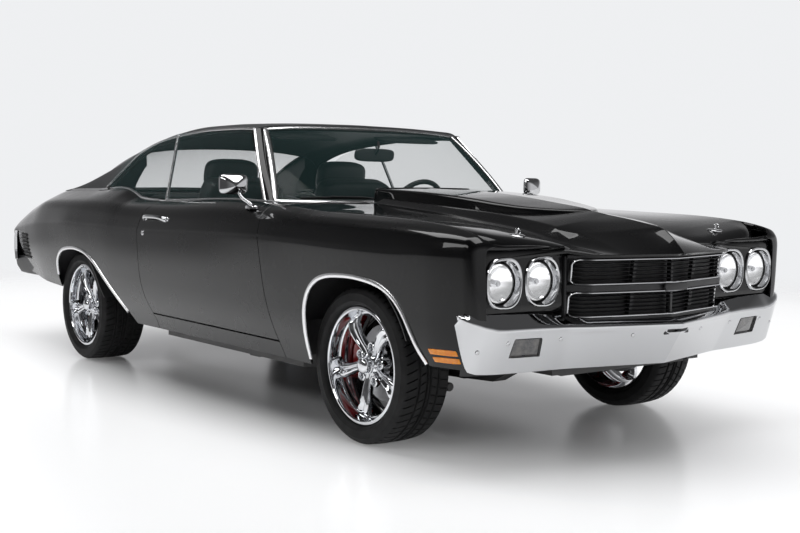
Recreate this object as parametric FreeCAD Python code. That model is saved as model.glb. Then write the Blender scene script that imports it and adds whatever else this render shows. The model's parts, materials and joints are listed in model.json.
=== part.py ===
"""Two-door hardtop muscle car on a perimeter frame, built panel by panel.

Millimetres.  +X is forward, +Y is the car's left and +Z is up.  The origin is on
the ground, midway between the bumpers.  Stations along the car are measured from
the front axle (FRONT_X) or the rear axle (REAR_X), so the wheelbase can change.
"""
import FreeCAD, Part
import math
import os
from FreeCAD import Vector

# Driving dimensions
LENGTH = 5015.0
WHEELBASE = 2845.0
FRONT_OVERHANG = 970.0
BODY_WIDTH = 1914.0
HALF = BODY_WIDTH / 2
WIDE = HALF / 957
FRONT_X = LENGTH / 2 - FRONT_OVERHANG
REAR_X = FRONT_X - WHEELBASE
TAIL_X = -LENGTH / 2

# Clearances
GAP = 8.0
FIT = 0.3
PANEL = 14.0
SKIN = 20.0
GLASS = 6.0

# Wheels: outer tyre radius, rim flange radius, rim width, section width, centre plane
TYRE_RADIUS = 326.0
RIM_RADIUS = 244.0
FLANGE = 10.0
FLANGE_HEIGHT = 12.0
BARREL_RADIUS = 208.0
BARREL_WALL = 9.0
SPOKES = 5
SPOKE_WIDTH = 62.0
HUB_RADIUS = 62.0
HUB_LENGTH = 110.0
DISC_RADIUS = 160.0
DISC_WIDTH = 26.0
CALIPER_INNER = 104.0
CALIPER_OUTER = 190.0
BORE_RADIUS = 30.0
BORE_DEPTH = 42.0
FRONT_RIM_WIDTH = 210.0
REAR_RIM_WIDTH = 240.0
FRONT_TYRE_WIDTH = 245.0
REAR_TYRE_WIDTH = 275.0
RIM_FACE_Y = HALF - 104
FRONT_WHEEL_Y = RIM_FACE_Y - FRONT_RIM_WIDTH / 2
REAR_WHEEL_Y = RIM_FACE_Y - REAR_RIM_WIDTH / 2
HUB_Z = TYRE_RADIUS
HUB_BACK = -48.0
KINGPIN_Y = HALF - 302
JOINT_RADIUS = 16.0

# Body heights
SILL_Z = 294.0
ROCKER_TOP_Z = 360.0
MID_Z = 640.0
FRAME_Z = 230.0
RAIL_WIDTH = 70.0
RAIL_HEIGHT = 60.0
FLOOR_Z = FRAME_Z + RAIL_HEIGHT + FIT
FLOOR_THICK = 12.0
BELT_INNER_Y = HALF - 202
DOOR_INNER_Y = HALF - 157
JAMB_Y = HALF - 172
CABIN_Y = HALF - 222
ROOF_WALL = 28.0
BOOT_FLOOR_Z = 440.0
REAR_PAN_Z = 522.0
FIREWALL = FRONT_X - 576
HEEL_X = REAR_X + 645
BULKHEAD = REAR_X + 105
BOOT_STEP = REAR_X - 540
ROCKER_FRONT = FRONT_X - 375
ROCKER_REAR = REAR_X + 672
TUNNEL_Y = 150.0
TUNNEL_Z = 470.0

# Steering wheel: rake of its plane, rim radius and the column's direction
WHEEL_RAKE = 25.0
STEERING_WHEEL_RADIUS = 185.0
COLUMN = Vector(-math.cos(math.radians(WHEEL_RAKE)), 0, math.sin(math.radians(WHEEL_RAKE)))

# Door outline stations
DOOR_FRONT = FRONT_X - 640
DOOR_REAR = REAR_X + 915
DOOR_BOTTOM_Z = ROCKER_TOP_Z + GAP
DOOR_INSET = 28.0

# Hood and boot lid
HOOD_WALL = 20.0
HOOD_REAR = FRONT_X - 566
HOOD_FRONT = FRONT_X + 772
FLAP_REAR = FRONT_X - 655
LID_WALL = 18.0
LID_FRONT = REAR_X - 490
LID_REAR = REAR_X - 1094
LID_LIP_Z = 752.0

# Front fascia
LAMP_Z = 713.0
LAMP_RADIUS = 76.0
BEZEL_RADIUS = 90.0
LAMP_YS = (HALF - 405, HALF - 214)
FASCIA_BACK = FRONT_X + 732
FASCIA_FACE = FRONT_X + 750
FASCIA_BOTTOM = 607.0
FASCIA_TOP = 842.0
GRILLE_TOP = 796.0
GRILLE_BOTTOM = 572.0
GRILLE_BAR = 8.0
SUPPORT_X = FRONT_X + 640

# Body side sections, outer skin.  Columns: station, then for each feature line its
# inset from the full half width and its height: sill, lower crease, middle (inset
# only, at MID_Z), side line, shoulder and top inner edge.
SIDE = [
    (FRONT_X + 772, 105, 402, 84, 482, 72, 70, 820, 78, 852, 100, 862),
    (FRONT_X + 735, 75, 401, 54, 480, 44, 36, 824, 50, 868, 100, 878),
    (FRONT_X + 520, 52, 399, 30, 474, 22, 12, 824, 32, 893, 104, 915),
    (FRONT_X + 300, 47, 396, 26, 468, 18, 7, 816, 30, 904, 110, 930),
    (FRONT_X + 0, 60, 330, 28, 464, 16, 3, 818, 30, 910, 114, 938),
    (FRONT_X - 300, 80, SILL_Z, 30, 445, 16, 2, 826, 32, 918, 118, 946),
    (FRONT_X - 640, 90, SILL_Z, 32, 440, 12, 0, 832, 36, 930, 122, 974),
    (FRONT_X - 1150, 90, SILL_Z, 32, 452, 12, 4, 826, 40, 932, 127, 984),
    (REAR_X + 930, 90, SILL_Z, 32, 462, 14, 6, 811, 42, 922, 130, 966),
    (REAR_X + 560, 88, SILL_Z, 34, 464, 14, 2, 815, 40, 930, 175, 985),
    (REAR_X + 330, 87, 330, 40, 465, 16, 1, 817, 42, 936, 205, 1006),
    (REAR_X + 0, 85, 395, 50, 466, 19, 0, 820, 46, 940, 225, 1008),
    (REAR_X - 540, 88, 430, 60, 512, 30, 18, 795, 64, 925, 232, 1004),
    (REAR_X - 760, 100, 460, 72, 545, 44, 36, 775, 82, 885, 220, 958),
    (REAR_X - 1000, 115, 490, 90, 565, 68, 62, 752, 100, 820, 202, 874),
    (REAR_X - 1115, 128, 500, 104, 575, 86, 80, 735, 112, 772, 187, 812),
]

# Hood sections.  Columns: station, centre height, dome top edge (y, z), dome foot (y, z)
HOOD = [
    (HOOD_FRONT, 870, 230, 869, 300, 866),
    (FRONT_X + 600, 898, 240, 897, 315, 889),
    (FRONT_X + 300, 952, 262, 950, 335, 934),
    (FRONT_X + 0, 990, 280, 987, 350, 952),
    (FRONT_X - 300, 1018, 295, 1014, 362, 966),
    (HOOD_REAR, 1040, 305, 1036, 366, 986),
]

# Underside of the roof's front edge
HEADER_Z = 1336.0

# Roof sections, heights above HEADER_Z.  Columns: station, drip edge (y, z), upper edge
# (y, z), crown (y, z), centre height
ROOF = [
    (FRONT_X - 1180, 655, -2, 590, 16, 320, 30, 34),
    (FRONT_X - 1480, 652, 10, 585, 30, 320, 46, 50),
    (REAR_X + 1055, 650, 4, 580, 28, 320, 47, 52),
    (REAR_X + 680, 648, -34, 575, -2, 320, 24, 30),
    (REAR_X + 345, 640, -94, 560, -56, 320, -28, -20),
]

# Roof's rear edge, and the windshield head line.  Columns: station, |y|
ROOF_TAIL_X = REAR_X + 240
HEADER_PLAN = [(FRONT_X - 1172, 598 * WIDE), (FRONT_X - 1158, 330 * WIDE), (FRONT_X - 1150, 0)]

# Cowl and rear deck levels
COWL_Z = 956.0
COWL_WALL = 14.0
DECK_Z = 985.0
DECK_WALL = 16.0

# Side-glass outline from its front foot, going up and back
GLASS_FOOT = FRONT_X - 905
GLASS_HEAD = FRONT_X - 1205
GLASS_SPLIT_LOW = REAR_X + 965
GLASS_SPLIT_TOP = REAR_X + 870
GLASS_TOP_Z = HEADER_Z - 8
GLASS_FOOT_Z = 940.0
GLASS_FOOT_Y = HALF - 165
GLASS_HEAD_Y = HALF - 289


def point(x, y, z):
    """Return one vector."""
    return Vector(x, y, z)


def outline(points):
    """Return a closed wire through the points."""
    return Part.makePolygon(list(points) + [points[0]])


def loft(wires):
    """Return the ruled solid through closed wires."""
    return Part.makeLoft(wires, True, True)


def prism_x(profile, x0, x1):
    """Extrude a (y, z) profile from x0 to x1."""
    face = Part.Face(outline([point(x0, y, z) for y, z in profile]))
    return face.extrude(point(x1 - x0, 0, 0))


def prism_y(profile, y0, y1):
    """Extrude an (x, z) profile from y0 to y1."""
    face = Part.Face(outline([point(x, y0, z) for x, z in profile]))
    return face.extrude(point(0, y1 - y0, 0))


def prism_z(profile, z0, z1):
    """Extrude an (x, y) profile from z0 to z1."""
    face = Part.Face(outline([point(x, y, z0) for x, y in profile]))
    return face.extrude(point(0, 0, z1 - z0))


def block(x0, x1, y0, y1, z0, z1):
    """Return a box between two corners."""
    return Part.makeBox(x1 - x0, y1 - y0, z1 - z0, point(x0, y0, z0))


def rod(start, end, radius):
    """Return a round bar between two points."""
    return Part.makeCylinder(radius, (end - start).Length, start, end - start)


def fuse(shapes):
    """Join overlapping shapes into one."""
    joined = shapes[0].multiFuse(shapes[1:]) if len(shapes) > 1 else shapes[0]
    return joined.removeSplitter()


def flip(shape):
    """Mirror a shape to the other side of the car."""
    return shape.mirror(point(0, 0, 0), point(0, 1, 0))


def pair(shape):
    """Return a shape and its mirror image as one compound."""
    return Part.makeCompound([shape, flip(shape)])


def side_at(x):
    """Return the side section's columns at a station, by linear interpolation."""
    rows = SIDE
    for ahead, behind in zip(rows, rows[1:]):
        if ahead[0] >= x >= behind[0]:
            share = (ahead[0] - x) / (ahead[0] - behind[0])
            return [a + (b - a) * share for a, b in zip(ahead, behind)]
    return list(rows[0] if x > rows[0][0] else rows[-1])


def outer_line(row):
    """Return the skin's (y, z) points of one row, from the sill to the top edge."""
    _, sill, sill_z, low, low_z, mid, line, line_z, shoulder, shoulder_z, top, top_z = row
    insets = [sill, low, mid, line, shoulder, top]
    heights = [sill_z, low_z, MID_Z, line_z, shoulder_z, top_z]
    return [(HALF - inset, z) for inset, z in zip(insets, heights)]


def side_wall(stations, wall):
    """Return the left body side as a wall of one thickness through the stations."""
    wires = []
    for x in stations:
        skin = outer_line(side_at(x))
        inner = [(y - wall, z) for y, z in skin[:4]]
        inner += [(skin[4][0] - wall, skin[4][1] - wall), (skin[5][0], skin[5][1] - wall)]
        ring = skin + inner[::-1]
        wires.append(outline([point(x, y, z) for y, z in ring]))
    return loft(wires)


def stations_between(front, rear):
    """Return the table's stations strictly between two ends, with the ends."""
    inside = [row[0] for row in SIDE if rear < row[0] < front]
    return [front] + inside + [rear]


def door_outline(grow):
    """Return the door's (x, z) outline, grown outward by a clearance."""
    front = DOOR_FRONT + grow
    rear = DOOR_REAR - grow
    top = 1100.0
    low = DOOR_BOTTOM_Z - grow
    return [
        (front, top), (front, 850), (front + 8, 740), (front + 28, 592),
        (front + 82, 449), (front + 95, low), (rear + 125, low), (rear + 62, 476),
        (rear + 4, 596), (rear, 738), (rear + 50, 864), (rear + 98, 960), (rear + 98, top),
    ]


def arch(centre_x, profile):
    """Return the wheel-arch opening as a prism through the body side."""
    points = [(centre_x + dx, z) for dx, z in profile]
    return prism_y(points, 500, HALF + 50)


# Wheel openings: (station from the axle, height) from the rear foot round to the front foot
FRONT_ARCH = [
    (-318, 200), (-316, 330), (-300, 450), (-300, 530), (-276, 603), (-226, 656), (-163, 689),
    (-65, 707), (54, 711), (167, 702), (255, 685), (331, 652), (394, 594), (438, 523), (480, 454),
    (512, 398), (530, 200),
]
REAR_ARCH = [
    (-330, 200), (-328, 406), (-306, 489), (-245, 582), (-150, 645), (-25, 674), (130, 680),
    (262, 667), (371, 625), (471, 547), (575, 454), (633, 380), (656, 338), (660, 200),
]


def fender():
    """Front fender: outer skin from the leading edge to the door gap, arch cut."""
    wall = side_wall(stations_between(FRONT_X + 772, DOOR_FRONT), PANEL)
    nose = prism_y([(FRONT_X + 692, 300), (FRONT_X + 692, 612), (FRONT_X + 900, 640), (FRONT_X + 900, 300)],
                   500, HALF + 50)
    rocker_room = block(DOOR_FRONT - 50, ROCKER_FRONT + FIT, 500, HALF + 50, 200, ROCKER_TOP_Z + FIT)
    shell = wall.cut([arch(FRONT_X, FRONT_ARCH), prism_y(door_outline(GAP), 500, HALF + 50), nose,
                      rocker_room])
    return largest(shell)


def largest(shape):
    """Return the biggest solid of a cut shape."""
    return max(shape.Solids, key=lambda solid: solid.Volume)


def lock_pillar():
    """Jamb behind the door gap, with the face that the closed door meets."""
    rear = DOOR_REAR - GAP - PANEL
    jamb = block(rear, DOOR_REAR - GAP, JAMB_Y, HALF, 480, 900)
    core = side_core(stations_between(rear + 60, rear - 40), PANEL / 2)
    face = block(rear, DOOR_REAR + 110, JAMB_Y, DOOR_INNER_Y - FIT, 560, MID_Z)
    return fuse([jamb.common(core), face])


def window_channel():
    """Sill channel under the quarter window."""
    wires = []
    for x, z in QUARTER_SILL:
        inner_y = glass_plane_y(z) - GLASS - 6
        outer_y = outer_line(side_at(x))[5][0] + 3
        top = z - GLASS / 3 - FIT
        ring = [(inner_y, top - PANEL), (inner_y, top), (outer_y, top), (outer_y, top - PANEL)]
        wires.append(outline([point(x, y, pz) for y, pz in ring]))
    return loft(wires)


def quarter():
    """Rear quarter: skin from the door gap to the tail, arch cut."""
    wall = side_wall(stations_between(DOOR_REAR + 110, REAR_X - 1115), PANEL)
    rocker_room = block(ROCKER_REAR - FIT, DOOR_REAR + 200, 500, HALF + 50, 200, ROCKER_TOP_Z + FIT)
    bumper_room = block(REAR_X - 1300, REAR_X - 948, 500, HALF + 50, 400, 744)
    shell = wall.cut([arch(REAR_X, REAR_ARCH), prism_y(door_outline(GAP), 500, HALF + 50), rocker_room,
                      bumper_room])
    return largest(fuse([largest(shell), lock_pillar(), window_channel()]))


def rocker():
    """Sill beam under the door, between the two arches."""
    wires = []
    for x in (ROCKER_FRONT, FRONT_X - 640, FRONT_X - 1150, REAR_X + 930, ROCKER_REAR):
        skin = outer_line(side_at(x))
        share = (ROCKER_TOP_Z - skin[0][1]) / (skin[1][1] - skin[0][1])
        top_y = skin[0][0] + (skin[1][0] - skin[0][0]) * share
        inner_y = CABIN_Y + 40 + FIT
        ring = [skin[0], (top_y, ROCKER_TOP_Z), (inner_y, ROCKER_TOP_Z), (inner_y, SILL_Z)]
        wires.append(outline([point(x, y, z) for y, z in ring]))
    return loft(wires)


def door():
    """Door: outer skin to the gap line and a thick inner shell set in from it."""
    stations = stations_between(DOOR_FRONT + 110, DOOR_REAR)
    skin = side_wall(stations, SKIN).common(prism_y(door_outline(0), 500, HALF + 50))
    wires = []
    for x in stations:
        row = outer_line(side_at(x))
        inner = [(BELT_INNER_Y, row[5][1] - 6), (DOOR_INNER_Y, MID_Z), (DOOR_INNER_Y, row[0][1])]
        ring = [(y - SKIN / 2, z) for y, z in row[:5]] + [(row[5][0], row[5][1] - 6)] + inner
        wires.append(outline([point(x, y, z) for y, z in ring]))
    inset = [
        (DOOR_FRONT - DOOR_INSET, 1100), (DOOR_FRONT - DOOR_INSET, 740), (DOOR_FRONT, 592),
        (DOOR_FRONT + 50, DOOR_BOTTOM_Z + DOOR_INSET), (DOOR_REAR + 160, DOOR_BOTTOM_Z + DOOR_INSET),
        (DOOR_REAR + DOOR_INSET, 640), (DOOR_REAR + DOOR_INSET, 738), (DOOR_REAR + 128, 960),
        (DOOR_REAR + 128, 1100),
    ]
    slab = loft(wires).common(prism_y(inset, 500, HALF + 50))
    corner = prism_z([(DOOR_FRONT + 120, 700), (DOOR_FRONT + 120, 870), (DOOR_FRONT - 28, 870),
                      (DOOR_FRONT - 190, 700)], 300, 1100)
    slot = glass_slab(GLASS_FOOT + 60, GLASS_SPLIT_LOW - 70, GLASS + 2 * FIT)
    return largest(fuse([skin, slab.cut(corner)]).cut(slot))


def glass_plane_y(z):
    """Return the side glass's outer |y| at a height."""
    share = (z - GLASS_FOOT_Z) / (GLASS_TOP_Z - GLASS_FOOT_Z)
    return GLASS_FOOT_Y + (GLASS_HEAD_Y - GLASS_FOOT_Y) * share


def split_x(z):
    """Return the station where the door glass ends at a height."""
    foot_z = GLASS_FOOT_Z - 5.7
    return GLASS_SPLIT_LOW + (GLASS_SPLIT_TOP - GLASS_SPLIT_LOW) * (z - foot_z) / (GLASS_TOP_Z - foot_z)


QUARTER_SILL = [(split_x(975) - GAP, 975), (REAR_X + 560, 990), (REAR_X + 330, 1012)]


def glass_sheet(profile, thick, outward):
    """Return a leaning sheet of glass with an (x, z) outline."""
    lean = (GLASS_HEAD_Y - GLASS_FOOT_Y) / (GLASS_TOP_Z - GLASS_FOOT_Z)
    face = Part.Face(outline([point(x, glass_plane_y(z) + outward, z) for x, z in profile]))
    normal = Vector(0, -1, lean)
    normal.normalize()
    return face.extrude(normal * thick)


def glass_slab(front, rear, thick):
    """Return the slot for the glass in the door's top."""
    profile = [(front, GLASS_FOOT_Z - 6), (front, 1100), (rear, 1100), (rear, GLASS_FOOT_Z - 6)]
    return glass_sheet(profile, thick, (thick - GLASS) / 2)


def door_glass():
    """Side window that rides with the door, standing in its slot."""
    foot_z = GLASS_FOOT_Z - 5.7
    profile = [(GLASS_FOOT + 30, foot_z), (GLASS_FOOT, 985), (GLASS_HEAD, GLASS_TOP_Z),
               (GLASS_SPLIT_TOP, GLASS_TOP_Z), (split_x(976), 976), (DOOR_REAR + 104, 976),
               (DOOR_REAR + 104, foot_z)]
    return glass_sheet(profile, GLASS, 0)


def quarter_pane():
    """Fixed quarter window behind the split."""
    low = QUARTER_SILL[0][1]
    profile = [QUARTER_SILL[0], (GLASS_SPLIT_TOP - GAP, GLASS_TOP_Z)]
    for x, share in ((700, 0.909), (460, 0.751), (300, 0.581), (180, 0.312), (150, 0.184)):
        profile.append((REAR_X + x, low + share * (GLASS_TOP_Z - low)))
    profile += QUARTER_SILL[:0:-1]
    return glass_sheet(profile, GLASS, 0)


def roof_ring(row, wall):
    """Return one roof section as a closed wire of a given wall."""
    x, drip_y, drip_z, edge_y, edge_z, crown_y, crown_z, centre_z = row
    drip_y *= WIDE
    left = [(drip_y, drip_z), (edge_y * WIDE, edge_z), (crown_y * WIDE, crown_z)]
    skin = left + [(0, centre_z)] + [(-y, z) for y, z in left[::-1]]
    skin = [(y, z + HEADER_Z) for y, z in skin]
    under = [(y * 0.97, z - wall) for y, z in skin]
    under[0] = (drip_y - wall, skin[0][1])
    under[-1] = (wall - drip_y, skin[-1][1])
    return outline([point(x, y, z) for y, z in skin + under[::-1]])


def bar(foot, head, width, depth):
    """Return a leaning pillar: a block lofted between two level ends."""
    wires = []
    for x, y, z in (foot, head):
        ring = [(x - depth, y - width), (x, y - width), (x, y), (x - depth, y)]
        wires.append(outline([point(px, py, z) for px, py in ring]))
    return loft(wires)


# Rear pillar.  Columns: share of its height, front edge and rear edge from the rear axle, outer |y|
SAIL_FOOT_Z = 1008 + FIT
SAIL = [
    (0, 95, -482, 720),
    (0.302, 145, -330, 698),
    (0.637, 225, -60, 668),
    (0.913, 400, 300, 644),
    (1, 480, 345, 636),
]


def sail():
    """Wide rear pillar, from the quarter's top to the roof's edge."""
    wires = []
    rise = HEADER_Z - 74 - SAIL_FOOT_Z
    for share, front, rear, edge_y in SAIL:
        z = SAIL_FOOT_Z + share * rise
        outer = edge_y * WIDE
        ring = [(REAR_X + front, outer), (REAR_X + rear, outer - 6),
                (REAR_X + rear, outer - 6 - ROOF_WALL), (REAR_X + front, outer - ROOF_WALL)]
        wires.append(outline([point(x, y, z) for x, y in ring]))
    return loft(wires)


def roof():
    """Roof shell with its windshield pillars and rear pillars."""
    cap = loft([roof_ring(row, ROOF_WALL) for row in ROOF])
    foot = (FRONT_X - 862, 742 * WIDE, COWL_Z + COWL_WALL + FIT)
    front = bar(foot, (FRONT_X - 1186, 640 * WIDE, HEADER_Z + 9), 34, 46)
    low_row = list(ROOF[-1])
    low_row[0] = ROOF_TAIL_X
    low_row[2:] = [-124, 540, -80, 320, -52, -44]
    low_row[1] = 628
    tail = loft([roof_ring(ROOF[-1], ROOF_WALL), roof_ring(low_row, ROOF_WALL)])
    front_edge = HEADER_PLAN + [(x, -y) for x, y in HEADER_PLAN[::-1][1:]]
    back_edge = [(FRONT_X - 1200, sign * HEADER_PLAN[0][1]) for sign in (-1, 1)]
    header = prism_z(front_edge + back_edge, HEADER_Z, HEADER_Z + 26)
    return fuse([cap, tail, header, front, flip(front), sail(), flip(sail())])


def screen(rows):
    """Return a bowed glass.  Each row: a half line of (x, y, z) points and the (x, z) offset to its back."""
    rings = []
    for line, (dx, dz) in rows:
        line = [(x, y * WIDE, z) for x, y, z in line]
        left = line + [(x, -y, z) for x, y, z in line[::-1][1:]]
        back = [(x - dx, y, z - dz) for x, y, z in left]
        rings.append([point(*p) for p in left + back[::-1]])
    sides = []
    for foot_edge, head_edge in zip(outline(rings[0]).Edges, outline(rings[1]).Edges):
        sides.append(Part.makeRuledSurface(foot_edge, head_edge))
    ends = [Part.Face(outline(ring)) for ring in rings]
    solid = Part.Solid(Part.Shell(sides + ends))
    solid.fixTolerance(1e-4)
    if solid.Volume < 0:
        solid.reverse()
    return solid


def windshield():
    """Bowed front glass between the pillars."""
    foot_z = COWL_Z + COWL_WALL + FIT
    foot = [(FRONT_X - 850, 698, foot_z), (FRONT_X - 730, 420, foot_z), (FRONT_X - 690, 0, foot_z)]
    head = [(x, y / WIDE, HEADER_Z - FIT) for x, y in HEADER_PLAN]
    return screen([(foot, (5, 0)), (head, (5, 0))])


def rear_window():
    """Rear glass between the two rear pillars."""
    foot_z = DECK_Z + DECK_WALL + FIT
    foot = [(REAR_X - 395, 640, foot_z), (REAR_X - 425, 330, foot_z), (REAR_X - 432, 0, foot_z)]
    head_x = ROOF_TAIL_X - FIT
    head = [(head_x, 560, HEADER_Z - 96), (head_x, 320, HEADER_Z - 64), (head_x, 0, HEADER_Z - 54)]
    return screen([(foot, (-12, 0)), (head, (0, 8))])


def cowl_panel():
    """Panel between the hood and the windshield."""
    half = [(HOOD_REAR - GAP, CABIN_Y), (FRONT_X - 915, CABIN_Y), (FRONT_X - 915, 690 * WIDE),
            (FRONT_X - 760, 420 * WIDE)]
    plan = half + [(FRONT_X - 724, 0)] + [(x, -y) for x, y in half[::-1]]
    ears = block(HOOD_REAR - 46, HOOD_REAR - GAP, CABIN_Y - 5, HALF - 142, COWL_Z, COWL_Z + COWL_WALL)
    return fuse([prism_z(plan, COWL_Z, COWL_Z + COWL_WALL), ears, flip(ears)])


def hood():
    """Hood with its raised centre, open flap at the rear and drop-front nose."""
    wires = []
    for x, centre, dome_y, dome_z, foot_y, foot_z in HOOD:
        edge_y, edge_z = outer_line(side_at(x))[5]
        left = [(edge_y - GAP, edge_z), (foot_y * WIDE, foot_z), (dome_y * WIDE, dome_z)]
        skin = left + [(0, centre)] + [(-y, z) for y, z in left[::-1]]
        under = [(y, z - HOOD_WALL) for y, z in skin]
        wires.append(outline([point(x, y, z) for y, z in skin + under[::-1]]))
    plate = loft(wires)
    rear = HOOD[-1]
    dome_y = rear[2] * WIDE
    flap_skin = [(dome_y + 10, rear[5] + 12), (dome_y, rear[3]), (0, rear[1]), (-dome_y, rear[3]),
                 (-dome_y - 10, rear[5] + 12)]
    flap_ring = flap_skin + [(y * 0.96, z - HOOD_WALL) for y, z in flap_skin[::-1]]
    flap_ring[5] = (flap_ring[4][0] + 14, flap_ring[4][1])
    flap_ring[-1] = (flap_ring[0][0] - 14, flap_ring[0][1])
    flap = prism_x(flap_ring, FLAP_REAR, HOOD_REAR + 2)
    nose_plan = [(HOOD_FRONT - 2, 436 * WIDE), (FRONT_X + 852, 384 * WIDE), (FRONT_X + 930, 0),
                 (FRONT_X + 852, -384 * WIDE), (HOOD_FRONT - 2, -436 * WIDE)]
    nose = prism_z(nose_plan, GRILLE_TOP + GAP, 866)
    slope = prism_y([(FRONT_X + 770, 869), (FRONT_X + 800, 868), (FRONT_X + 950, 858), (FRONT_X + 950, 900),
                     (FRONT_X + 770, 900)], -HALF, HALF)
    return fuse([plate, flap, nose.cut(slope)])


def lid_row(x):
    """Return the boot lid's edge and centre (y, z) at a station."""
    edge_y, edge_z = outer_line(side_at(x))[5]
    return edge_y - GAP, edge_z, edge_z + 22


def trunk_lid():
    """Boot lid with its turned-down rear face."""
    wires = []
    for x in (LID_FRONT, REAR_X - 760, REAR_X - 1000, LID_REAR):
        edge_y, edge_z, centre_z = lid_row(x)
        skin = [(edge_y, edge_z), (edge_y * 0.6, centre_z - 4), (0, centre_z), (-edge_y * 0.6, centre_z - 4),
                (-edge_y, edge_z)]
        under = [(y, z - LID_WALL) for y, z in skin]
        wires.append(outline([point(x, y, z) for y, z in skin + under[::-1]]))
    edge_y, edge_z, _ = lid_row(LID_REAR)
    face = block(LID_REAR - LID_WALL, LID_REAR, -edge_y, edge_y, LID_LIP_Z, edge_z - 1)
    crown = prism_x([(edge_y, edge_z - 30), (edge_y, edge_z), (0, edge_z + 20), (-edge_y, edge_z),
                     (-edge_y, edge_z - 30)], LID_REAR - LID_WALL, LID_REAR)
    return fuse([loft(wires), face, crown])


def tail_panel(lid_shape):
    """Panel across the tail under the lid, with the deck strip ahead of the lid."""
    edge_y = outer_line(side_at(REAR_X - 1115))[5][0]
    face = block(REAR_X - 1112, REAR_X - 1094 - FIT, -edge_y, edge_y, BOOT_FLOOR_Z, LID_LIP_Z - GAP)
    front = LID_FRONT + GAP
    deck_y = 690 * WIDE
    plan = [(front, deck_y), (REAR_X - 380, deck_y - 6), (REAR_X - 380, 6 - deck_y), (front, -deck_y)]
    deck = prism_z(plan, DECK_Z, DECK_Z + DECK_WALL)
    strap = block(LID_FRONT - 50, front + 30, 560, 620, DECK_Z - 40, DECK_Z + 1)
    room = lid_shape.translated(point(0, 0, -FIT))
    hinges = min(strap.cut(room).Solids, key=lambda solid: solid.CenterOfMass.z)
    return face, fuse([deck, hinges, flip(hinges)])


def floor_pan():
    """Front floor with its tunnel and sills, and the firewall."""
    wall = FLOOR_THICK
    sill_y = CABIN_Y + 40
    tunnel_rear = HEEL_X + wall + FIT
    pieces = [
        block(HEEL_X, FIREWALL, -sill_y, sill_y, FLOOR_Z, FLOOR_Z + wall),
        block(FIREWALL - wall, FIREWALL, -CABIN_Y, CABIN_Y, FLOOR_Z, COWL_Z - FIT),
    ]
    tunnel_cut = block(HEEL_X - 50, FIREWALL + 50, -TUNNEL_Y + wall, TUNNEL_Y - wall, FLOOR_Z - 20,
                       TUNNEL_Z - wall)
    tunnel = block(tunnel_rear, FIREWALL, -TUNNEL_Y, TUNNEL_Y, FLOOR_Z, TUNNEL_Z)
    sill = block(HEEL_X, FIREWALL, sill_y - wall, sill_y, FLOOR_Z, ROCKER_TOP_Z)
    return fuse(pieces + [tunnel, sill, flip(sill)]).cut(tunnel_cut)


def rear_pan():
    """Heel board, seat pan, bulkhead, parcel shelf and boot step as one shell."""
    wall = FLOOR_THICK
    top = REAR_PAN_Z + wall
    inner_y = HALF - 397
    shelf_y = 690 * WIDE
    shell = fuse([
        block(HEEL_X, HEEL_X + wall, -inner_y, inner_y, FLOOR_Z + wall + FIT, top),
        block(BOOT_STEP, HEEL_X + wall, -inner_y, inner_y, REAR_PAN_Z, top),
        block(BULKHEAD - wall, BULKHEAD, -inner_y, inner_y, REAR_PAN_Z, DECK_Z - FIT),
        block(BOOT_STEP, BOOT_STEP + wall, -inner_y, inner_y, BOOT_FLOOR_Z, top),
        block(REAR_X - 446, BULKHEAD, -shelf_y, shelf_y, DECK_Z - FIT - wall, DECK_Z - FIT),
    ])
    shaft_room = block(HEEL_X - 50, HEEL_X + 50, wall - TUNNEL_Y, TUNNEL_Y - wall, FLOOR_Z,
                       TUNNEL_Z - wall)
    return shell.cut(shaft_room)


def boot_floor():
    """Flat floor of the boot, from the step to the tail."""
    wide = HALF - 187
    return block(REAR_X - 1094, BOOT_STEP - FIT, -wide, wide, BOOT_FLOOR_Z, BOOT_FLOOR_Z + FLOOR_THICK)


# Exhaust pipes and engine
PIPE_Y = 250.0
PIPE_Z = 258.0
PIPE_RADIUS = 22.0
ENGINE_REAR = FRONT_X - 420

# Underbody.  Columns of FRAME_RAIL: station, |y| of the rail's centre, height of its underside
FRAME_RAIL = [
    (FRONT_X + 690, HALF - 557, 340),
    (FRONT_X + 480, HALF - 557, 340),
    (FRONT_X + 350, HALF - 557, 270),
    (FRONT_X - 420, HALF - 557, FRAME_Z),
    (FRONT_X - 620, HALF - 267, FRAME_Z),
    (REAR_X + 860, HALF - 267, FRAME_Z),
    (REAR_X + 640, HALF - 477, FRAME_Z),
    (REAR_X + 330, HALF - 477, 460),
    (REAR_X - 330, HALF - 477, 460),
    (REAR_X - 560, HALF - 477, 365),
    (REAR_X - 1060, HALF - 477, 365),
]
# Crossmembers.  Columns: station, rail's |y| there, underside, height, depth along the car
CROSSMEMBERS = [
    (FRONT_X + 640, HALF - 557, 330, 60, 60),
    (FRONT_X + 10, HALF - 557, 240, 45, 160),
    (FRONT_X - 1180, HALF - 267, FRAME_Z - 25, 36, 90),
    (REAR_X + 645, HALF - 477, FRAME_Z - 25, 36, 80),
    (REAR_X - 1030, HALF - 477, 345, 60, 50),
]


def pipe_room():
    """Return the clearance bores for the exhaust pipes."""
    return [rod(point(FRONT_X - 600, sign * PIPE_Y, PIPE_Z), point(TAIL_X, sign * PIPE_Y, PIPE_Z),
                PIPE_RADIUS + 6) for sign in (1, -1)]


def frame_rail():
    """Left side rail of the perimeter frame, stepped in plan and kicked up over the axle."""
    half = RAIL_WIDTH / 2
    wires = []
    for x, y, z in FRAME_RAIL:
        ring = [(y - half, z), (y + half, z), (y + half, z + RAIL_HEIGHT), (y - half, z + RAIL_HEIGHT)]
        wires.append(outline([point(x, py, pz) for py, pz in ring]))
    return loft(wires).cut(pipe_room())


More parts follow.
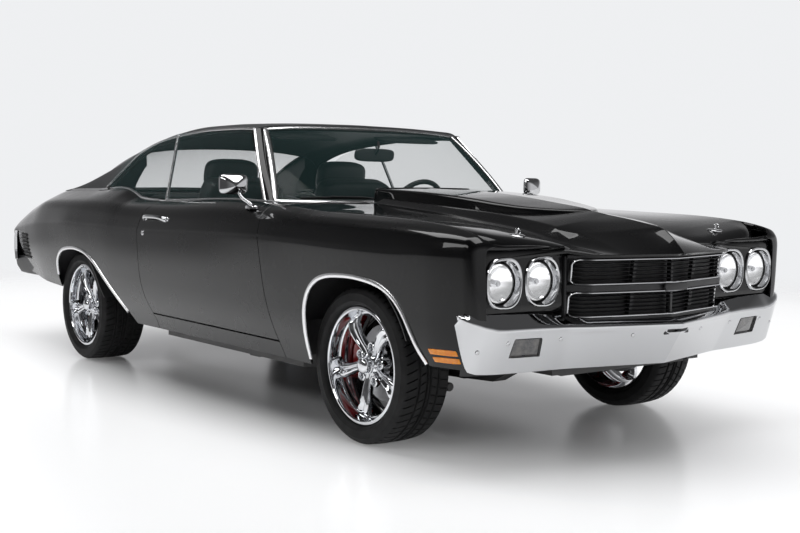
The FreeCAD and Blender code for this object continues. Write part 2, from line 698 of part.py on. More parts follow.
def frame_crossmembers():
    """Crossmembers between the rails' inner faces."""
    half = RAIL_WIDTH / 2 + FIT
    bars = [block(x - depth / 2, x + depth / 2, half - y, y - half, z, z + height)
            for x, y, z, height, depth in CROSSMEMBERS]
    return Part.makeCompound([bar_shape.cut(pipe_room()) for bar_shape in bars])


def radiator_support(hood_shape):
    """Core support with the radiator, standing on the front crossmember."""
    foot = FRAME_RAIL[0][2] + RAIL_HEIGHT
    plate = block(SUPPORT_X - 14, SUPPORT_X, 257 - HALF, HALF - 257, foot + FIT, 836)
    core = block(SUPPORT_X - 60, SUPPORT_X - 10, -330, 330, foot + 40, 800)
    wings = block(SUPPORT_X - 14, FASCIA_BACK - FIT, HALF - 317, HALF - 303, 560, 836)
    lamp_backs = [rod(point(SUPPORT_X - 20, y, LAMP_Z), point(SUPPORT_X + 20, y, LAMP_Z), BEZEL_RADIUS + 4)
                  for side in (1, -1) for y in [side * lamp_y for lamp_y in LAMP_YS]]
    stop = block(SUPPORT_X - 14, SUPPORT_X, HALF - 397, HALF - 357, 800, 930)
    room = hood_shape.translated(point(0, 0, -FIT))
    stop = min(stop.cut(room).Solids, key=lambda solid: solid.CenterOfMass.z)
    return fuse([plate, core, wings, flip(wings), stop, flip(stop)]).cut(lamp_backs)


def v_plan(front_shift, depth):
    """Return the plan outline of a strip that follows the pointed nose."""
    front = [(FRONT_X + 768, HALF - 518), (FRONT_X + 850, HALF - 571), (FRONT_X + 926, 0)]
    front = [(x + front_shift, y) for x, y in front]
    front = front + [(x, -y) for x, y in front[::-1][1:]]
    return front + [(x - depth, y) for x, y in front[::-1]]


def header_panel():
    """Fascia around the lamps and grille, with its sill bar below the grille."""
    plate = block(FASCIA_BACK, FASCIA_FACE, HALF - 511, HALF - 111, FASCIA_BOTTOM, FASCIA_TOP)
    holes = [rod(point(FASCIA_BACK - 5, y, LAMP_Z), point(FASCIA_FACE + 5, y, LAMP_Z), LAMP_RADIUS + 6)
             for y in LAMP_YS]
    plate = plate.cut(holes)
    sill = prism_z(v_plan(-30, 30), GRILLE_BOTTOM - 10, GRILLE_BOTTOM - FIT)
    leg_y = HALF - 487
    legs = fuse([
        block(FASCIA_BACK, FASCIA_FACE - 2, leg_y - 28, leg_y, GRILLE_BOTTOM - 10, FASCIA_BOTTOM + 10),
        block(FASCIA_BACK - 22, FASCIA_FACE - 2, leg_y - 70, leg_y, GRILLE_BOTTOM - 10, GRILLE_BOTTOM - FIT),
    ])
    ties = block(SUPPORT_X + FIT, FASCIA_BACK + 2, leg_y - 18, leg_y, GRILLE_BOTTOM - 10, FASCIA_BOTTOM + 10)
    return fuse([plate, flip(plate), sill, legs, flip(legs), ties, flip(ties)])


def grille():
    """Two stacked openings with a frame, slats and posts, all following the pointed nose."""
    middle = (GRILLE_TOP + GRILLE_BOTTOM) / 2
    frames = [(GRILLE_TOP - 14, GRILLE_TOP), (middle + 8, middle + 20), (middle - 20, middle - 8),
              (GRILLE_BOTTOM, GRILLE_BOTTOM + 14), (middle - 10, middle + 10)]
    bars = [prism_z(v_plan(-16 if index == 4 else 0, 46), low, high)
            for index, (low, high) in enumerate(frames)]
    for base in (GRILLE_BOTTOM + 14, middle + 20):
        for index in range(4):
            z = base + 17 * (index + 1)
            bars.append(prism_z(v_plan(-12, 34), z - GRILLE_BAR / 2, z + GRILLE_BAR / 2))
    for y, x in ((0, 926), (195, 888), (HALF - 571, 850), (HALF - 533, 792)):
        post = block(FRONT_X + x - 58, FRONT_X + x - 36, y - 6, y + 6, GRILLE_BOTTOM + 2, GRILLE_TOP - 2)
        bars += [post, flip(post)] if y else [post]
    return fuse(bars)


def front_lamps():
    """Four sealed-beam lamps with their bezels."""
    lamps = []
    for y in LAMP_YS:
        body = rod(point(SUPPORT_X + 24, y, LAMP_Z), point(FASCIA_FACE + 14, y, LAMP_Z), LAMP_RADIUS)
        bezel = rod(point(FASCIA_FACE + FIT, y, LAMP_Z), point(FASCIA_FACE + 16, y, LAMP_Z), BEZEL_RADIUS)
        lamps.append(fuse([body, bezel]))
    return Part.makeCompound(lamps + [flip(lamp) for lamp in lamps])


# Front bumper.  Columns: |y|, then (x, z) of the top, ridge, waist and bottom from the front axle
FRONT_BUMPER = [
    (0, 915, 556, 970, 546, 893, 434, 869, 373),
    (225, 888, 556, 940, 545, 872, 434, 850, 373),
    (390, 822, 556, 864, 544, 806, 434, 778, 374),
    (480, 766, 585, 802, 545, 744, 434, 752, 375),
    (805, 754, 600, 797, 546, 733, 434, 716, 378),
    (885, 738, 602, 775, 546, 722, 436, 706, 384),
    (936, 716, 602, 728, 548, 716, 450, 712, 402),
]
BUMPER_WALL = 22.0
PARKING_LAMP = (HALF - 379, HALF - 235, 440, 508)


def bumper(rows, wall, sign):
    """Return a bumper blade lofted across the car; sign is +1 in front and -1 behind."""
    wires = []
    for row in [(-r[0],) + tuple(r[1:]) for r in rows[::-1][:-1]] + rows:
        y = row[0] * WIDE
        base = FRONT_X if sign > 0 else REAR_X
        face = [(base + row[i], row[i + 1]) for i in (1, 3, 5, 7)]
        back = [(x - sign * wall, z) for x, z in face]
        wires.append(outline([point(x, y, z) for x, z in face + back[::-1]]))
    return loft(wires)


def front_bumper():
    """Chrome front bumper with its two lamp pockets and frame irons."""
    blade = bumper(FRONT_BUMPER, BUMPER_WALL, 1)
    y0, y1, z0, z1 = PARKING_LAMP
    pocket = block(FRONT_X + 690, FRONT_X + 830, y0, y1, z0, z1)
    rail_x, rail_y, _ = FRAME_RAIL[0]
    iron = block(rail_x + FIT, FRONT_X + 795, rail_y - 14, rail_y + 14, 410, 440)
    hanger = block(rail_x + FIT, rail_x + 14, rail_y - 14, rail_y + 14, 320, 440)
    fender_room = block(FRONT_X + 400, FRONT_X + 740, 42 - HALF, HALF - 42, 370, 484)
    return fuse([blade.cut([pocket, flip(pocket), fender_room]), iron, flip(iron), hanger, flip(hanger)])


def parking_lamps():
    """Turn lamps that fill the bumper's pockets."""
    y0, y1, z0, z1 = PARKING_LAMP
    blade = bumper(FRONT_BUMPER, BUMPER_WALL, 1)
    room = block(FRONT_X + 690, FRONT_X + 830, y0 + FIT, y1 - FIT, z0 + FIT, z1 - FIT)
    return pair(largest(blade.common(room)))


# Rear bumper.  Columns as for the front, from the rear axle
REAR_BUMPER = [
    (0, -1135, 738, -1193, 700, -1200, 590, -1150, 532),
    (560, -1135, 738, -1190, 700, -1197, 590, -1147, 532),
    (800, -1130, 738, -1168, 700, -1175, 590, -1135, 532),
    (872, -1085, 738, -1112, 698, -1120, 590, -1090, 534),
    (912, -974, 738, -980, 698, -982, 590, -974, 540),
]
TAIL_LAMP = (HALF - 397, HALF - 167, 606, 690)


def rear_bumper():
    """Chrome rear bumper with its two lamp pockets and frame irons."""
    y0, y1, z0, z1 = TAIL_LAMP
    pocket = block(REAR_X - 1260, REAR_X - 1100, y0, y1, z0, z1)
    tail_room = block(REAR_X - 1112 - FIT, REAR_X - 1000, 157 - HALF, HALF - 157, 500, 745)
    blade = bumper(REAR_BUMPER, BUMPER_WALL, -1).cut([pocket, flip(pocket), tail_room])
    iron = block(REAR_X - 1178, REAR_X - 1112 - FIT, 380, 410, 560, 600)
    return fuse([blade, iron, flip(iron)])


def tail_lamps():
    """Tail lamps that fill the rear bumper's pockets."""
    y0, y1, z0, z1 = TAIL_LAMP
    blade = bumper(REAR_BUMPER, BUMPER_WALL, -1)
    room = block(REAR_X - 1260, REAR_X - 1100, y0 + FIT, y1 - FIT, z0 + FIT, z1 - FIT)
    return pair(largest(blade.common(room)))


# Wheel houses: radius, wall, inner |y|, height of the lower edge over the hub
FRONT_HOUSE = (420, 6, HALF - 515, 150)
REAR_HOUSE = (372, 6, HALF - 391, 75)


def side_core(stations, inset):
    """Return the space inside the left body side, out to an inset from its skin."""
    wires = []
    for x in stations:
        skin = outer_line(side_at(x))
        ring = [(y - inset, z) for y, z in skin] + [(300, skin[5][1]), (300, skin[0][1])]
        wires.append(outline([point(x, y, z) for y, z in ring]))
    return loft(wires)


def arch_shell(centre_x, house):
    """Inner arch liner over one wheel: a half-round shell with an inboard wall, inside the skin."""
    radius, wall, inner_y, lift = house
    width = HALF - inner_y
    shell = Part.makeCylinder(radius, width, point(centre_x, inner_y, HUB_Z), point(0, 1, 0))
    hollow = Part.makeCylinder(radius - wall, width, point(centre_x, inner_y + wall, HUB_Z), point(0, 1, 0))
    reach = radius + 5
    low = block(centre_x - reach, centre_x + reach, inner_y - 5, HALF, HUB_Z - reach, HUB_Z + lift)
    core = side_core(stations_between(centre_x + reach, centre_x - reach), PANEL + FIT)
    return largest(shell.cut([hollow, low]).common(core))


def tyre(rim_width, width):
    """Tyre about a wheel centre at the origin, axle along Y."""
    half = width / 2
    seat = rim_width / 2 - FLANGE - 2 * FIT
    bead = RIM_RADIUS - FLANGE_HEIGHT
    profile = [
        (bead, seat), (RIM_RADIUS + 1, seat), (RIM_RADIUS + 7, half - 8), (280, half), (302, half - 8),
        (TYRE_RADIUS - 6, half - 26), (TYRE_RADIUS, half - 44),
    ]
    inner = [(TYRE_RADIUS - 18, 50 - half), (RIM_RADIUS + 20, 24 - half), (bead, 24 - seat)]
    ring = profile + [(r, -y) for r, y in profile[::-1]]
    ring += inner[::-1] + [(r, -y) for r, y in inner]
    face = Part.Face(outline([point(r, y, 0) for r, y in ring]))
    return face.revolve(point(0, 0, 0), point(0, 1, 0), 360)


def rim(width):
    """Five-spoke wheel with its brake disc, about the origin, outer face towards +Y."""
    half = width / 2
    bead = RIM_RADIUS - FLANGE_HEIGHT - FIT
    drop = BARREL_RADIUS
    outer = [
        (RIM_RADIUS, half), (RIM_RADIUS, half - FLANGE), (bead, half - FLANGE), (bead, half - 42),
        (drop, half - 62), (drop, 62 - half), (bead, 42 - half), (bead, FLANGE - half),
        (RIM_RADIUS, FLANGE - half), (RIM_RADIUS, -half),
    ]
    inner = [(RIM_RADIUS - 8, -half), (bead - BARREL_WALL, FLANGE - half), (bead - BARREL_WALL, 38 - half),
             (drop - BARREL_WALL, 58 - half), (drop - BARREL_WALL, half - 58), (bead - BARREL_WALL, half - 38),
             (bead - BARREL_WALL, half - FLANGE), (RIM_RADIUS - 8, half)]
    profile = outer + inner
    face = Part.Face(outline([point(r, y, 0) for r, y in profile]))
    barrel = face.revolve(point(0, 0, 0), point(0, 1, 0), 360)
    hub = Part.makeCylinder(HUB_RADIUS, HUB_LENGTH, point(0, HUB_BACK, 0), point(0, 1, 0))
    disc = Part.makeCylinder(DISC_RADIUS, DISC_WIDTH, point(0, HUB_BACK, 0), point(0, 1, 0))
    spokes = []
    reach = BARREL_RADIUS - BARREL_WALL / 2
    for index in range(SPOKES):
        wires = []
        for r, y, wide, deep in ((30, 58, SPOKE_WIDTH * 0.8, 40), (120, 66, SPOKE_WIDTH * 0.7, 34),
                                 (reach, 44, SPOKE_WIDTH * 1.4, 30)):
            ring = [(-wide / 2, y - deep), (wide / 2, y - deep), (wide / 2, y), (-wide / 2, y)]
            wires.append(outline([point(px, py, r) for px, py in ring]))
        spoke = loft(wires)
        spoke.rotate(point(0, 0, 0), point(0, 1, 0), 360.0 * index / SPOKES)
        spokes.append(spoke)
    bore = Part.makeCylinder(BORE_RADIUS + FIT, BORE_DEPTH, point(0, HUB_BACK - 1, 0), point(0, 1, 0))
    return fuse([barrel, hub, disc] + spokes).cut(bore)


def at_wheel(shape, x, y):
    """Place a wheel piece at one corner; right-hand pieces are mirrored."""
    placed = shape.copy() if y > 0 else flip(shape)
    placed.translate(point(x, y, HUB_Z))
    return placed


def spindle(y):
    """Return a stub that runs in the rim's bore, its end clear of the bore's floor."""
    back = y + HUB_BACK
    return rod(point(0, back - 40, HUB_Z), point(0, back + BORE_DEPTH - 3, HUB_Z), BORE_RADIUS)


def caliper(back, angle):
    """Brake caliper that straddles the disc, at an angle from +X about the hub."""
    body = block(CALIPER_INNER, CALIPER_OUTER, back - 45, back + DISC_WIDTH + 24, -58, 58)
    trim = Part.makeCylinder(CALIPER_OUTER, 400, point(0, back - 100, 0), point(0, 1, 0))
    slot = Part.makeCylinder(DISC_RADIUS + 6, DISC_WIDTH + 12, point(0, back - 6, 0), point(0, 1, 0))
    body = body.common(trim).cut(slot)
    body.rotate(point(0, 0, 0), point(0, -1, 0), angle)
    body.translate(point(0, 0, HUB_Z))
    return body


def knuckle():
    """Steering knuckle with spindle, ball-joint bosses, steering arm and caliper."""
    back = FRONT_WHEEL_Y + HUB_BACK
    upright = block(-24, 24, KINGPIN_Y - 22, KINGPIN_Y + 22, HUB_Z - 95, HUB_Z + 118)
    carrier = rod(point(0, KINGPIN_Y, HUB_Z), point(0, back - FIT, HUB_Z), 44)
    arm = block(-150, 10, KINGPIN_Y - 14, KINGPIN_Y + 10, HUB_Z - 78, HUB_Z - 56)
    bracket = block(-120, -10, back - 40, back - 18, HUB_Z - 24, HUB_Z + 24)
    shape = fuse([upright, carrier, spindle(FRONT_WHEEL_Y), arm, bracket, caliper(back, 180)])
    shape.translate(point(FRONT_X, 0, 0))
    return shape


def front_suspension():
    """Upper and lower control arms with springs, ending in ball joints on the kingpin line."""
    shapes = []
    frame_y = FRAME_RAIL[3][1] + RAIL_WIDTH / 2 + FIT
    for z, tip, wide in ((HUB_Z - 95 - 26 - FIT, 26, 120), (HUB_Z + 118 + FIT, 20, 90)):
        plate = prism_z([(FRONT_X + wide, frame_y), (FRONT_X + 22, KINGPIN_Y + 10),
                         (FRONT_X - 22, KINGPIN_Y + 10), (FRONT_X - wide, frame_y)], z, z + tip)
        shapes.append(plate)
    spring_y = HALF - 437
    spring = rod(point(FRONT_X, spring_y, HUB_Z - 100), point(FRONT_X, spring_y, HUB_Z + 123), 48)
    tower = block(FRONT_X - 90, FRONT_X + 90, frame_y, frame_y + 20, 215, HUB_Z + 135)
    return pair(fuse(shapes + [spring, tower]))


def rear_axle():
    """Live rear axle: tube, differential, brake plates and stubs."""
    back = REAR_WHEEL_Y + HUB_BACK
    tube = rod(point(0, -back + FIT, HUB_Z), point(0, back - FIT, HUB_Z), 42)
    ball = Part.makeSphere(135, point(0, 0, HUB_Z))
    nose = rod(point(0, 0, HUB_Z), point(210, 0, HUB_Z), 55)
    stub = spindle(REAR_WHEEL_Y)
    bracket = block(-24, 24, back - 40, back - 18, HUB_Z, HUB_Z + 130)
    carrier = fuse([caliper(back, 90), bracket])
    link = block(-20, 560 - FIT, 395, 425, HUB_Z - 66, HUB_Z - 38)
    spring_y = FRAME_RAIL[8][1] + 20
    spring = rod(point(0, spring_y, HUB_Z + 20), point(0, spring_y, FRAME_RAIL[8][2] - FIT), 50)
    side = [stub, carrier, link, spring]
    axle = fuse([tube, ball, nose] + side + [flip(shape) for shape in side])
    axle.translate(point(REAR_X, 0, 0))
    return axle


def engine():
    """Engine as one plain block on the front crossmember."""
    foot = CROSSMEMBERS[1][2] + CROSSMEMBERS[1][3]
    return block(ENGINE_REAR, FRONT_X + 300, -300, 300, foot + FIT, 830)


def driveline():
    """Gearbox and propeller shaft from the engine to the axle."""
    start = ENGINE_REAR - FIT
    box = rod(point(start, 0, 345), point(start - 700, 0, 345), 105)
    shaft = rod(point(start - 690, 0, 345), point(REAR_X + 214, 0, HUB_Z), 40)
    bar_x, _, bar_z, bar_height, _ = CROSSMEMBERS[2]
    foot = block(bar_x - 20, bar_x + 20, -60, 60, bar_z + bar_height + FIT, 320)
    return fuse([box, shaft, foot])


def exhaust():
    """Twin exhaust pipes with mufflers, hung from the floor."""
    pipe = rod(point(ENGINE_REAR - FIT, PIPE_Y, PIPE_Z), point(TAIL_X + 80, PIPE_Y, PIPE_Z), PIPE_RADIUS)
    muffler = block(REAR_X + 700, REAR_X + 1150, PIPE_Y - 80, PIPE_Y + 80, FRAME_Z - 30, FLOOR_Z - 6)
    hanger = block(REAR_X + 900, REAR_X + 940, PIPE_Y - 15, PIPE_Y + 15, FLOOR_Z - 10, FLOOR_Z - FIT)
    return pair(fuse([pipe, muffler, hanger]))


def fuel_tank():
    """Fuel tank under the boot floor."""
    wide = HALF - 557
    return block(REAR_X - 960, REAR_X - 420, -wide, wide, 285, BOOT_FLOOR_Z - FIT)


def bucket_seat():
    """Front bucket seat: cushion, back and headrest as one plain solid."""
    x = FRONT_X - 1290
    floor = FLOOR_Z + FLOOR_THICK + FIT
    side = [(x, 430), (x, 545), (x - 60, 560), (x - 440, 530), (x - 600, 1010), (x - 590, 1130), (x - 660, 1135),
            (x - 700, 1080), (x - 560, 430)]
    cushion = prism_y(side, 150, 640)
    plinth = block(x - 500, x - 60, 200, 590, floor, 432)
    return fuse([cushion, plinth])


def seat_rear():
    """Rear bench with its back against the bulkhead."""
    back = BULKHEAD + FIT
    floor = REAR_PAN_Z + FLOOR_THICK + FIT
    side = [(back, floor), (back, 960), (back + 105, 952), (back + 200, 640), (back + 540, 655),
            (back + 548, 620), (back + 535, floor)]
    return prism_y(side, -540, 540)


def dashboard():
    """Dashboard below the windshield, with the steering column."""
    front = FIREWALL - FLOOR_THICK
    side = [(front - FIT, 700), (front - FIT, 940), (front - 300, 948), (front - 350, 900), (front - 290, 700)]
    board = prism_y(side, -CABIN_Y + 10, CABIN_Y - 10)
    hub = steering_hub()
    column = rod(point(front - FIT - 20, hub.y, steering_z(front - 20)), hub - COLUMN * 44, 24)
    return fuse([board, column])


def steering_hub():
    """Return the centre of the steering wheel's rim plane."""
    return point(FRONT_X - 1218, HALF - 567, 926)


def steering_z(x):
    """Return the column's height at a station."""
    hub = steering_hub()
    return hub.z - (x - hub.x) * math.tan(math.radians(WHEEL_RAKE))


def steering_wheel():
    """Steering wheel: rim, three spokes and hub."""
    hub = steering_hub()
    rim_ring = Part.makeTorus(STEERING_WHEEL_RADIUS - 14, 14, hub, COLUMN)
    boss = rod(hub - COLUMN * (44 - FIT), hub + COLUMN * 6, 40)
    spokes = []
    across = Vector(0, 1, 0)
    up = COLUMN.cross(across)
    for angle in (90, 210, 330):
        way = across * math.cos(math.radians(angle)) - up * math.sin(math.radians(angle))
        spokes.append(rod(hub - COLUMN * 14, hub - COLUMN * 4 + way * (STEERING_WHEEL_RADIUS - 16), 9))
    return fuse([rim_ring, boss] + spokes)


def mirror():
    """Door mirror on its stalk."""
    x = FRONT_X - 860
    row = outer_line(side_at(x))
    foot = block(x - 30, x + 30, row[5][0] - 22, row[5][0] + 4, row[5][1] + FIT, row[5][1] + 16)
    stalk = rod(point(x, row[5][0] - 4, row[5][1] + 8), point(x - 8, 938, 1042), 9)
    head = block(x - 40, x + 12, 880, 1000, 1008, 1104)
    return fuse([foot, stalk, head])


NODES = {}


def main():
    """Build every sub-part and write it as STEP."""
    os.makedirs("parts", exist_ok=True)
    NODES["floor_pan"] = floor_pan()
    NODES["fender_left"] = fender()
    NODES["quarter_left"] = quarter()
    NODES["rocker_left"] = rocker()
    NODES["door_left"] = door()
    NODES["door_glass_left"] = door_glass()
    NODES["mirror_left"] = mirror()
    NODES["knuckle_left"] = knuckle()
    NODES["frame_rail_left"] = frame_rail()
    for name in list(NODES):
        if name.endswith("_left"):
            NODES[name.replace("_left", "_right")] = flip(NODES[name])
    NODES["rear_pan"] = rear_pan()
    NODES["boot_floor"] = boot_floor()
    NODES["quarter_glass"] = pair(quarter_pane())
    NODES["roof"] = roof()
    NODES["windshield"] = windshield()
    NODES["rear_window"] = rear_window()
    NODES["cowl_panel"] = cowl_panel()
    NODES["hood"] = hood()
    NODES["trunk_lid"] = trunk_lid()
    NODES["tail_panel"], NODES["deck_panel"] = tail_panel(NODES["trunk_lid"])
    NODES["frame_crossmembers"] = frame_crossmembers()
    NODES["radiator_support"] = radiator_support(NODES["hood"])
    NODES["header_panel"] = header_panel()
    NODES["grille"] = grille()
    NODES["front_lamps"] = front_lamps()
    NODES["front_bumper"] = front_bumper()
    NODES["parking_lamps"] = parking_lamps()
    NODES["rear_bumper"] = rear_bumper()
    NODES["tail_lamps"] = tail_lamps()
    NODES["wheel_houses_front"] = pair(arch_shell(FRONT_X, FRONT_HOUSE))
    NODES["wheel_houses_rear"] = pair(arch_shell(REAR_X, REAR_HOUSE))
    NODES["front_suspension"] = front_suspension()
    NODES["rear_axle"] = rear_axle()
    NODES["engine"] = engine()
    NODES["driveline"] = driveline()
    NODES["exhaust"] = exhaust()
    NODES["fuel_tank"] = fuel_tank()
    NODES["seats_front"] = pair(bucket_seat())
    NODES["seat_rear"] = seat_rear()
    NODES["dashboard"] = dashboard()
    NODES["steering_wheel"] = steering_wheel()
    for end, x, y, width, tyre_width in (("front", FRONT_X, FRONT_WHEEL_Y, FRONT_RIM_WIDTH, FRONT_TYRE_WIDTH),
                                         ("rear", REAR_X, REAR_WHEEL_Y, REAR_RIM_WIDTH, REAR_TYRE_WIDTH)):
        for side, sign in (("left", 1), ("right", -1)):
            NODES["rim_%s_%s" % (end, side)] = at_wheel(rim(width), x, sign * y)
            NODES["tyre_%s_%s" % (end, side)] = at_wheel(tyre(width, tyre_width), x, sign * y)
    for name, shape in NODES.items():
        shape.exportStep("parts/%s.step" % name)
        print(name, len(shape.Solids), shape.isValid(), round(shape.Volume / 1e6, 2))


main()
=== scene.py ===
"""Dressed model of a two-door hardtop muscle car.

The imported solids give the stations.  Lengths are in millimetres in the car's own
frame (+X forward, +Y left, +Z up) and become metres when a piece is made.
"""

import json
import logging
import math
from dataclasses import dataclass
from enum import Enum
from typing import Callable, Iterable, Sequence

import bpy
import bmesh
import numpy as np
from mathutils import Matrix, Vector
from mathutils.geometry import tessellate_polygon

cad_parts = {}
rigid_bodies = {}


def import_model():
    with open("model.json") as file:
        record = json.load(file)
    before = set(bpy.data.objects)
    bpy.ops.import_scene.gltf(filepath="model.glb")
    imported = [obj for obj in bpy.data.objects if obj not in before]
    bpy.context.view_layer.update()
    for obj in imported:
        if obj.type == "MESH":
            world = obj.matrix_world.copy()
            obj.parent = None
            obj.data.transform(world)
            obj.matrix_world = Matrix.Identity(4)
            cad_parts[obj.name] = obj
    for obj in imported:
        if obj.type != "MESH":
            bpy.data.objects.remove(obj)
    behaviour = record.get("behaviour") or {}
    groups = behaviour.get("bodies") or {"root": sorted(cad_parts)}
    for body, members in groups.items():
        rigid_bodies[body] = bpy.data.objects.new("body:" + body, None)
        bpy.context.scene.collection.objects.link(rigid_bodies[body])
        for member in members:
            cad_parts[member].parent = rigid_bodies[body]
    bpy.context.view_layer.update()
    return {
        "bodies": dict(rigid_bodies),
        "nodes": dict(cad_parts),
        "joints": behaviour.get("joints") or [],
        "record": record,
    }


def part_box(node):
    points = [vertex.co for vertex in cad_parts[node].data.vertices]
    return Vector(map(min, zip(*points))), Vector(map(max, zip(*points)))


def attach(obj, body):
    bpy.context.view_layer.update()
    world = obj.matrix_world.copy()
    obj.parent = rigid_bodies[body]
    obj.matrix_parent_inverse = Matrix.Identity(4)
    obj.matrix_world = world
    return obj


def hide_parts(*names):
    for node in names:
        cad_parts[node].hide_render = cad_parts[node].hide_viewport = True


LOG = logging.getLogger("muscle_car")
MM = 0.001
SMOOTH_ANGLE = math.radians(32)
AHEAD = (1.0, 0.0, 0.0)


# ---------------------------------------------------------------- shader sums
class Wire:
    """A shader socket that takes part in Python sums."""

    def __init__(self, tree: "Tree", socket: bpy.types.NodeSocket) -> None:
        """Keep the socket and the tree it belongs to."""
        self.tree = tree
        self.socket = socket

    def _sum(self, operation: str, first: object, second: object) -> "Wire":
        """Add one Math node on two values."""
        made = self.tree.node("ShaderNodeMath", {"operation": operation}, {0: first, 1: second})
        return Wire(self.tree, made.outputs[0])

    def __add__(self, other: object) -> "Wire":
        """Sum."""
        return self._sum("ADD", self, other)

    def __sub__(self, other: object) -> "Wire":
        """Difference."""
        return self._sum("SUBTRACT", self, other)

    def __rsub__(self, other: object) -> "Wire":
        """Reflected difference."""
        return self._sum("SUBTRACT", other, self)

    def __mul__(self, other: object) -> "Wire":
        """Product."""
        return self._sum("MULTIPLY", self, other)

    def __truediv__(self, other: object) -> "Wire":
        """Quotient."""
        return self._sum("DIVIDE", self, other)

    def power(self, other: object) -> "Wire":
        """Raised to a power."""
        return self._sum("POWER", self, other)

    def least(self, other: object) -> "Wire":
        """Smaller of two values."""
        return self._sum("MINIMUM", self, other)

    __radd__ = __add__
    __rmul__ = __mul__


class Tree:
    """Node tree of one material, ending in a Principled shader."""

    def __init__(self, material: bpy.types.Material) -> None:
        """Clear the material's nodes and add its output."""
        material.use_nodes = True
        self.nodes = material.node_tree.nodes
        self.links = material.node_tree.links
        self.nodes.clear()
        self.output = self.nodes.new("ShaderNodeOutputMaterial")

    def node(self, kind: str, settings: dict | None = None,
             inputs: dict | None = None) -> bpy.types.Node:
        """Add any node.

        Args:
            kind: Blender's node type.
            settings: properties set before the sockets; "stops" fills a ramp.
            inputs: value or Wire for each socket, by name or number.

        Returns:
            The new node.
        """
        made = self.nodes.new(kind)
        for key, value in (settings or {}).items():
            if key == "stops":
                ramp = made.color_ramp.elements
                while len(ramp) < len(value):
                    ramp.new(0.5)
                for element, (place, colour) in zip(ramp, value):
                    element.position = place
                    element.color = (*colour, 1.0)
            else:
                setattr(made, key, value)
        for key, value in (inputs or {}).items():
            if isinstance(value, Wire):
                self.links.new(value.socket, made.inputs[key])
            else:
                made.inputs[key].default_value = value
        return made

    def place(self) -> Wire:
        """Position on the piece, in metres of the car's frame."""
        return Wire(self, self.node("ShaderNodeTexCoord").outputs["Object"])

    def split(self, vector: Wire) -> tuple[Wire, Wire, Wire]:
        """X, Y and Z of a vector."""
        made = self.node("ShaderNodeSeparateXYZ", None, {0: vector})
        return tuple(Wire(self, socket) for socket in made.outputs)

    def noise(self, place: Wire, scale: float, detail: float = 2.0) -> Wire:
        """Cloudy noise between 0 and 1."""
        made = self.node("ShaderNodeTexNoise", None,
                         {"Vector": place, "Scale": scale, "Detail": detail})
        return Wire(self, made.outputs[0])

    def cells(self, place: Wire, scale: float, feature: str = "F1") -> Wire:
        """Distance within a cellular pattern."""
        made = self.node("ShaderNodeTexVoronoi", {"feature": feature},
                         {"Vector": place, "Scale": scale})
        return Wire(self, made.outputs["Distance"])

    def step(self, value: Wire, low: float, high: float) -> Wire:
        """Smooth step from 0 at low to 1 at high."""
        made = self.node("ShaderNodeMapRange", {"interpolation_type": "SMOOTHSTEP"},
                         {"Value": value, "From Min": low, "From Max": high})
        return Wire(self, made.outputs[0])

    def blend(self, share: Wire, first: object, second: object) -> Wire:
        """Colour mixed from first to second."""
        made = self.node("ShaderNodeMix", {"data_type": "RGBA"}, {0: share, 6: first, 7: second})
        return Wire(self, made.outputs[2])

    def bump(self, height: Wire, depth: float, strength: float = 1.0) -> Wire:
        """Surface relief of a depth in metres."""
        made = self.node("ShaderNodeBump", None,
                         {"Height": height, "Distance": depth, "Strength": strength})
        return Wire(self, made.outputs[0])

    def finish(self, inputs: dict) -> None:
        """Add the Principled shader and link it to the output."""
        shader = self.node("ShaderNodeBsdfPrincipled", None, inputs)
        self.links.new(shader.outputs[0], self.output.inputs[0])


# ---------------------------------------------------------------- finishes
def rgba(colour: Sequence[float]) -> tuple[float, float, float, float]:
    """Colour with full opacity."""
    return (*colour, 1.0)


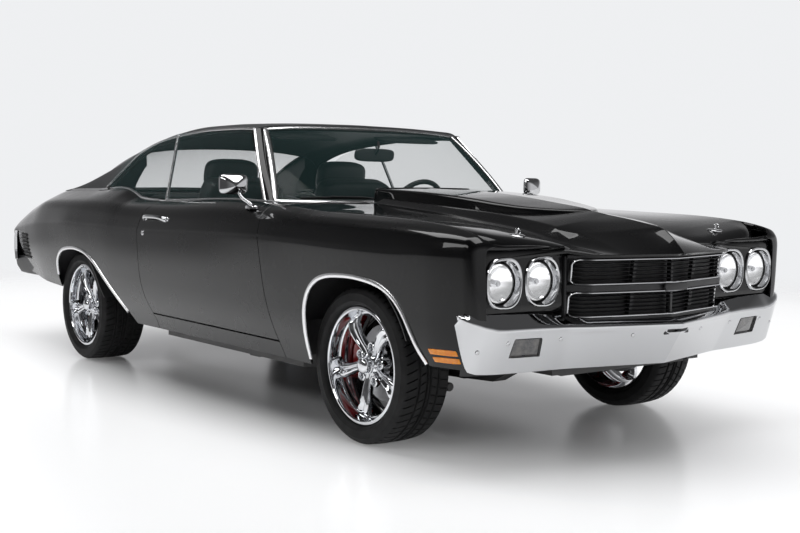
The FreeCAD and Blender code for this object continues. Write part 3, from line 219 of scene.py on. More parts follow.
@dataclass(frozen=True)
class Finish:
    """A surface finish: its shader numbers, its grain and how much it varies."""

    name: str
    slot: str
    colour: tuple[float, float, float]
    rough: float = 0.4
    metal: float = 0.0
    coat: float = 0.0
    coat_rough: float = 0.03
    coat_index: float = 1.5
    sheen: float = 0.0
    level: float = 0.5
    rough_swing: float = 0.06
    swing_scale: float = 7.0
    tint: tuple[float, float, float] | None = None
    tint_scale: float = 3.0
    grain: float = 0.0
    grain_scale: float = 900.0
    # Emission strength is painted light, not a lamp: only the lamp bowls use it, as painted
    # reflection.
    painted_glow: float = 0.0

    def colour_wire(self, tree: Tree, place: Wire) -> object:
        """Base colour, clouded with the tint where the finish has one."""
        if self.tint is None:
            return rgba(self.colour)
        cloud = tree.step(tree.noise(place, self.tint_scale, 4.0), 0.35, 0.7)
        return tree.blend(cloud, rgba(self.colour), rgba(self.tint))

    def rough_wire(self, tree: Tree, place: Wire) -> Wire:
        """Roughness with its slow swing."""
        swing = tree.noise(place, self.swing_scale, 3.0) - 0.5
        return swing * (2 * self.rough_swing) + self.rough

    def relief(self, tree: Tree, place: Wire) -> Wire | None:
        """Fine relief of the surface."""
        if not self.grain:
            return None
        return tree.bump(tree.noise(place, self.grain_scale, 2.0), self.grain * MM, 0.6)

    def sockets(self, tree: Tree, place: Wire) -> dict:
        """Inputs of the Principled shader.

        Args:
            tree: node tree to build in.
            place: position on the piece.

        Returns:
            Value or Wire by socket name.
        """
        inputs = {
            "Base Color": self.colour_wire(tree, place),
            "Roughness": self.rough_wire(tree, place),
            "Metallic": self.metal,
            "Coat Weight": self.coat,
            "Coat Roughness": self.coat_rough,
            "Coat IOR": self.coat_index,
            "Sheen Weight": self.sheen,
            "Specular IOR Level": self.level,
            "Emission Color": rgba(self.colour),
            "Emission Strength": self.painted_glow,
        }
        relief = self.relief(tree, place)
        if relief is not None:
            inputs["Normal"] = relief
        return inputs

    def material(self) -> bpy.types.Material:
        """Blender material of this finish, made once."""
        found = bpy.data.materials.get(self.name)
        if found is None:
            found = bpy.data.materials.new(self.name)
            tree = Tree(found)
            tree.finish(self.sockets(tree, tree.place()))
        return found


@dataclass(frozen=True)
class Glass(Finish):
    """Thin tinted glass: clear square on, reflecting at a glance."""

    clear: float = 0.2

    def sockets(self, tree: Tree, place: Wire) -> dict:
        """Add the opacity, which grows towards the edge of view."""
        inputs = super().sockets(tree, place)
        facing = tree.node("ShaderNodeLayerWeight", None, {"Blend": 0.5})
        glance = Wire(tree, facing.outputs["Facing"]).power(5.0)
        inputs["Alpha"] = glance * (0.75 - self.clear) + self.clear
        return inputs


@dataclass(frozen=True)
class Vinyl(Finish):
    """Grained roof cover with a fine levant pattern."""

    def relief(self, tree: Tree, place: Wire) -> Wire:
        """Pebbled grain over finer pores."""
        pebbles = tree.cells(place, 620.0, "SMOOTH_F1")
        return tree.bump(pebbles + tree.noise(place, 2600.0, 2.0) * 0.3, 0.0005, 0.7)


@dataclass(frozen=True)
class Leather(Finish):
    """Creased leather with small pores."""

    def relief(self, tree: Tree, place: Wire) -> Wire:
        """Fine creases and broad folds."""
        creases = tree.cells(place, 330.0, "DISTANCE_TO_EDGE").least(0.12) * 4.0
        return tree.bump(creases + tree.noise(place, 26.0, 4.0) * 0.8, 0.0006, 0.8)


@dataclass(frozen=True)
class Carpet(Finish):
    """Looped floor carpet."""

    def relief(self, tree: Tree, place: Wire) -> Wire:
        """Loops and tufts."""
        return tree.bump(tree.cells(place, 480.0), 0.0018, 1.0)


PAINT = Finish("gloss_black", "body_paint", (0.0022, 0.0022, 0.0025), 0.28, coat=1.0,
               coat_rough=0.01, coat_index=1.36, level=0.05, rough_swing=0.04, grain=0.02,
               grain_scale=150.0)
VINYL = Vinyl("vinyl_cover", "vinyl_roof", (0.021, 0.022, 0.024), 0.48, tint=(0.028, 0.029, 0.031))
CHROME = Finish("polished_chrome", "bright_trim", (0.58, 0.585, 0.597), 0.045, metal=1.0,
                rough_swing=0.02, swing_scale=11.0, grain=0.06, grain_scale=60.0)
MOULDING = Finish("bright_moulding", "bright_trim", (0.84, 0.84, 0.85), 0.24, metal=1.0,
                  rough_swing=0.03, swing_scale=9.0, grain=0.04, grain_scale=90.0)
# The unlit lamp bowls emit a little: painted reflection that stands in for the light they mirror.
REFLECTOR = Finish("lamp_reflector", "bright_trim", (0.95, 0.95, 0.96), 0.06, metal=1.0,
                   rough_swing=0.02, painted_glow=0.3)
WHEEL_CHROME = Finish("polished_wheel", "wheel_bright", (0.74, 0.75, 0.77), 0.06, metal=1.0,
                      rough_swing=0.03, swing_scale=14.0, grain=0.03, grain_scale=160.0)
SATIN = Finish("satin_black_paint", "satin_black", (0.012, 0.012, 0.013), 0.42, rough_swing=0.08,
               tint=(0.018, 0.018, 0.019), grain=0.08, grain_scale=500.0)
CHASSIS = Finish("chassis_black", "frame_black", (0.014, 0.014, 0.015), 0.36, rough_swing=0.1,
                 tint=(0.024, 0.023, 0.022), tint_scale=9.0, grain=0.25, grain_scale=220.0)
IRON = Finish("cast_iron_paint", "axle_iron", (0.05, 0.05, 0.052), 0.55, metal=0.5, rough_swing=0.1,
              tint=(0.075, 0.07, 0.066), tint_scale=14.0, grain=0.5, grain_scale=380.0)
PIPE = Finish("pipe_steel_worn", "pipe_steel", (0.3, 0.29, 0.28), 0.32, metal=1.0, rough_swing=0.12,
              tint=(0.2, 0.18, 0.16), tint_scale=6.0, grain=0.12, grain_scale=300.0)
TANK = Finish("tank_zinc", "tank_steel", (0.26, 0.26, 0.27), 0.42, metal=1.0, rough_swing=0.1,
              tint=(0.36, 0.36, 0.37), tint_scale=18.0, grain=0.1, grain_scale=240.0)
DISC = Finish("disc_steel", "axle_iron", (0.22, 0.22, 0.225), 0.28, metal=1.0, rough_swing=0.08,
              grain=0.05, grain_scale=900.0)
CALIPER = Finish("red_caliper", "axle_iron", (0.22, 0.005, 0.006), 0.3, coat=0.5, rough_swing=0.06,
                 grain=0.15, grain_scale=420.0)
LEATHER = Leather("black_leather", "seat_cloth", (0.011, 0.011, 0.012), 0.46, sheen=0.05,
                  tint=(0.018, 0.017, 0.017), rough_swing=0.1)
CABIN = Finish("grained_plastic", "cabin_plastic", (0.014, 0.014, 0.015), 0.5,
               tint=(0.02, 0.02, 0.021), rough_swing=0.07, grain=0.3, grain_scale=700.0)
CARPET = Carpet("black_carpet", "satin_black", (0.008, 0.008, 0.009), 0.9, sheen=0.2,
                tint=(0.016, 0.016, 0.017), tint_scale=40.0)
HEADLINER = Finish("headliner_cloth", "cabin_plastic", (0.02, 0.02, 0.021), 0.8, sheen=0.15,
                   tint=(0.028, 0.028, 0.029), grain=0.4, grain_scale=900.0)
RUBBER = Finish("tyre_black", "tyre_rubber", (0.008, 0.008, 0.0085), 0.6, level=0.25,
                tint=(0.013, 0.013, 0.0135), tint_scale=22.0, rough_swing=0.12, swing_scale=26.0,
                grain=0.18, grain_scale=800.0)
SEAL = Finish("seal_rubber", "cabin_plastic", (0.007, 0.007, 0.007), 0.55, grain=0.1,
              rough_swing=0.08)
WINDOW = Glass("tinted_glass", "clear_glass", (0.05, 0.1, 0.1), 0.02, level=0.5, clear=0.08,
               rough_swing=0.008)
LENS = Glass("fluted_lens", "lamp_glass", (0.9, 0.93, 0.95), 0.04, clear=0.1, rough_swing=0.01)
SMOKED = Finish("smoked_lamp", "smoked_lens", (0.035, 0.035, 0.038), 0.08, coat=1.0,
                rough_swing=0.02, tint=(0.09, 0.085, 0.08), tint_scale=30.0)
AMBER = Finish("amber_lens", "red_lens", (0.72, 0.2, 0.0), 0.15, coat=0.6, level=0.3,
               tint=(0.8, 0.27, 0.004), tint_scale=60.0)
RED = Finish("red_lamp", "red_lens", (0.32, 0.008, 0.01), 0.12, coat=1.0, tint=(0.5, 0.02, 0.02),
             tint_scale=50.0)


# ---------------------------------------------------------------- shapes
Keep = Callable[[np.ndarray], np.ndarray]


def unit(vectors: np.ndarray) -> np.ndarray:
    """Vectors scaled to length one."""
    size = np.linalg.norm(vectors, axis=-1, keepdims=True)
    return vectors / np.maximum(size, 1e-9)


@dataclass
class Shape:
    """Points in millimetres and their faces, with normals where the maker knows them."""

    points: np.ndarray
    faces: list[tuple[int, ...]]
    normals: np.ndarray | None = None

    def __add__(self, other: "Shape") -> "Shape":
        """Both shapes as one; normals stay only if both have them."""
        start = len(self.points)
        faces = self.faces + [tuple(i + start for i in face) for face in other.faces]
        both = self.normals is not None and other.normals is not None
        normals = np.vstack([self.normals, other.normals]) if both else None
        return Shape(np.vstack([self.points, other.points]), faces, normals)

    def moved(self, x: float = 0.0, y: float = 0.0, z: float = 0.0) -> "Shape":
        """Shape shifted by a distance."""
        return Shape(self.points + np.array([x, y, z]), self.faces, self.normals)

    def turned(self, matrix: np.ndarray) -> "Shape":
        """Shape turned about the origin by a 3 x 3 matrix."""
        normals = None if self.normals is None else self.normals @ matrix.T
        return Shape(self.points @ matrix.T, self.faces, normals)

    def flipped(self) -> "Shape":
        """Mirror image on the other side of the car."""
        sign = np.array([1.0, -1.0, 1.0])
        normals = None if self.normals is None else self.normals * sign
        return Shape(self.points * sign, [face[::-1] for face in self.faces], normals)

    def reversed(self) -> "Shape":
        """Same points with faces turned over."""
        normals = None if self.normals is None else -self.normals
        return Shape(self.points, [face[::-1] for face in self.faces], normals)


def both_sides(shape: Shape) -> Shape:
    """A shape and its mirror image."""
    return shape + shape.flipped()


def around(count: int) -> np.ndarray:
    """Evenly spaced angles of a full circle."""
    return np.linspace(0, 2 * math.pi, count, endpoint=False)


def squared(angle: float, power: float) -> tuple[float, float]:
    """Cosine and sine on a squared circle, squarer for a higher power."""
    c, s = math.cos(angle), math.sin(angle)
    grow = (abs(c) ** power + abs(s) ** power) ** (-1 / power)
    return c * grow, s * grow


def column(rows: Sequence[tuple], k: int) -> list[float]:
    """One column of a table."""
    return [row[k] for row in rows]


def at_stations(stations: np.ndarray, flat: np.ndarray) -> np.ndarray:
    """Sections of (y, z) stood at their stations, as a grid of points."""
    xs = np.broadcast_to(stations[:, None], flat.shape[:2])
    return np.concatenate([xs[..., None], flat], axis=2)


def shrunk(loop: np.ndarray, size: float) -> np.ndarray:
    """Loop scaled about its middle."""
    centre = loop.mean(axis=0)
    return centre + (loop - centre) * size


def outward(shape: Shape) -> Shape:
    """The shape, turned over if most of its faces look towards its middle."""
    middle = shape.points.mean(axis=0)
    score = 0.0
    for face in shape.faces[::7]:
        a, b, c = (shape.points[i] for i in face[:3])
        score += float(np.cross(b - a, c - a) @ ((a + b + c) / 3 - middle))
    return shape.reversed() if score < 0 else shape


def facing_out(shape: Shape) -> Shape:
    """The shape, turned over if its last face looks towards the car's middle plane."""
    a, b, c = (shape.points[i] for i in shape.faces[-1][:3])
    away = np.cross(b - a, c - a)[1] * np.sign(shape.points[:, 1].mean())
    return shape.reversed() if away < 0 else shape


def total(shapes: Iterable[Shape]) -> Shape:
    """All shapes as one."""
    shapes = list(shapes)
    result = shapes[0]
    for shape in shapes[1:]:
        result = result + shape
    return result


def spin(axis: Sequence[float], angle: float) -> np.ndarray:
    """Rotation matrix about an axis through the origin, angle in radians."""
    return np.array(Matrix.Rotation(angle, 3, Vector(axis)))


def grid_shape(grid: np.ndarray | Sequence, wrap: bool = False, cap: bool = False,
               wrap_rows: bool = False) -> Shape:
    """Faces over a grid of points.

    Args:
        grid: rows x columns x 3 points.
        wrap: whether each row closes on itself.
        cap: whether the first and last rows are filled.
        wrap_rows: whether the last row joins the first.

    Returns:
        The surface.
    """
    grid = np.asarray(grid, float)
    rows, columns = grid.shape[:2]
    faces = []
    for i in range(rows if wrap_rows else rows - 1):
        below = i * columns
        above = ((i + 1) % rows) * columns
        for j in range(columns if wrap else columns - 1):
            k = (j + 1) % columns
            faces.append((below + j, below + k, above + k, above + j))
    if cap:
        faces.append(tuple(range(columns))[::-1])
        faces.append(tuple(range((rows - 1) * columns, rows * columns)))
    return Shape(grid.reshape(-1, 3), faces)


def fair(xs: np.ndarray, knots: Sequence[float], values: Sequence[float],
         spread: float = 45.0) -> np.ndarray:
    """Smooth curve through a table.

    Args:
        xs: stations to evaluate.
        knots: stations of the table, in any order.
        values: table values at the knots.
        spread: smoothing length along the stations.

    Returns:
        Values at xs.
    """
    order = np.argsort(knots)
    kx = np.array(knots, float)[order]
    kv = np.array(values, float)[order]
    if len(kx) == 1:
        return np.full(len(xs), kv[0])
    slope = np.diff(kv) / np.diff(kx)
    tangent = np.empty(len(kx))
    tangent[0], tangent[-1] = slope[0], slope[-1]
    product = slope[:-1] * slope[1:]
    mean = 2 * product / np.where(slope[:-1] + slope[1:] == 0, 1.0, slope[:-1] + slope[1:])
    tangent[1:-1] = np.where(product > 0, mean, 0.0)
    taps = np.linspace(-2, 2, 9) if spread else np.zeros(1)
    weight = np.exp(-taps ** 2)
    result = np.zeros(np.shape(xs))
    for tap, share in zip(taps, weight / weight.sum()):
        at = np.asarray(xs, float) + tap * spread * 0.7
        i = np.clip(np.searchsorted(kx, at) - 1, 0, len(kx) - 2)
        span = kx[i + 1] - kx[i]
        t = (at - kx[i]) / span
        inside = np.clip(t, 0, 1)
        h = ((1 + 2 * inside) * (1 - inside) ** 2 * kv[i]
             + inside * (1 - inside) ** 2 * span * tangent[i]
             + inside ** 2 * (3 - 2 * inside) * kv[i + 1]
             + inside ** 2 * (inside - 1) * span * tangent[i + 1])
        beyond = (t - inside) * span * np.where(t > 1, tangent[i + 1], tangent[i])
        result += share * (h + beyond)
    return result


def rounded(controls: np.ndarray, radii: Sequence[float], spans: Sequence[int],
            arc: int = 8) -> np.ndarray:
    """Sections through control points with each inner corner rounded.

    Args:
        controls: stations x corners x coordinates.
        radii: rounding length at each inner corner.
        spans: pieces in each straight run.
        arc: pieces in each rounded corner.

    Returns:
        stations x samples x coordinates.
    """
    columns = []
    start = controls[:, 0]
    for k in range(1, controls.shape[1] - 1):
        before, corner, after = controls[:, k - 1], controls[:, k], controls[:, k + 1]
        back = np.linalg.norm(before - corner, axis=1, keepdims=True)
        ahead = np.linalg.norm(after - corner, axis=1, keepdims=True)
        enter = (corner + (before - corner) / np.maximum(back, 1e-6)
                 * np.minimum(radii[k - 1], back * 0.48))
        leave = (corner + (after - corner) / np.maximum(ahead, 1e-6)
                 * np.minimum(radii[k - 1], ahead * 0.48))
        columns += [start + (enter - start) * t
                    for t in np.linspace(0, 1, spans[k - 1], endpoint=False)]
        for t in np.linspace(0, 1, arc, endpoint=False):
            columns.append(enter * (1 - t) ** 2 + corner * 2 * t * (1 - t) + leave * t ** 2)
        start = leave
    end = controls[:, -1]
    columns += [start + (end - start) * t for t in np.linspace(0, 1, spans[-1] + 1)]
    return np.stack(columns, axis=1)


def dense(points: Sequence[Sequence[float]], step: float, spread: float = 0.0) -> np.ndarray:
    """Evenly spaced points along a path, optionally softened.

    Args:
        points: corners of the path.
        step: spacing.
        spread: length over which corners are softened.

    Returns:
        Samples along the path.
    """
    points = np.array(points, float)
    along = np.concatenate([[0], np.cumsum(np.linalg.norm(np.diff(points, axis=0), axis=1))])
    count = max(2, int(round(along[-1] / step)) + 1)
    at = np.linspace(0, along[-1], count)
    if spread:
        return np.stack([fair(at, along, points[:, k], spread)
                         for k in range(points.shape[1])], axis=1)
    return np.stack([np.interp(at, along, points[:, k]) for k in range(points.shape[1])], axis=1)


def sweep(path: np.ndarray, out: Sequence[float] | np.ndarray, profile: Sequence[Sequence[float]],
          closed: bool = False) -> Shape:
    """Section carried along a path.

    Args:
        path: points of the path.
        out: direction away from the surface, one for all or one a point.
        profile: closed loop of (across, outward) offsets.
        closed: whether the path is a ring.

    Returns:
        The swept strip, its ends filled if the path is open.
    """
    if closed:
        along = np.roll(path, -1, axis=0) - np.roll(path, 1, axis=0)
    else:
        along = np.gradient(path, axis=0)
    along = unit(along)
    across = unit(np.cross(np.broadcast_to(np.array(out, float), along.shape), along))
    out = unit(np.cross(along, across))
    grid = np.stack([path + across * a + out * o for a, o in profile], axis=1)
    return grid_shape(grid, wrap=True, cap=not closed, wrap_rows=closed).reversed()


def half_round(width: float, height: float, pieces: int = 7,
               sink: float = 2.0) -> list[tuple[float, float]]:
    """Profile of a moulding: a low arch on a flat foot."""
    ring = [(width / 2 * math.cos(a), height * math.sin(a) ** 0.7 if a % math.pi else 0.0)
            for a in np.linspace(0, math.pi, pieces)]
    return ring + [(-width / 2, -sink), (width / 2, -sink)]


def tube(path: np.ndarray, radius: float | Sequence[float], sides: int = 12) -> Shape:
    """Round bar along a path, with a radius that may vary."""
    path = np.array(path, float)
    along = unit(np.gradient(path, axis=0))
    helper = np.array([0.0, 0.0, 1.0])
    if abs(along[0] @ helper) > 0.9:
        helper = np.array([0.0, 1.0, 0.0])
    side = unit(np.cross(along, helper))
    up = np.cross(side, along)
    sizes = np.broadcast_to(np.asarray(radius, float), (len(path),))
    rings = []
    for angle in around(sides):
        rings.append(path + (side * math.cos(angle) + up * math.sin(angle)) * sizes[:, None])
    return grid_shape(np.stack(rings, axis=1), wrap=True, cap=True)


def turn(profile: Sequence[Sequence[float]], centre: Sequence[float],
         axis: Sequence[float] = (0, 1, 0), steps: int = 48, cap: bool = True) -> Shape:
    """Profile of (radius, distance along the axis) turned about an axis."""
    axis = unit(np.array(axis, float))
    helper = np.array([1.0, 0.0, 0.0]) if abs(axis[0]) < 0.9 else np.array([0.0, 0.0, 1.0])
    side = unit(np.cross(axis, helper))
    up = np.cross(side, axis)
    angles = around(steps)
    ring = np.cos(angles)[:, None] * side + np.sin(angles)[:, None] * up
    grid = np.stack([np.array(centre, float) + axis * d + ring * r for r, d in profile])
    return grid_shape(grid, wrap=True, cap=cap and profile[0][0] > 1e-2 and profile[-1][0] > 1e-2)


def box(low: Sequence[float], high: Sequence[float], soften: float = 2.0, pieces: int = 2) -> Shape:
    """Block with softened edges."""
    mesh = bmesh.new()
    bmesh.ops.create_cube(mesh, size=1.0)
    low, high = np.array(low, float), np.array(high, float)
    for vert in mesh.verts:
        vert.co = Vector((low + high) / 2 + np.array(vert.co) * (high - low))
    if soften:
        bmesh.ops.bevel(mesh, geom=mesh.edges[:], offset=soften, segments=pieces, profile=0.5,
                        affect="EDGES", clamp_overlap=True)
    return from_bmesh(mesh)


def from_bmesh(mesh: bmesh.types.BMesh) -> Shape:
    """Shape of a BMesh, which is freed."""
    mesh.verts.index_update()
    points = np.array([vert.co for vert in mesh.verts], float).reshape(-1, 3)
    faces = [tuple(vert.index for vert in face.verts) for face in mesh.faces]
    mesh.free()
    return Shape(points, faces)


def slab(outline: Sequence[Sequence[float]], thick: float, soften: float = 1.5) -> Shape:
    """Plate standing on the XY plane with softened upper edge.

    Args:
        outline: (x, y) points round the plate, anticlockwise.
        thick: height of the plate.
        soften: size of the rounded upper edge.

    Returns:
        The plate, open underneath.
    """
    loop = np.array(outline, float)[:, :2]
    ahead = unit(np.roll(loop, -1, axis=0) - loop)
    behind = unit(loop - np.roll(loop, 1, axis=0))
    inward = unit(np.stack([-(ahead + behind)[:, 1], (ahead + behind)[:, 0]], axis=1))
    rings = []
    for inset, z in ((0, 0), (0, thick - soften), (soften * 0.3, thick - soften * 0.3),
                     (soften, thick)):
        ring = loop + inward * inset
        rings.append(np.column_stack([ring, np.full(len(ring), z)]))
    shape = grid_shape(np.stack(rings), wrap=True)
    top = len(rings) - 1
    flat = [Vector((x, y, 0)) for x, y, _ in rings[-1]]
    count = len(loop)
    faces = [tuple(i + top * count for i in tri) for tri in tessellate_polygon([flat])]
    normals = [np.cross(rings[-1][b % count] - rings[-1][a % count],
                        rings[-1][c % count] - rings[-1][a % count])[2]
               for a, b, c in faces]
    if sum(normals) < 0:
        faces = [face[::-1] for face in faces]
    return Shape(shape.points, shape.faces + faces)


# ---------------------------------------------------------------- skins
@dataclass
class Skin:
    """A fine open surface that is clipped by curves and then given folded edges."""

    points: np.ndarray
    normals: np.ndarray
    faces: list[tuple[int, ...]]

    @classmethod
    def over(cls, grid: np.ndarray, flip: bool = False) -> "Skin":
        """Skin over a grid of points, its normals taken from the grid."""
        across = np.gradient(grid, axis=1)
        normals = unit(np.cross(np.gradient(grid, axis=0), across))
        shape = grid_shape(grid)
        if flip:
            return cls(shape.points, -normals.reshape(-1, 3), shape.faces)
        return cls(shape.points, normals.reshape(-1, 3), [face[::-1] for face in shape.faces][::-1])

    @classmethod
    def facing(cls, grid: np.ndarray, axis: int, sign: float = 1.0) -> "Skin":
        """Skin over a grid, its normals along an axis or against it for a negative sign."""
        skin = cls.over(grid)
        return skin if skin.normals[:, axis].mean() * sign > 0 else cls.over(grid, flip=True)

    def clip(self, keep: Keep) -> "Skin":
        """Cut away the part where keep is negative.

        Args:
            keep: signed distance of each point, positive where metal stays.

        Returns:
            The skin that is left.
        """
        depth = keep(self.points)
        depth = np.where(np.abs(depth) < 1e-4, 1e-4, depth)
        points, normals, faces = list(self.points), list(self.normals), []
        cuts: dict[tuple[int, int], int] = {}
        stays = depth > 0
        for face in self.faces:
            inside = [stays[i] for i in face]
            if all(inside):
                faces.append(face)
                continue
            if not any(inside):
                continue
            ring = []
            for a, b in zip(face, face[1:] + face[:1]):
                if stays[a]:
                    ring.append(a)
                if stays[a] != stays[b]:
                    key = (min(a, b), max(a, b))
                    if key not in cuts:
                        t = depth[key[0]] / (depth[key[0]] - depth[key[1]])
                        cuts[key] = len(points)
                        points.append(self.points[key[0]] * (1 - t) + self.points[key[1]] * t)
                        normals.append(self.normals[key[0]] * (1 - t) + self.normals[key[1]] * t)
                    ring.append(cuts[key])
            if len(ring) > 2:
                faces.append(tuple(ring))
        used = sorted({i for face in faces for i in face})
        number = {old: new for new, old in enumerate(used)}
        faces = [tuple(number[i] for i in face) for face in faces]
        return Skin(np.array(points)[used], unit(np.array(normals)[used]), faces)

    def rim(self) -> list[tuple[int, int]]:
        """Boundary edges, in the direction of their faces."""
        seen: dict[tuple[int, int], int] = {}
        for face in self.faces:
            for a, b in zip(face, face[1:] + face[:1]):
                seen[(a, b)] = 1
        return [(a, b) for a, b in seen if (b, a) not in seen]

    def shell(self, wall: float = 10.0, roll: float = 2.0) -> Shape:
        """Skin with rolled edges and, behind it, its lining.

        Args:
            wall: depth of the fold behind the skin.
            roll: radius of the rolled edge.

        Returns:
            The panel.
        """
        edges = self.rim()
        out = np.zeros_like(self.points)
        for a, b in edges:
            away = np.cross(self.points[b] - self.points[a], self.normals[a] + self.normals[b])
            size = np.linalg.norm(away)
            if size > 1e-9:
                out[a] += away / size
                out[b] += away / size
        ids = sorted({i for edge in edges for i in edge})
        place = {old: new for new, old in enumerate(ids)}
        base, normal = self.points[ids], self.normals[ids]
        away = unit(out[ids])
        rings, turns = [], []
        for angle in (0.0, 30.0, 60.0, 90.0):
            c, s = math.cos(math.radians(angle)), math.sin(math.radians(angle))
            rings.append(base + away * roll * s - normal * roll * (1 - c))
            turns.append(normal * c + away * s)
        rings.append(base + away * roll - normal * wall)
        turns.append(away)
        start = len(self.points)
        count = len(ids)
        faces = list(self.faces)
        for level in range(len(rings) - 1):
            for a, b in edges:
                low = [start + level * count + place[i] for i in (a, b)]
                high = [start + (level + 1) * count + place[i] for i in (a, b)]
                faces.append((low[1], low[0], high[0], high[1]))
        points = np.vstack([self.points] + rings)
        normals = np.vstack([self.normals] + turns)
        back = Shape(self.points - self.normals * wall, [face[::-1] for face in self.faces],
                     -self.normals)
        shape = Shape(points, faces, normals) + back
        last = start + (len(rings) - 1) * count
        offset = len(points)
        for a, b in edges:
            shape.faces.append((last + place[b], last + place[a], offset + a, offset + b))
        return shape


def beyond(curve: Sequence[Sequence[float]], gap: float, ahead: bool) -> Keep:
    """Keep the side of a near-upright (x, z) curve, ahead of it or behind it."""
    zs, xs = zip(*sorted((z, x) for x, z in curve))
    sign = 1.0 if ahead else -1.0
    return lambda p: (p[:, 0] - np.interp(p[:, 2], zs, xs)) * sign - gap


def above(curve: Sequence[Sequence[float]], gap: float, sign: float = 1.0) -> Keep:
    """Keep what is above a near-level (x, z) curve, or below it for a negative sign."""
    xs, zs = zip(*sorted(curve))
    return lambda p: (p[:, 2] - np.interp(p[:, 0], xs, zs)) * sign - gap


def outside(loop: Sequence[Sequence[float]], axes: tuple[int, int] = (0, 2)) -> Keep:
    """Keep what is outside a closed loop.

    Args:
        loop: corners in the plane of axes.
        axes: which coordinates the loop is given in.

    Returns:
        The test for a skin's points.
    """
    corners = np.array(loop, float)
    ahead = np.roll(corners, -1, axis=0)

    def keep(points: np.ndarray) -> np.ndarray:
        """Distance to the loop with its sign."""
        flat = points[:, list(axes)]
        best = np.full(len(flat), 1e9)
        inside = np.zeros(len(flat), bool)
        for a, b in zip(corners, ahead):
            run = b - a
            t = np.clip(((flat - a) @ run) / max(run @ run, 1e-9), 0, 1)
            best = np.minimum(best, np.linalg.norm(flat - a - t[:, None] * run, axis=1))
            crosses = (a[1] > flat[:, 1]) != (b[1] > flat[:, 1])
            rise = b[1] - a[1] if abs(b[1] - a[1]) > 1e-9 else 1e-9
            inside ^= crosses & (flat[:, 0] < a[0] + run[0] * (flat[:, 1] - a[1]) / rise)
        return np.where(inside, -best, best)

    return keep


# ---------------------------------------------------------------- pieces
@dataclass
class Car:
    """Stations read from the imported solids, and the maker of every piece."""

    frame: dict
    count: int = 0

    def __post_init__(self) -> None:
        """Read the axles and the width from the frame."""
        low, high = self.size("tyre_front_left")
        self.front_x = (low[0] + high[0]) / 2
        low, high = self.size("tyre_rear_left")
        self.rear_x = (low[0] + high[0]) / 2
        self.half = self.size("fender_left")[1][1]

    def size(self, node: str) -> tuple[np.ndarray, np.ndarray]:
        """Lowest and highest corners of a solid, in millimetres."""
        low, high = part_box(node)
        return np.array(low) / MM, np.array(high) / MM

    def add(self, name: str, shape: Shape, finish: Finish, body: str = "body_shell",
            replaces: Sequence[str] = ()) -> bpy.types.Object:
        """Make one piece.

        Args:
            name: the piece's name.
            shape: its mesh in millimetres.
            finish: its surface.
            body: the solid body that it rides on.
            replaces: solids that it stands for.

        Returns:
            The new object.
        """
        mesh = bpy.data.meshes.new(name)
        mesh.from_pydata((shape.points * MM).tolist(), [], shape.faces)
        mesh.update()
        mesh.materials.append(finish.material())
        mesh.shade_smooth()
        if shape.normals is not None:
            mesh.normals_split_custom_set_from_vertices(unit(shape.normals).tolist())
        else:
            mesh.set_sharp_from_angle(angle=SMOOTH_ANGLE)
        piece = bpy.data.objects.new(name, mesh)
        bpy.context.scene.collection.objects.link(piece)
        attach(piece, body)
        if replaces:
            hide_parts(*replaces)
        self.count += 1
        LOG.info("%s on %s: %d faces", name, body, len(shape.faces))
        return piece

    def pair(self, name: str, shape: Shape, finish: Finish, body: str = "body_shell",
             replaces: str = "") -> None:
        """Make a left piece and its mirror image on the right."""
        for side, half in (("left", shape), ("right", shape.flipped())):
            rides = body if body == "body_shell" else f"{body}_{side}"
            stands = (f"{replaces}_{side}",) if replaces else ()
            self.add(f"{name}_{side}", half, finish, rides, stands)

    def dress(self, finish: Finish, *nodes: str) -> None:
        """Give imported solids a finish."""
        for node in nodes:
            mesh = self.frame["nodes"][node].data
            mesh.materials.clear()
            mesh.materials.append(finish.material())
            mesh.shade_smooth()
            mesh.set_sharp_from_angle(angle=SMOOTH_ANGLE)
            LOG.info("%s dressed in %s", node, finish.name)


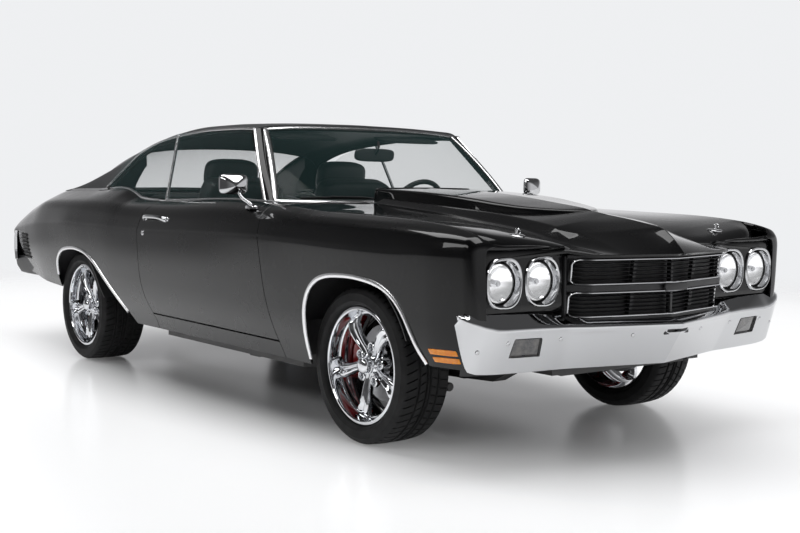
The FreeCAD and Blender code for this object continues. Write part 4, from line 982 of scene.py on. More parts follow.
# ---------------------------------------------------------------- body side
@dataclass
class BodySide:
    """Outer surface of the car's side and the panels cut from it."""

    car: Car
    gap: float = 3.0
    wall: float = 9.0
    step: float = 13.0
    low_line_radius: float = 75.0
    middle_radius: float = 110.0
    middle_z: float = 640.0
    side_line_radius: float = 15.0
    shoulder_radius: float = 48.0
    top_radius: float = 14.0
    ledge_samples: int = 3

    def __post_init__(self) -> None:
        """Build the section table, the fine grid and the height lookup."""
        f, r = self.car.front_x, self.car.rear_x
        self.rows = [
            (f + 760, 134, 402, 124, 482, 112, 108, 815, 114, 838, 126, 848),
            (f + 757, 116, 402, 104, 482, 86, 80, 818, 88, 846, 112, 856),
            (f + 744, 104, 402, 88, 482, 62, 54, 822, 64, 860, 102, 870),
            (f + 716, 88, 401, 66, 480, 46, 36, 824, 50, 879, 100, 892),
            (f + 520, 52, 399, 30, 474, 22, 12, 824, 32, 898, 104, 924),
            (f + 300, 47, 396, 26, 468, 18, 7, 816, 30, 908, 110, 938),
            (f + 0, 60, 330, 28, 464, 16, 3, 818, 30, 914, 114, 946),
            (f - 300, 80, 294, 30, 445, 16, 2, 826, 32, 920, 118, 954),
            (f - 640, 90, 294, 32, 440, 12, 0, 832, 36, 930, 122, 974),
            (f - 1150, 90, 294, 32, 452, 12, 4, 826, 40, 932, 127, 984),
            (r + 930, 90, 294, 32, 462, 14, 6, 811, 42, 922, 130, 966),
            (r + 669, 89, 294, 33, 463, 14, 4, 813, 41, 926, 160, 974),
            (r + 545, 88, 294, 34, 464, 14, 2, 815, 40, 930, 178, 1000),
            (r + 416, 88, 315, 37, 464, 15, 1, 816, 41, 934, 190, 1022),
            (r + 283, 87, 340, 41, 465, 16, 1, 818, 42, 937, 200, 1026),
            (r + 100, 86, 385, 47, 466, 18, 0, 819, 44, 940, 214, 1020),
            (r + 0, 85, 395, 50, 466, 19, 0, 820, 46, 940, 220, 1016),
            (r - 330, 86, 418, 55, 490, 24, 10, 806, 54, 934, 228, 1010),
            (r - 540, 88, 430, 60, 512, 30, 18, 795, 64, 925, 232, 1004),
            (r - 760, 100, 460, 72, 545, 44, 36, 775, 82, 885, 220, 958),
            (r - 1000, 115, 490, 90, 565, 68, 62, 752, 100, 820, 202, 874),
            (r - 1098, 124, 498, 100, 573, 80, 73, 738, 108, 780, 190, 822),
            (r - 1112, 142, 501, 120, 576, 102, 96, 734, 126, 768, 184, 806),
            (r - 1117, 170, 503, 156, 578, 142, 138, 732, 152, 760, 182, 796),
        ]
        low, high = self.rows[-1][0], self.rows[0][0]
        fine = np.concatenate([np.arange(low, low + 40, 3.0),
                               np.arange(low + 40, high - 60, self.step),
                               np.arange(high - 60, high + 0.1, 2.5)])
        self.stations = fine
        self.grid = self.sections(fine)
        self.heights = np.arange(290.0, 1036.0, 4.0)
        count = self.grid.shape[1] - self.ledge_samples
        self.table = np.stack([np.interp(self.heights, row[:count, 2], row[:count, 1])
                               for row in self.grid])

    def sections(self, stations: np.ndarray) -> np.ndarray:
        """Section points at stations.

        Args:
            stations: places along the car.

        Returns:
            stations x samples x (x, y, z).
        """
        half = self.car.half
        knots = column(self.rows, 0)
        crisp = (stations > self.rows[4][0]) | (stations < self.rows[-4][0])

        def smooth(k: int) -> np.ndarray:
            """One column of the table, smoothed along the car but crisp at its ends."""
            values = column(self.rows, k)
            return np.where(crisp, fair(stations, knots, values, 6.0),
                            fair(stations, knots, values))

        insets = [smooth(k) for k in (1, 3, 5, 6, 8, 10)]
        zs = [smooth(2), smooth(4), np.full(len(stations), self.middle_z), smooth(7),
              smooth(9), smooth(11)]
        controls = np.stack([np.column_stack([half - i, z]) for i, z in zip(insets, zs)], axis=1)
        ledge = controls[:, -1] + np.array([-44.0, 3.0])
        controls = np.concatenate([controls, ledge[:, None]], axis=1)
        radii = (self.low_line_radius, self.middle_radius, self.side_line_radius,
                 self.shoulder_radius, self.top_radius)
        flat = rounded(controls, radii, (4, 5, 5, 3, 3, 3), 7)
        flat[:, 1:-1] = (flat[:, :-2] + 2 * flat[:, 1:-1] + flat[:, 2:]) / 4
        return at_stations(stations, flat)

    def y_at(self, x: np.ndarray, z: np.ndarray) -> np.ndarray:
        """Half width of the body at stations and heights."""
        x, z = np.asarray(x, float), np.asarray(z, float)
        i = np.clip(np.searchsorted(self.stations, x) - 1, 0, len(self.stations) - 2)
        s = np.clip((x - self.stations[i]) / (self.stations[i + 1] - self.stations[i]), 0, 1)
        j = np.clip(np.searchsorted(self.heights, z) - 1, 0, len(self.heights) - 2)
        t = np.clip((z - self.heights[j]) / (self.heights[j + 1] - self.heights[j]), 0, 1)
        low = self.table[i, j] * (1 - t) + self.table[i, j + 1] * t
        high = self.table[i + 1, j] * (1 - t) + self.table[i + 1, j + 1] * t
        return low * (1 - s) + high * s

    def on_skin(self, curve: np.ndarray, proud: float = 0.0) -> tuple[np.ndarray, np.ndarray]:
        """Points and outward normals on the side for an (x, z) curve."""
        x, z = curve[:, 0], curve[:, 1]
        d = 8.0
        slope_x = (self.y_at(x + d, z) - self.y_at(x - d, z)) / (2 * d)
        slope_z = (self.y_at(x, z + d) - self.y_at(x, z - d)) / (2 * d)
        normal = unit(np.column_stack([-slope_x, np.ones(len(x)), -slope_z]))
        return np.column_stack([x, self.y_at(x, z), z]) + normal * proud, normal

    def belt(self, xs: np.ndarray, spread: float = 45.0) -> tuple[np.ndarray, np.ndarray]:
        """Half width and height of the side's top edge at stations."""
        knots = column(self.rows, 0)
        half = [self.car.half - inset for inset in column(self.rows, 10)]
        return fair(xs, knots, half, spread), fair(xs, knots, column(self.rows, 11), spread)

    def arch_loop(self, front: bool, grow: float = 0.0) -> np.ndarray:
        """Wheel opening as an (x, z) loop, grown by a distance."""
        if front:
            centre = self.car.front_x
            raw = [(-330, 180), (-322, 322), (-312, 447), (-306, 530), (-280, 603), (-230, 656),
                   (-166, 689), (-68, 707), (50, 711), (165, 703), (254, 686), (330, 652),
                   (394, 594), (442, 523), (484, 454), (520, 402), (548, 340), (580, 180)]
        else:
            centre = self.car.rear_x
            raw = [(-310, 180), (-300, 400), (-276, 489), (-252, 570), (-186, 636),
                   (-80, 671), (60, 682), (200, 668), (320, 626), (440, 552), (575, 458),
                   (672, 383), (728, 338), (770, 300), (900, 180)]
        path = dense([(centre + x, z) for x, z in raw], 14.0, 38.0)
        if grow:
            along = unit(np.gradient(path, axis=0))
            path = path + np.column_stack([-along[:, 1], along[:, 0]]) * grow
        return path

    def front_cut(self) -> list[tuple[float, float]]:
        """Gap between fender and door."""
        f = self.car.front_x
        return [(f - 706, 1010), (f - 700, 975), (f - 668, 905), (f - 646, 820), (f - 636, 740),
                (f - 616, 592), (f - 573, 449), (f - 550, 360), (f - 540, 300)]

    def rear_cut(self) -> list[tuple[float, float]]:
        """Gap between door and quarter."""
        f = self.car.front_x
        return [(f - 1836, 1010), (f - 1850, 975), (f - 1872, 935), (f - 1895, 864),
                (f - 1903, 738), (f - 1901, 596), (f - 1874, 476), (f - 1820, 376), (f - 1800, 340)]

    def door_bottom(self) -> list[tuple[float, float]]:
        """Gap between door and rocker."""
        return [(self.car.rear_x, 376), (self.car.front_x, 364)]

    def build(self) -> None:
        """Cut and fold the fender, door, rocker and quarter."""
        skin = Skin.over(self.grid, flip=True)
        front = dense(self.front_cut(), 12.0, 30.0)
        rear = dense(self.rear_cut(), 12.0, 30.0)
        bottom = self.door_bottom()
        arch_front = outside(self.arch_loop(True))
        arch_rear = outside(self.arch_loop(False))
        fender = skin.clip(beyond(front, self.gap, True)).clip(arch_front)
        fender = fender.clip(self.fender_top()).clip(self.fender_end)
        door = skin.clip(beyond(front, self.gap, False)).clip(beyond(rear, self.gap, True))
        door = door.clip(above(bottom, self.gap + 4))
        rocker = skin.clip(beyond(front, self.gap, False)).clip(beyond(rear, self.gap, True))
        rocker = rocker.clip(above(bottom, self.gap, -1.0)).clip(arch_front).clip(arch_rear)
        quarter = skin.clip(beyond(rear, self.gap, False)).clip(arch_rear).clip(self.quarter_top())
        self.car.pair("fender_skin", fender.shell(self.wall), PAINT, replaces="fender")
        self.car.pair("door_skin", door.shell(self.wall), PAINT, "door", "door")
        self.car.pair("door_edges", self.door_box(door), PAINT, "door")
        self.car.pair("rocker_skin", rocker.shell(self.wall), PAINT, replaces="rocker")
        self.car.pair("quarter_skin", quarter.shell(self.wall), PAINT, replaces="quarter")

    def door_box(self, door: Skin) -> Shape:
        """Walls that close the door from its skin to its card, set in from the gap.

        Args:
            door: the cut door skin.

        Returns:
            The walls, their faces turned outward.
        """
        f, r = self.car.front_x, self.car.rear_x
        rings = []
        for x, y, z in door.points.tolist():
            z_in = max(z, 396.0)
            front = np.interp(z_in, [396, 592, 740], [f - 592, f - 642, f - 670])
            rear = np.interp(z_in, [396, 640, 738, 960], [r + 1077, r + 945, r + 945, r + 1045])
            ring = [(x, y - 6, z)]
            for depth in (min(868.0, y - 14), 800.0, 753.0):
                hinge_side = min(front, f - 832 + 0.956 * (depth - 700))
                ring.append((min(max(x, rear), hinge_side), depth, z_in))
            rings.append(ring)
        points, faces = [], []
        for a, b in door.rim():
            if max(door.points[a][2], door.points[b][2]) > 930:
                continue
            start = len(points)
            points += rings[b] + rings[a]
            faces += [(start + k, start + 4 + k, start + 5 + k, start + 1 + k) for k in range(3)]
        return Shape(np.array(points), faces)

    def fender_end(self, p: np.ndarray) -> np.ndarray:
        """Fender stops behind the front bumper, below the lamps."""
        return self.car.front_x + 700 + np.maximum(p[:, 2] - 562, 0) * 4 - p[:, 0]

    def fender_top(self) -> Keep:
        """Fender ends at its top edge beside the hood, and keeps its ledge behind the hood."""
        edge, _ = self.belt(self.stations)
        f = self.car.front_x
        return lambda p: np.where((p[:, 0] > f - 655) & (p[:, 2] > 800),
                                  p[:, 1] - np.interp(p[:, 0], self.stations, edge) + 1.0, 5.0)

    def quarter_top(self) -> Keep:
        """Quarter ends at its top edge, where the vinyl and the lid begin."""
        edge, _ = self.belt(self.stations)
        r = self.car.rear_x
        return lambda p: np.where((p[:, 0] < r + 140) & (p[:, 2] > 740),
                                  p[:, 1] - np.interp(p[:, 0], self.stations, edge) + 2.0, 5.0)

    def trims(self) -> None:
        """Bright mouldings round the wheel openings, cut short at both feet."""
        for name, front in (("front", True), ("rear", False)):
            path = self.arch_loop(front, -9.0)
            x, z = path[:, 0], path[:, 1]
            if front:
                ends = (z > 318) & ((x < self.car.front_x) | (z > 400))
            else:
                ends = (z > 345) & ((x > self.car.rear_x) | (z > 486))
            points, normals = self.on_skin(path[ends])
            self.car.pair(f"arch_moulding_{name}",
                          sweep(points, normals, half_round(21.0, 6.5)), MOULDING)


# ---------------------------------------------------------------- roof and rear pillars
@dataclass
class Greenhouse:
    """Roof, rear pillars, windshield pillars and their bright mouldings."""

    car: Car
    side: BodySide
    wall: float = 16.0
    rows_per_metre: int = 80

    def __post_init__(self) -> None:
        """Tables of the roof's sections and of the window's outline."""
        f, r = self.car.front_x, self.car.rear_x
        self.roof_rows = [
            (f - 1140, 775, 985, 657, 1332, 592, 1350, 320, 1364, 1368),
            (f - 1210, 775, 985, 655, 1337, 590, 1356, 320, 1370, 1374),
            (f - 1480, 775, 985, 652, 1346, 585, 1366, 320, 1382, 1386),
            (r + 1055, 775, 975, 650, 1340, 580, 1364, 320, 1383, 1388),
            (r + 680, 780, 973, 648, 1302, 575, 1334, 320, 1360, 1366),
            (r + 345, 757, 1026, 640, 1242, 560, 1280, 320, 1308, 1316),
            (r + 240, 751, 1026, 634, 1216, 553, 1256, 320, 1284, 1292),
        ]
        self.sail_rows = [
            (r + 240, 751, 1026, 634, 1216, 572, 1250, 556, 1246, 552, 1000),
            (r + 110, 743, 1021, 634, 1180, 584, 1211, 568, 1206, 566, 1000),
            (r - 38, 735, 1014, 637, 1140, 600, 1166, 584, 1160, 582, 996),
            (r - 200, 730, 1012, 655, 1093, 622, 1115, 606, 1110, 604, 992),
            (r - 395, 727, 1009, 683, 1040, 652, 1056, 636, 1050, 634, 988),
            (r - 520, 725, 1005, 705, 1016, 680, 1022, 666, 1018, 664, 988),
            (r - 592, 724, 1003, 712, 1006, 702, 1006, 694, 1003, 692, 990),
        ]
        self.drip = [(f - 1130, 1322), (f - 1178, 1330), (f - 1300, 1336), (f - 1419, 1337),
                     (f - 1600, 1336), (f - 1777, 1328), (f - 2000, 1312), (f - 2170, 1294),
                     (f - 2300, 1272), (f - 2383, 1253), (f - 2480, 1225), (f - 2560, 1190),
                     (f - 2630, 1143), (f - 2691, 1088), (f - 2728, 1048), (f - 2744, 1028),
                     (f - 2748, 900)]

    def table(self, rows: Sequence[tuple], stations: np.ndarray) -> np.ndarray:
        """Control points of the sections at stations, from a table."""
        knots = column(rows, 0)
        width = len(rows[0]) - 1
        values = [fair(stations, knots, column(rows, k), 30.0) for k in range(1, width + 1)]
        pairs = [np.column_stack([values[k], values[k + 1]]) for k in range(0, width - 1, 2)]
        if width % 2:
            pairs.append(np.column_stack([np.zeros(len(stations)), values[-1]]))
        return np.stack(pairs, axis=1)

    def loft(self, rows: Sequence[tuple], radii: Sequence[float],
             spans: Sequence[int]) -> np.ndarray:
        """Fine grid through a section table."""
        low, high = rows[-1][0], rows[0][0]
        stations = np.linspace(low, high, max(8, int((high - low) * self.rows_per_metre / 1000)))
        flat = rounded(self.table(rows, stations), radii, spans, 7)
        return at_stations(stations, flat)

    def header_line(self, y: np.ndarray) -> np.ndarray:
        """Station of the roof's front edge at |y|."""
        f = self.car.front_x
        return f + np.interp(np.abs(y), [0, 330, 598, 660], [-1150, -1158, -1174, -1200])

    def build(self) -> None:
        """Roof cover, rear pillar covers, windshield pillars and mouldings."""
        half = self.loft(self.roof_rows, (30.0, 34.0, 150.0), (14, 3, 6, 8))
        left = Skin.over(half, flip=True).clip(above(self.drip, 0.0))
        left = left.clip(lambda p: self.header_line(p[:, 1]) - p[:, 0])
        shell = left.shell(self.wall, 5.0)
        centre = np.abs(left.points[:, 1]) < 1e-6
        shell.normals[:len(left.points)][centre, 1] = 0.0
        self.car.add("roof_cover", both_sides(shell), VINYL, replaces=("roof",))
        sail = Skin.over(self.loft(self.sail_rows, (26.0, 22.0, 8.0), (12, 3, 2, 6)), flip=True)
        sail = sail.clip(above(self.drip, 0.0))
        self.car.pair("rear_pillar_cover", sail.shell(3.0, 2.0), VINYL)
        self.pillars()
        self.mouldings()

    def pillars(self) -> None:
        """Windshield pillars in body colour with bright strips on both edges."""
        f = self.car.front_x
        inner = dense([(f - 850, 738, 978), (f - 1010, 678, 1150),
                       (f - 1172, 602, 1332)], 20.0, 30.0)
        outer = dense([(f - 890, 768, 978), (f - 1040, 715, 1160),
                       (f - 1186, 652, 1328)], 20.0, 30.0)
        count = min(len(inner), len(outer))
        inner, outer = inner[:count], outer[:count]
        inner[-1], outer[-1] = (f - 1172, 602, 1332), (f - 1186, 652, 1328)
        middle = (inner + outer) / 2
        out = unit(np.cross(np.gradient(middle, axis=0), outer - inner))
        out = np.where(out[:, :1] < 0, -out, out)
        width = np.linalg.norm(outer - inner, axis=1).mean()
        body = [(width / 2, -26), (width / 2, 0), (width / 4, 7), (0, 9), (-width / 4, 7),
                (-width / 2, 0), (-width / 2, -26)]
        self.car.pair("windshield_pillar", sweep(middle, out, body), PAINT)
        side_out = unit(out + np.array([0.0, 0.9, 0.0]))
        strip = sweep(outer, side_out, half_round(15.0, 7.0))
        self.car.pair("pillar_moulding", strip, MOULDING)

    def mouldings(self) -> None:
        """Drip moulding, window seal, the vinyl's lower strip and the belt strips."""
        curve = dense(self.drip[1:-1], 12.0, 26.0)
        points = self.on_cover(curve)
        out = np.array([0.0, 0.93, 0.35])
        drip = sweep(points + out * 1.5, out, half_round(14.0, 8.0))
        seal = sweep(points + np.array([0, -10.0, -11.0]), out, half_round(19.0, 5.0, sink=8.0))
        self.car.pair("drip_moulding", drip, MOULDING)
        self.car.pair("window_seal", seal, SEAL)
        f, r = self.car.front_x, self.car.rear_x
        xs = np.arange(r - 484, f - 1905, 16.0)
        ys, zs = self.side.belt(xs, 30.0)
        path = np.column_stack([xs, ys - 3, zs + 1])
        out = (0.0, 0.75, 0.66)
        behind = xs < f - 2735
        self.car.pair("vinyl_moulding", sweep(path[behind], out, half_round(15.0, 5.0)), MOULDING)
        belt_strip = sweep(path[~behind] + [0, -9.0, 3.0], out, half_round(13.0, 5.0))
        self.car.pair("quarter_belt_strip", belt_strip, MOULDING)
        xs = np.arange(f - 1868, f - 760, 16.0)
        ys, zs = self.side.belt(xs, 30.0)
        path = np.column_stack([xs, ys - 40, zs + 4])
        self.car.pair("door_belt_strip", sweep(path, (0.0, 0.6, 0.8), half_round(12.0, 5.0)),
                      MOULDING, "door")

    def on_cover(self, curve: np.ndarray) -> np.ndarray:
        """Points on the roof cover's side for an (x, z) curve."""
        f = self.car.front_x
        lower = fair(curve[:, 0], [f - 1140, f - 2165, f - 2500, f - 2750],
                     [775, 780, 757, 748], 30.0)
        base = fair(curve[:, 0], [f - 1140, f - 2165, f - 2500, f - 2750],
                    [985, 973, 1026, 1024], 30.0)
        rows = self.roof_rows + [self.sail_rows[1], self.sail_rows[2]]
        knots = column(rows, 0)
        edge_y = fair(curve[:, 0], knots, column(rows, 3), 30.0)
        edge_z = fair(curve[:, 0], knots, column(rows, 4), 30.0)
        share = np.clip((curve[:, 1] - base) / (edge_z - base), 0, 1)
        return np.column_stack([curve[:, 0], lower + (edge_y - lower) * share, curve[:, 1]])


@dataclass
class Screens:
    """Windshield, rear window, their surrounds and the side glasses."""

    car: Car
    thick: float = 6.0

    def pane(self, foot: Sequence[tuple], head: Sequence[tuple], bow: float) -> np.ndarray:
        """Bowed grid between a foot line and a head line given for one half.

        Args:
            foot: (x, y, z) from the outer corner to the centre.
            head: the same for the upper edge.
            bow: how far the middle stands proud of the straight lines.

        Returns:
            Grid of the outer face.
        """
        ys = np.linspace(-1, 1, 61)
        lines = []
        for half in (foot, head):
            rows = np.array([(x, y, z) for x, y, z in half]
                            + [(x, -y, z) for x, y, z in half[::-1][1:]])
            share = rows[:, 1] / rows[0, 1]
            lines.append(np.column_stack([fair(ys, share, rows[:, k], 0.09) for k in range(3)]))
        rows = []
        for t in np.linspace(0, 1, 28):
            line = lines[0] * (1 - t) + lines[1] * t
            lift = bow * 4 * t * (1 - t)
            rise = lines[1][:, 2].mean() - lines[0][:, 2].mean()
            run = abs(lines[1][:, 0].mean() - lines[0][:, 0].mean())
            ahead = 1.0 if lines[0][30, 0] > lines[1][30, 0] else -1.0
            normal = unit(np.array([ahead * rise, 0, run]))
            rows.append(line + normal * lift)
        return np.stack(rows)

    def build(self) -> None:
        """Both screens with their bright surrounds, and finishes for the side glasses."""
        f, r = self.car.front_x, self.car.rear_x
        foot = [(f - 852, 736, 984), (f - 800, 560, 980), (f - 762, 330, 978), (f - 748, 0, 977)]
        head = [(f - 1176, 600, 1333), (f - 1166, 450, 1345), (f - 1158, 250, 1351),
                (f - 1154, 0, 1354)]
        self.screen("windshield_pane", foot, head, 16.0, "windshield", 24.0)
        foot = [(r - 392, 634, 1006), (r - 420, 400, 1010), (r - 428, 200, 1012),
                (r - 430, 0, 1012)]
        head = [(r + 236, 556, 1246), (r + 238, 400, 1266), (r + 238, 200, 1278),
                (r + 238, 0, 1282)]
        self.screen("rear_window_pane", foot, head, 26.0, "rear_window", 18.0)
        self.car.dress(WINDOW, "quarter_glass", "door_glass_left", "door_glass_right")
        self.split_strips()

    def screen(self, name: str, foot: Sequence[tuple], head: Sequence[tuple], bow: float, node: str,
               width: float) -> None:
        """One screen: glass, black border and bright surround."""
        grid = self.pane(foot, head, bow)
        skin = Skin.facing(grid, 2)
        self.car.add(name, skin.shell(self.thick, 1.0), WINDOW, replaces=(node,))
        loop = np.vstack([grid[0], grid[1:, -1], grid[-1, ::-1][1:], grid[1:-1, 0][::-1]])
        centre = loop.mean(axis=0)
        out = skin.normals.mean(axis=0)
        inner = loop + unit(centre - loop) * 12.0
        self.car.add(f"{name}_surround",
                     sweep(loop, out, half_round(width, 8.0, sink=6.0), closed=True), MOULDING)
        self.car.add(f"{name}_seal",
                     sweep(inner, out, half_round(16.0, 3.5, sink=8.0), closed=True), SEAL)

    def split_strips(self) -> None:
        """Bright strip between door glass and quarter glass."""
        f = self.car.front_x
        foot, head = np.array([f - 1893, 783.0, 962.0]), np.array([f - 1980, 666.0, 1322.0])
        path = np.linspace(foot, head, 12)
        strip = sweep(path, (0.0, 0.95, 0.3), half_round(15.0, 5.0, sink=9.0))
        self.car.pair("glass_split_strip", strip, MOULDING)


# ---------------------------------------------------------------- hood, lid and nose
@dataclass
class HoodSkin:
    """Hood with its raised centre, drop nose and open rear flap."""

    car: Car
    side: BodySide
    gap: float = 6.0
    wall: float = 10.0
    nose_start: float = 560.0
    nose_run: float = 212.0

    def __post_init__(self) -> None:
        """Section tables of the hood and of the raised box on it."""
        f = self.car.front_x
        self.rows = [
            (f + 860, 889, 240, 872, 330, 830),
            (f + 772, 909, 262, 882, 340, 836),
            (f + 700, 926, 280, 888, 348, 846),
            (f + 600, 946, 298, 900, 362, 862),
            (f + 440, 968, 306, 926, 368, 890),
            (f + 200, 976, 309, 952, 371, 916),
            (f + 0, 984, 310, 966, 372, 936),
            (f - 300, 1000, 311, 986, 373, 958),
            (f - 566, 1012, 312, 1002, 374, 976),
            (f - 660, 1016, 312, 1006, 374, 982),
        ]
        self.box_rows = [
            (f - 655, 292, 1046, 1050, 985),
            (f - 400, 290, 1038, 1044, 975),
            (f - 170, 286, 1026, 1036, 965),
            (f + 0, 276, 1012, 1024, 955),
            (f + 138, 255, 995, 1010, 945),
            (f + 260, 215, 981, 996, 935),
            (f + 360, 150, 973, 985, 930),
            (f + 430, 70, 968, 976, 925),
            (f + 462, 12, 964, 968, 920),
        ]

    def front_line(self, y: np.ndarray) -> np.ndarray:
        """Station of the hood's front edge at |y|."""
        return self.car.front_x + fair(np.abs(y), [0, 200, 395, 430, 455, 600, 745, 800, 850],
                                       [957, 905, 860, 800, 770, 757, 745, 714, 676], 8.0)

    def break_line(self, y: np.ndarray) -> np.ndarray:
        """Station where the hood's top turns down at |y|."""
        return self.car.front_x + fair(np.abs(y),
                                       [0, 100, 200, 300, 345, 400, 455, 600, 745, 800, 850],
                                       [853, 781, 709, 640, 690, 733, 748, 742, 730,
                                        700, 662], 10.0)

    def rear_line(self, y: np.ndarray) -> np.ndarray:
        """Station of the hood's rear edge at |y|, outside the raised centre."""
        return self.car.front_x - np.interp(np.abs(y), [0, 330, 500, 700, 850],
                                            [562, 564, 574, 598, 650])

    def surface(self) -> np.ndarray:
        """Grid of the hood, front rows bent to the beak."""
        start = self.car.front_x + self.nose_start
        stations = np.linspace(self.car.front_x - 660, start, 88)
        ahead = np.linspace(0, 1, 22)[1:]
        knots = column(self.rows, 0)
        far = np.concatenate([stations, start + ahead * self.nose_run])

        def sections(xs: np.ndarray) -> np.ndarray:
            """Rounded sections at stations."""
            edge_y, edge_z = self.side.belt(xs)
            edge_y = edge_y - self.gap
            value = [fair(xs, knots, column(self.rows, k)) for k in range(1, 6)]
            valley_y = edge_y * 0.4 + value[3] * 0.6
            valley_z = edge_z * 0.46 + value[4] * 0.54 + 3.0
            controls = np.stack([np.column_stack(pair) for pair in (
                (edge_y, edge_z), (valley_y, valley_z), (value[3], value[4]), (value[1], value[2]),
                (np.zeros(len(xs)), value[0]))], axis=1)
            flat = rounded(controls, (140.0, 20.0, 12.0), (7, 4, 4, 9), 7)
            return at_stations(xs, flat)

        grid = sections(far)
        turn_x = self.break_line(grid[:, :, 1])
        share = np.clip((grid[:, :, 0] - start) / self.nose_run, 0, 1)
        grid[:, :, 0] = np.where(share > 0, start + share * (turn_x - start), grid[:, :, 0])
        edge = grid[-1]
        y = edge[:, 1]
        low_x = self.front_line(y)
        low_z = np.interp(y, [0, 385, 425, 455, 600, 745, 850], [815, 815, 822, 836, 846, 850, 884])
        rows = []
        for share in np.linspace(0, 1, 13)[1:]:
            row = edge.copy()
            row[:, 0] += (low_x - edge[:, 0]) * (share + 0.07 * math.sin(math.pi * share))
            row[:, 2] += (np.minimum(low_z, edge[:, 2] - 3) - edge[:, 2]) * share
            rows.append(row)
        grid = np.concatenate([grid, np.stack(rows)])
        front = slice(len(stations), len(grid) - 1)
        for _ in range(2):
            middle = (grid[:-2] + 2 * grid[1:-1] + grid[2:]) / 4
            grid[front] = middle[front.start - 1:front.stop - 1]
        return grid

    def build(self) -> None:
        """Hood panel, raised box, flap, bracing and pins."""
        self.grid = self.surface()
        skin = Skin.over(self.grid, flip=True)
        skin = skin.clip(lambda p: p[:, 0] - self.rear_line(p[:, 1]))
        raised = self.raised_box()
        shell = skin.shell(self.wall, 2.5) + raised.shell(self.wall, 2.0)
        self.car.add("hood_panel", both_sides(shell), PAINT, "hood", ("hood",))
        self.flap()
        self.inner_frame()
        self.pins()

    def raised_box(self) -> Skin:
        """Raised box over the hood's rear half, dying out forwards."""
        knots = column(self.box_rows, 0)
        xs = np.linspace(knots[0], knots[-1], 80)
        half, edge, centre, base = (fair(xs, knots, column(self.box_rows, k), 25.0)
                                    for k in range(1, 5))
        controls = np.stack([np.column_stack(pair) for pair in (
            (half + 16, base), (half, edge), (half * 0.0, centre))], axis=1)
        flat = rounded(controls, (16.0,), (6, 10), 8)
        return Skin.over(at_stations(xs, flat), flip=True)

    def top_at(self, x: float, y: float) -> float:
        """Height of the hood's skin near a point."""
        flat = self.grid.reshape(-1, 3)
        near = np.argmin((flat[:, 0] - x) ** 2 + (flat[:, 1] - abs(y)) ** 2)
        return float(flat[near, 2])

    def flap(self) -> None:
        """Gloss edge in body colour and dark mouth at the rear of the raised centre."""
        f = self.car.front_x
        rim = dense([(f - 654, -306, 990), (f - 654, -296, 1042), (f - 654, -270, 1047),
                     (f - 654, 0, 1050), (f - 654, 270, 1047), (f - 654, 296, 1042),
                     (f - 654, 306, 990)], 9.0, 10.0)
        self.car.add("flap_edge", sweep(rim, (-0.5, 0, 0.85), half_round(6.0, 2.5)), PAINT, "hood")
        mouth = box((f - 648, -300, 990), (f - 640, 300, 1034), 3.0)
        self.car.add("flap_mouth", mouth, SATIN, "hood")
        ribs = total([box((f - 655, y - 3, 994), (f - 647, y + 3, 1034), 1.0)
                      for y in range(-270, 271, 60)])
        self.car.add("flap_ribs", ribs, SATIN, "hood")

    def inner_frame(self) -> None:
        """Stamped bracing under the hood."""
        f = self.car.front_x
        bars = []
        for y0, y1 in ((-700, 700), (-560, 0), (560, 0)):
            path = np.linspace((f - 480, y0, 960), (f + 560, y1 * 0.6, 862), 24)
            path[:, 2] = self.under(path[:, 0])
            bars.append(sweep(path, (0, 0, -1.0), half_round(90.0, 14.0, 9)))
        self.car.add("hood_bracing", total(bars), SATIN, "hood")

    def under(self, x: np.ndarray) -> np.ndarray:
        """Height of the hood's underside at stations."""
        return fair(x, column(self.rows, 0), column(self.rows, 5)) - self.wall - 12.0

    def pins(self) -> None:
        """Hood pins: scuff plates with three small heads, posts and hairpins."""
        f = self.car.front_x
        x, y = f + 640.0, 590.0
        z = self.top_at(x, y)
        plate = turn([(0.001, 3.4), (24, 3.4), (28, 4.2), (31, 3.0), (34, 0.4), (34, -3)],
                     (x, y, z), (0.1, 0, 1), 40)
        post = turn([(0.001, 27), (4, 26), (6, 23), (6, 0)], (x, y, z), (0.1, 0, 1), 20)
        ears = total([turn([(0.001, 4.6), (2.6, 4.0), (3, 2)], (x + 24 * c, y + 24 * s, z),
                           (0.1, 0, 1), 12)
                      for c, s in ((0.8, 0.6), (-0.8, 0.6), (0.0, -1.0))])
        loop = [(x + 9 + 13 * math.cos(a), y + 4 * math.sin(a), z + 17 + 10 * math.sin(a))
                for a in np.linspace(0, 2 * math.pi, 30)]
        clip = tube(np.array(loop), 1.8, 8)
        self.car.add("hood_pin_plates", both_sides(plate + post + ears + clip), CHROME, "hood")


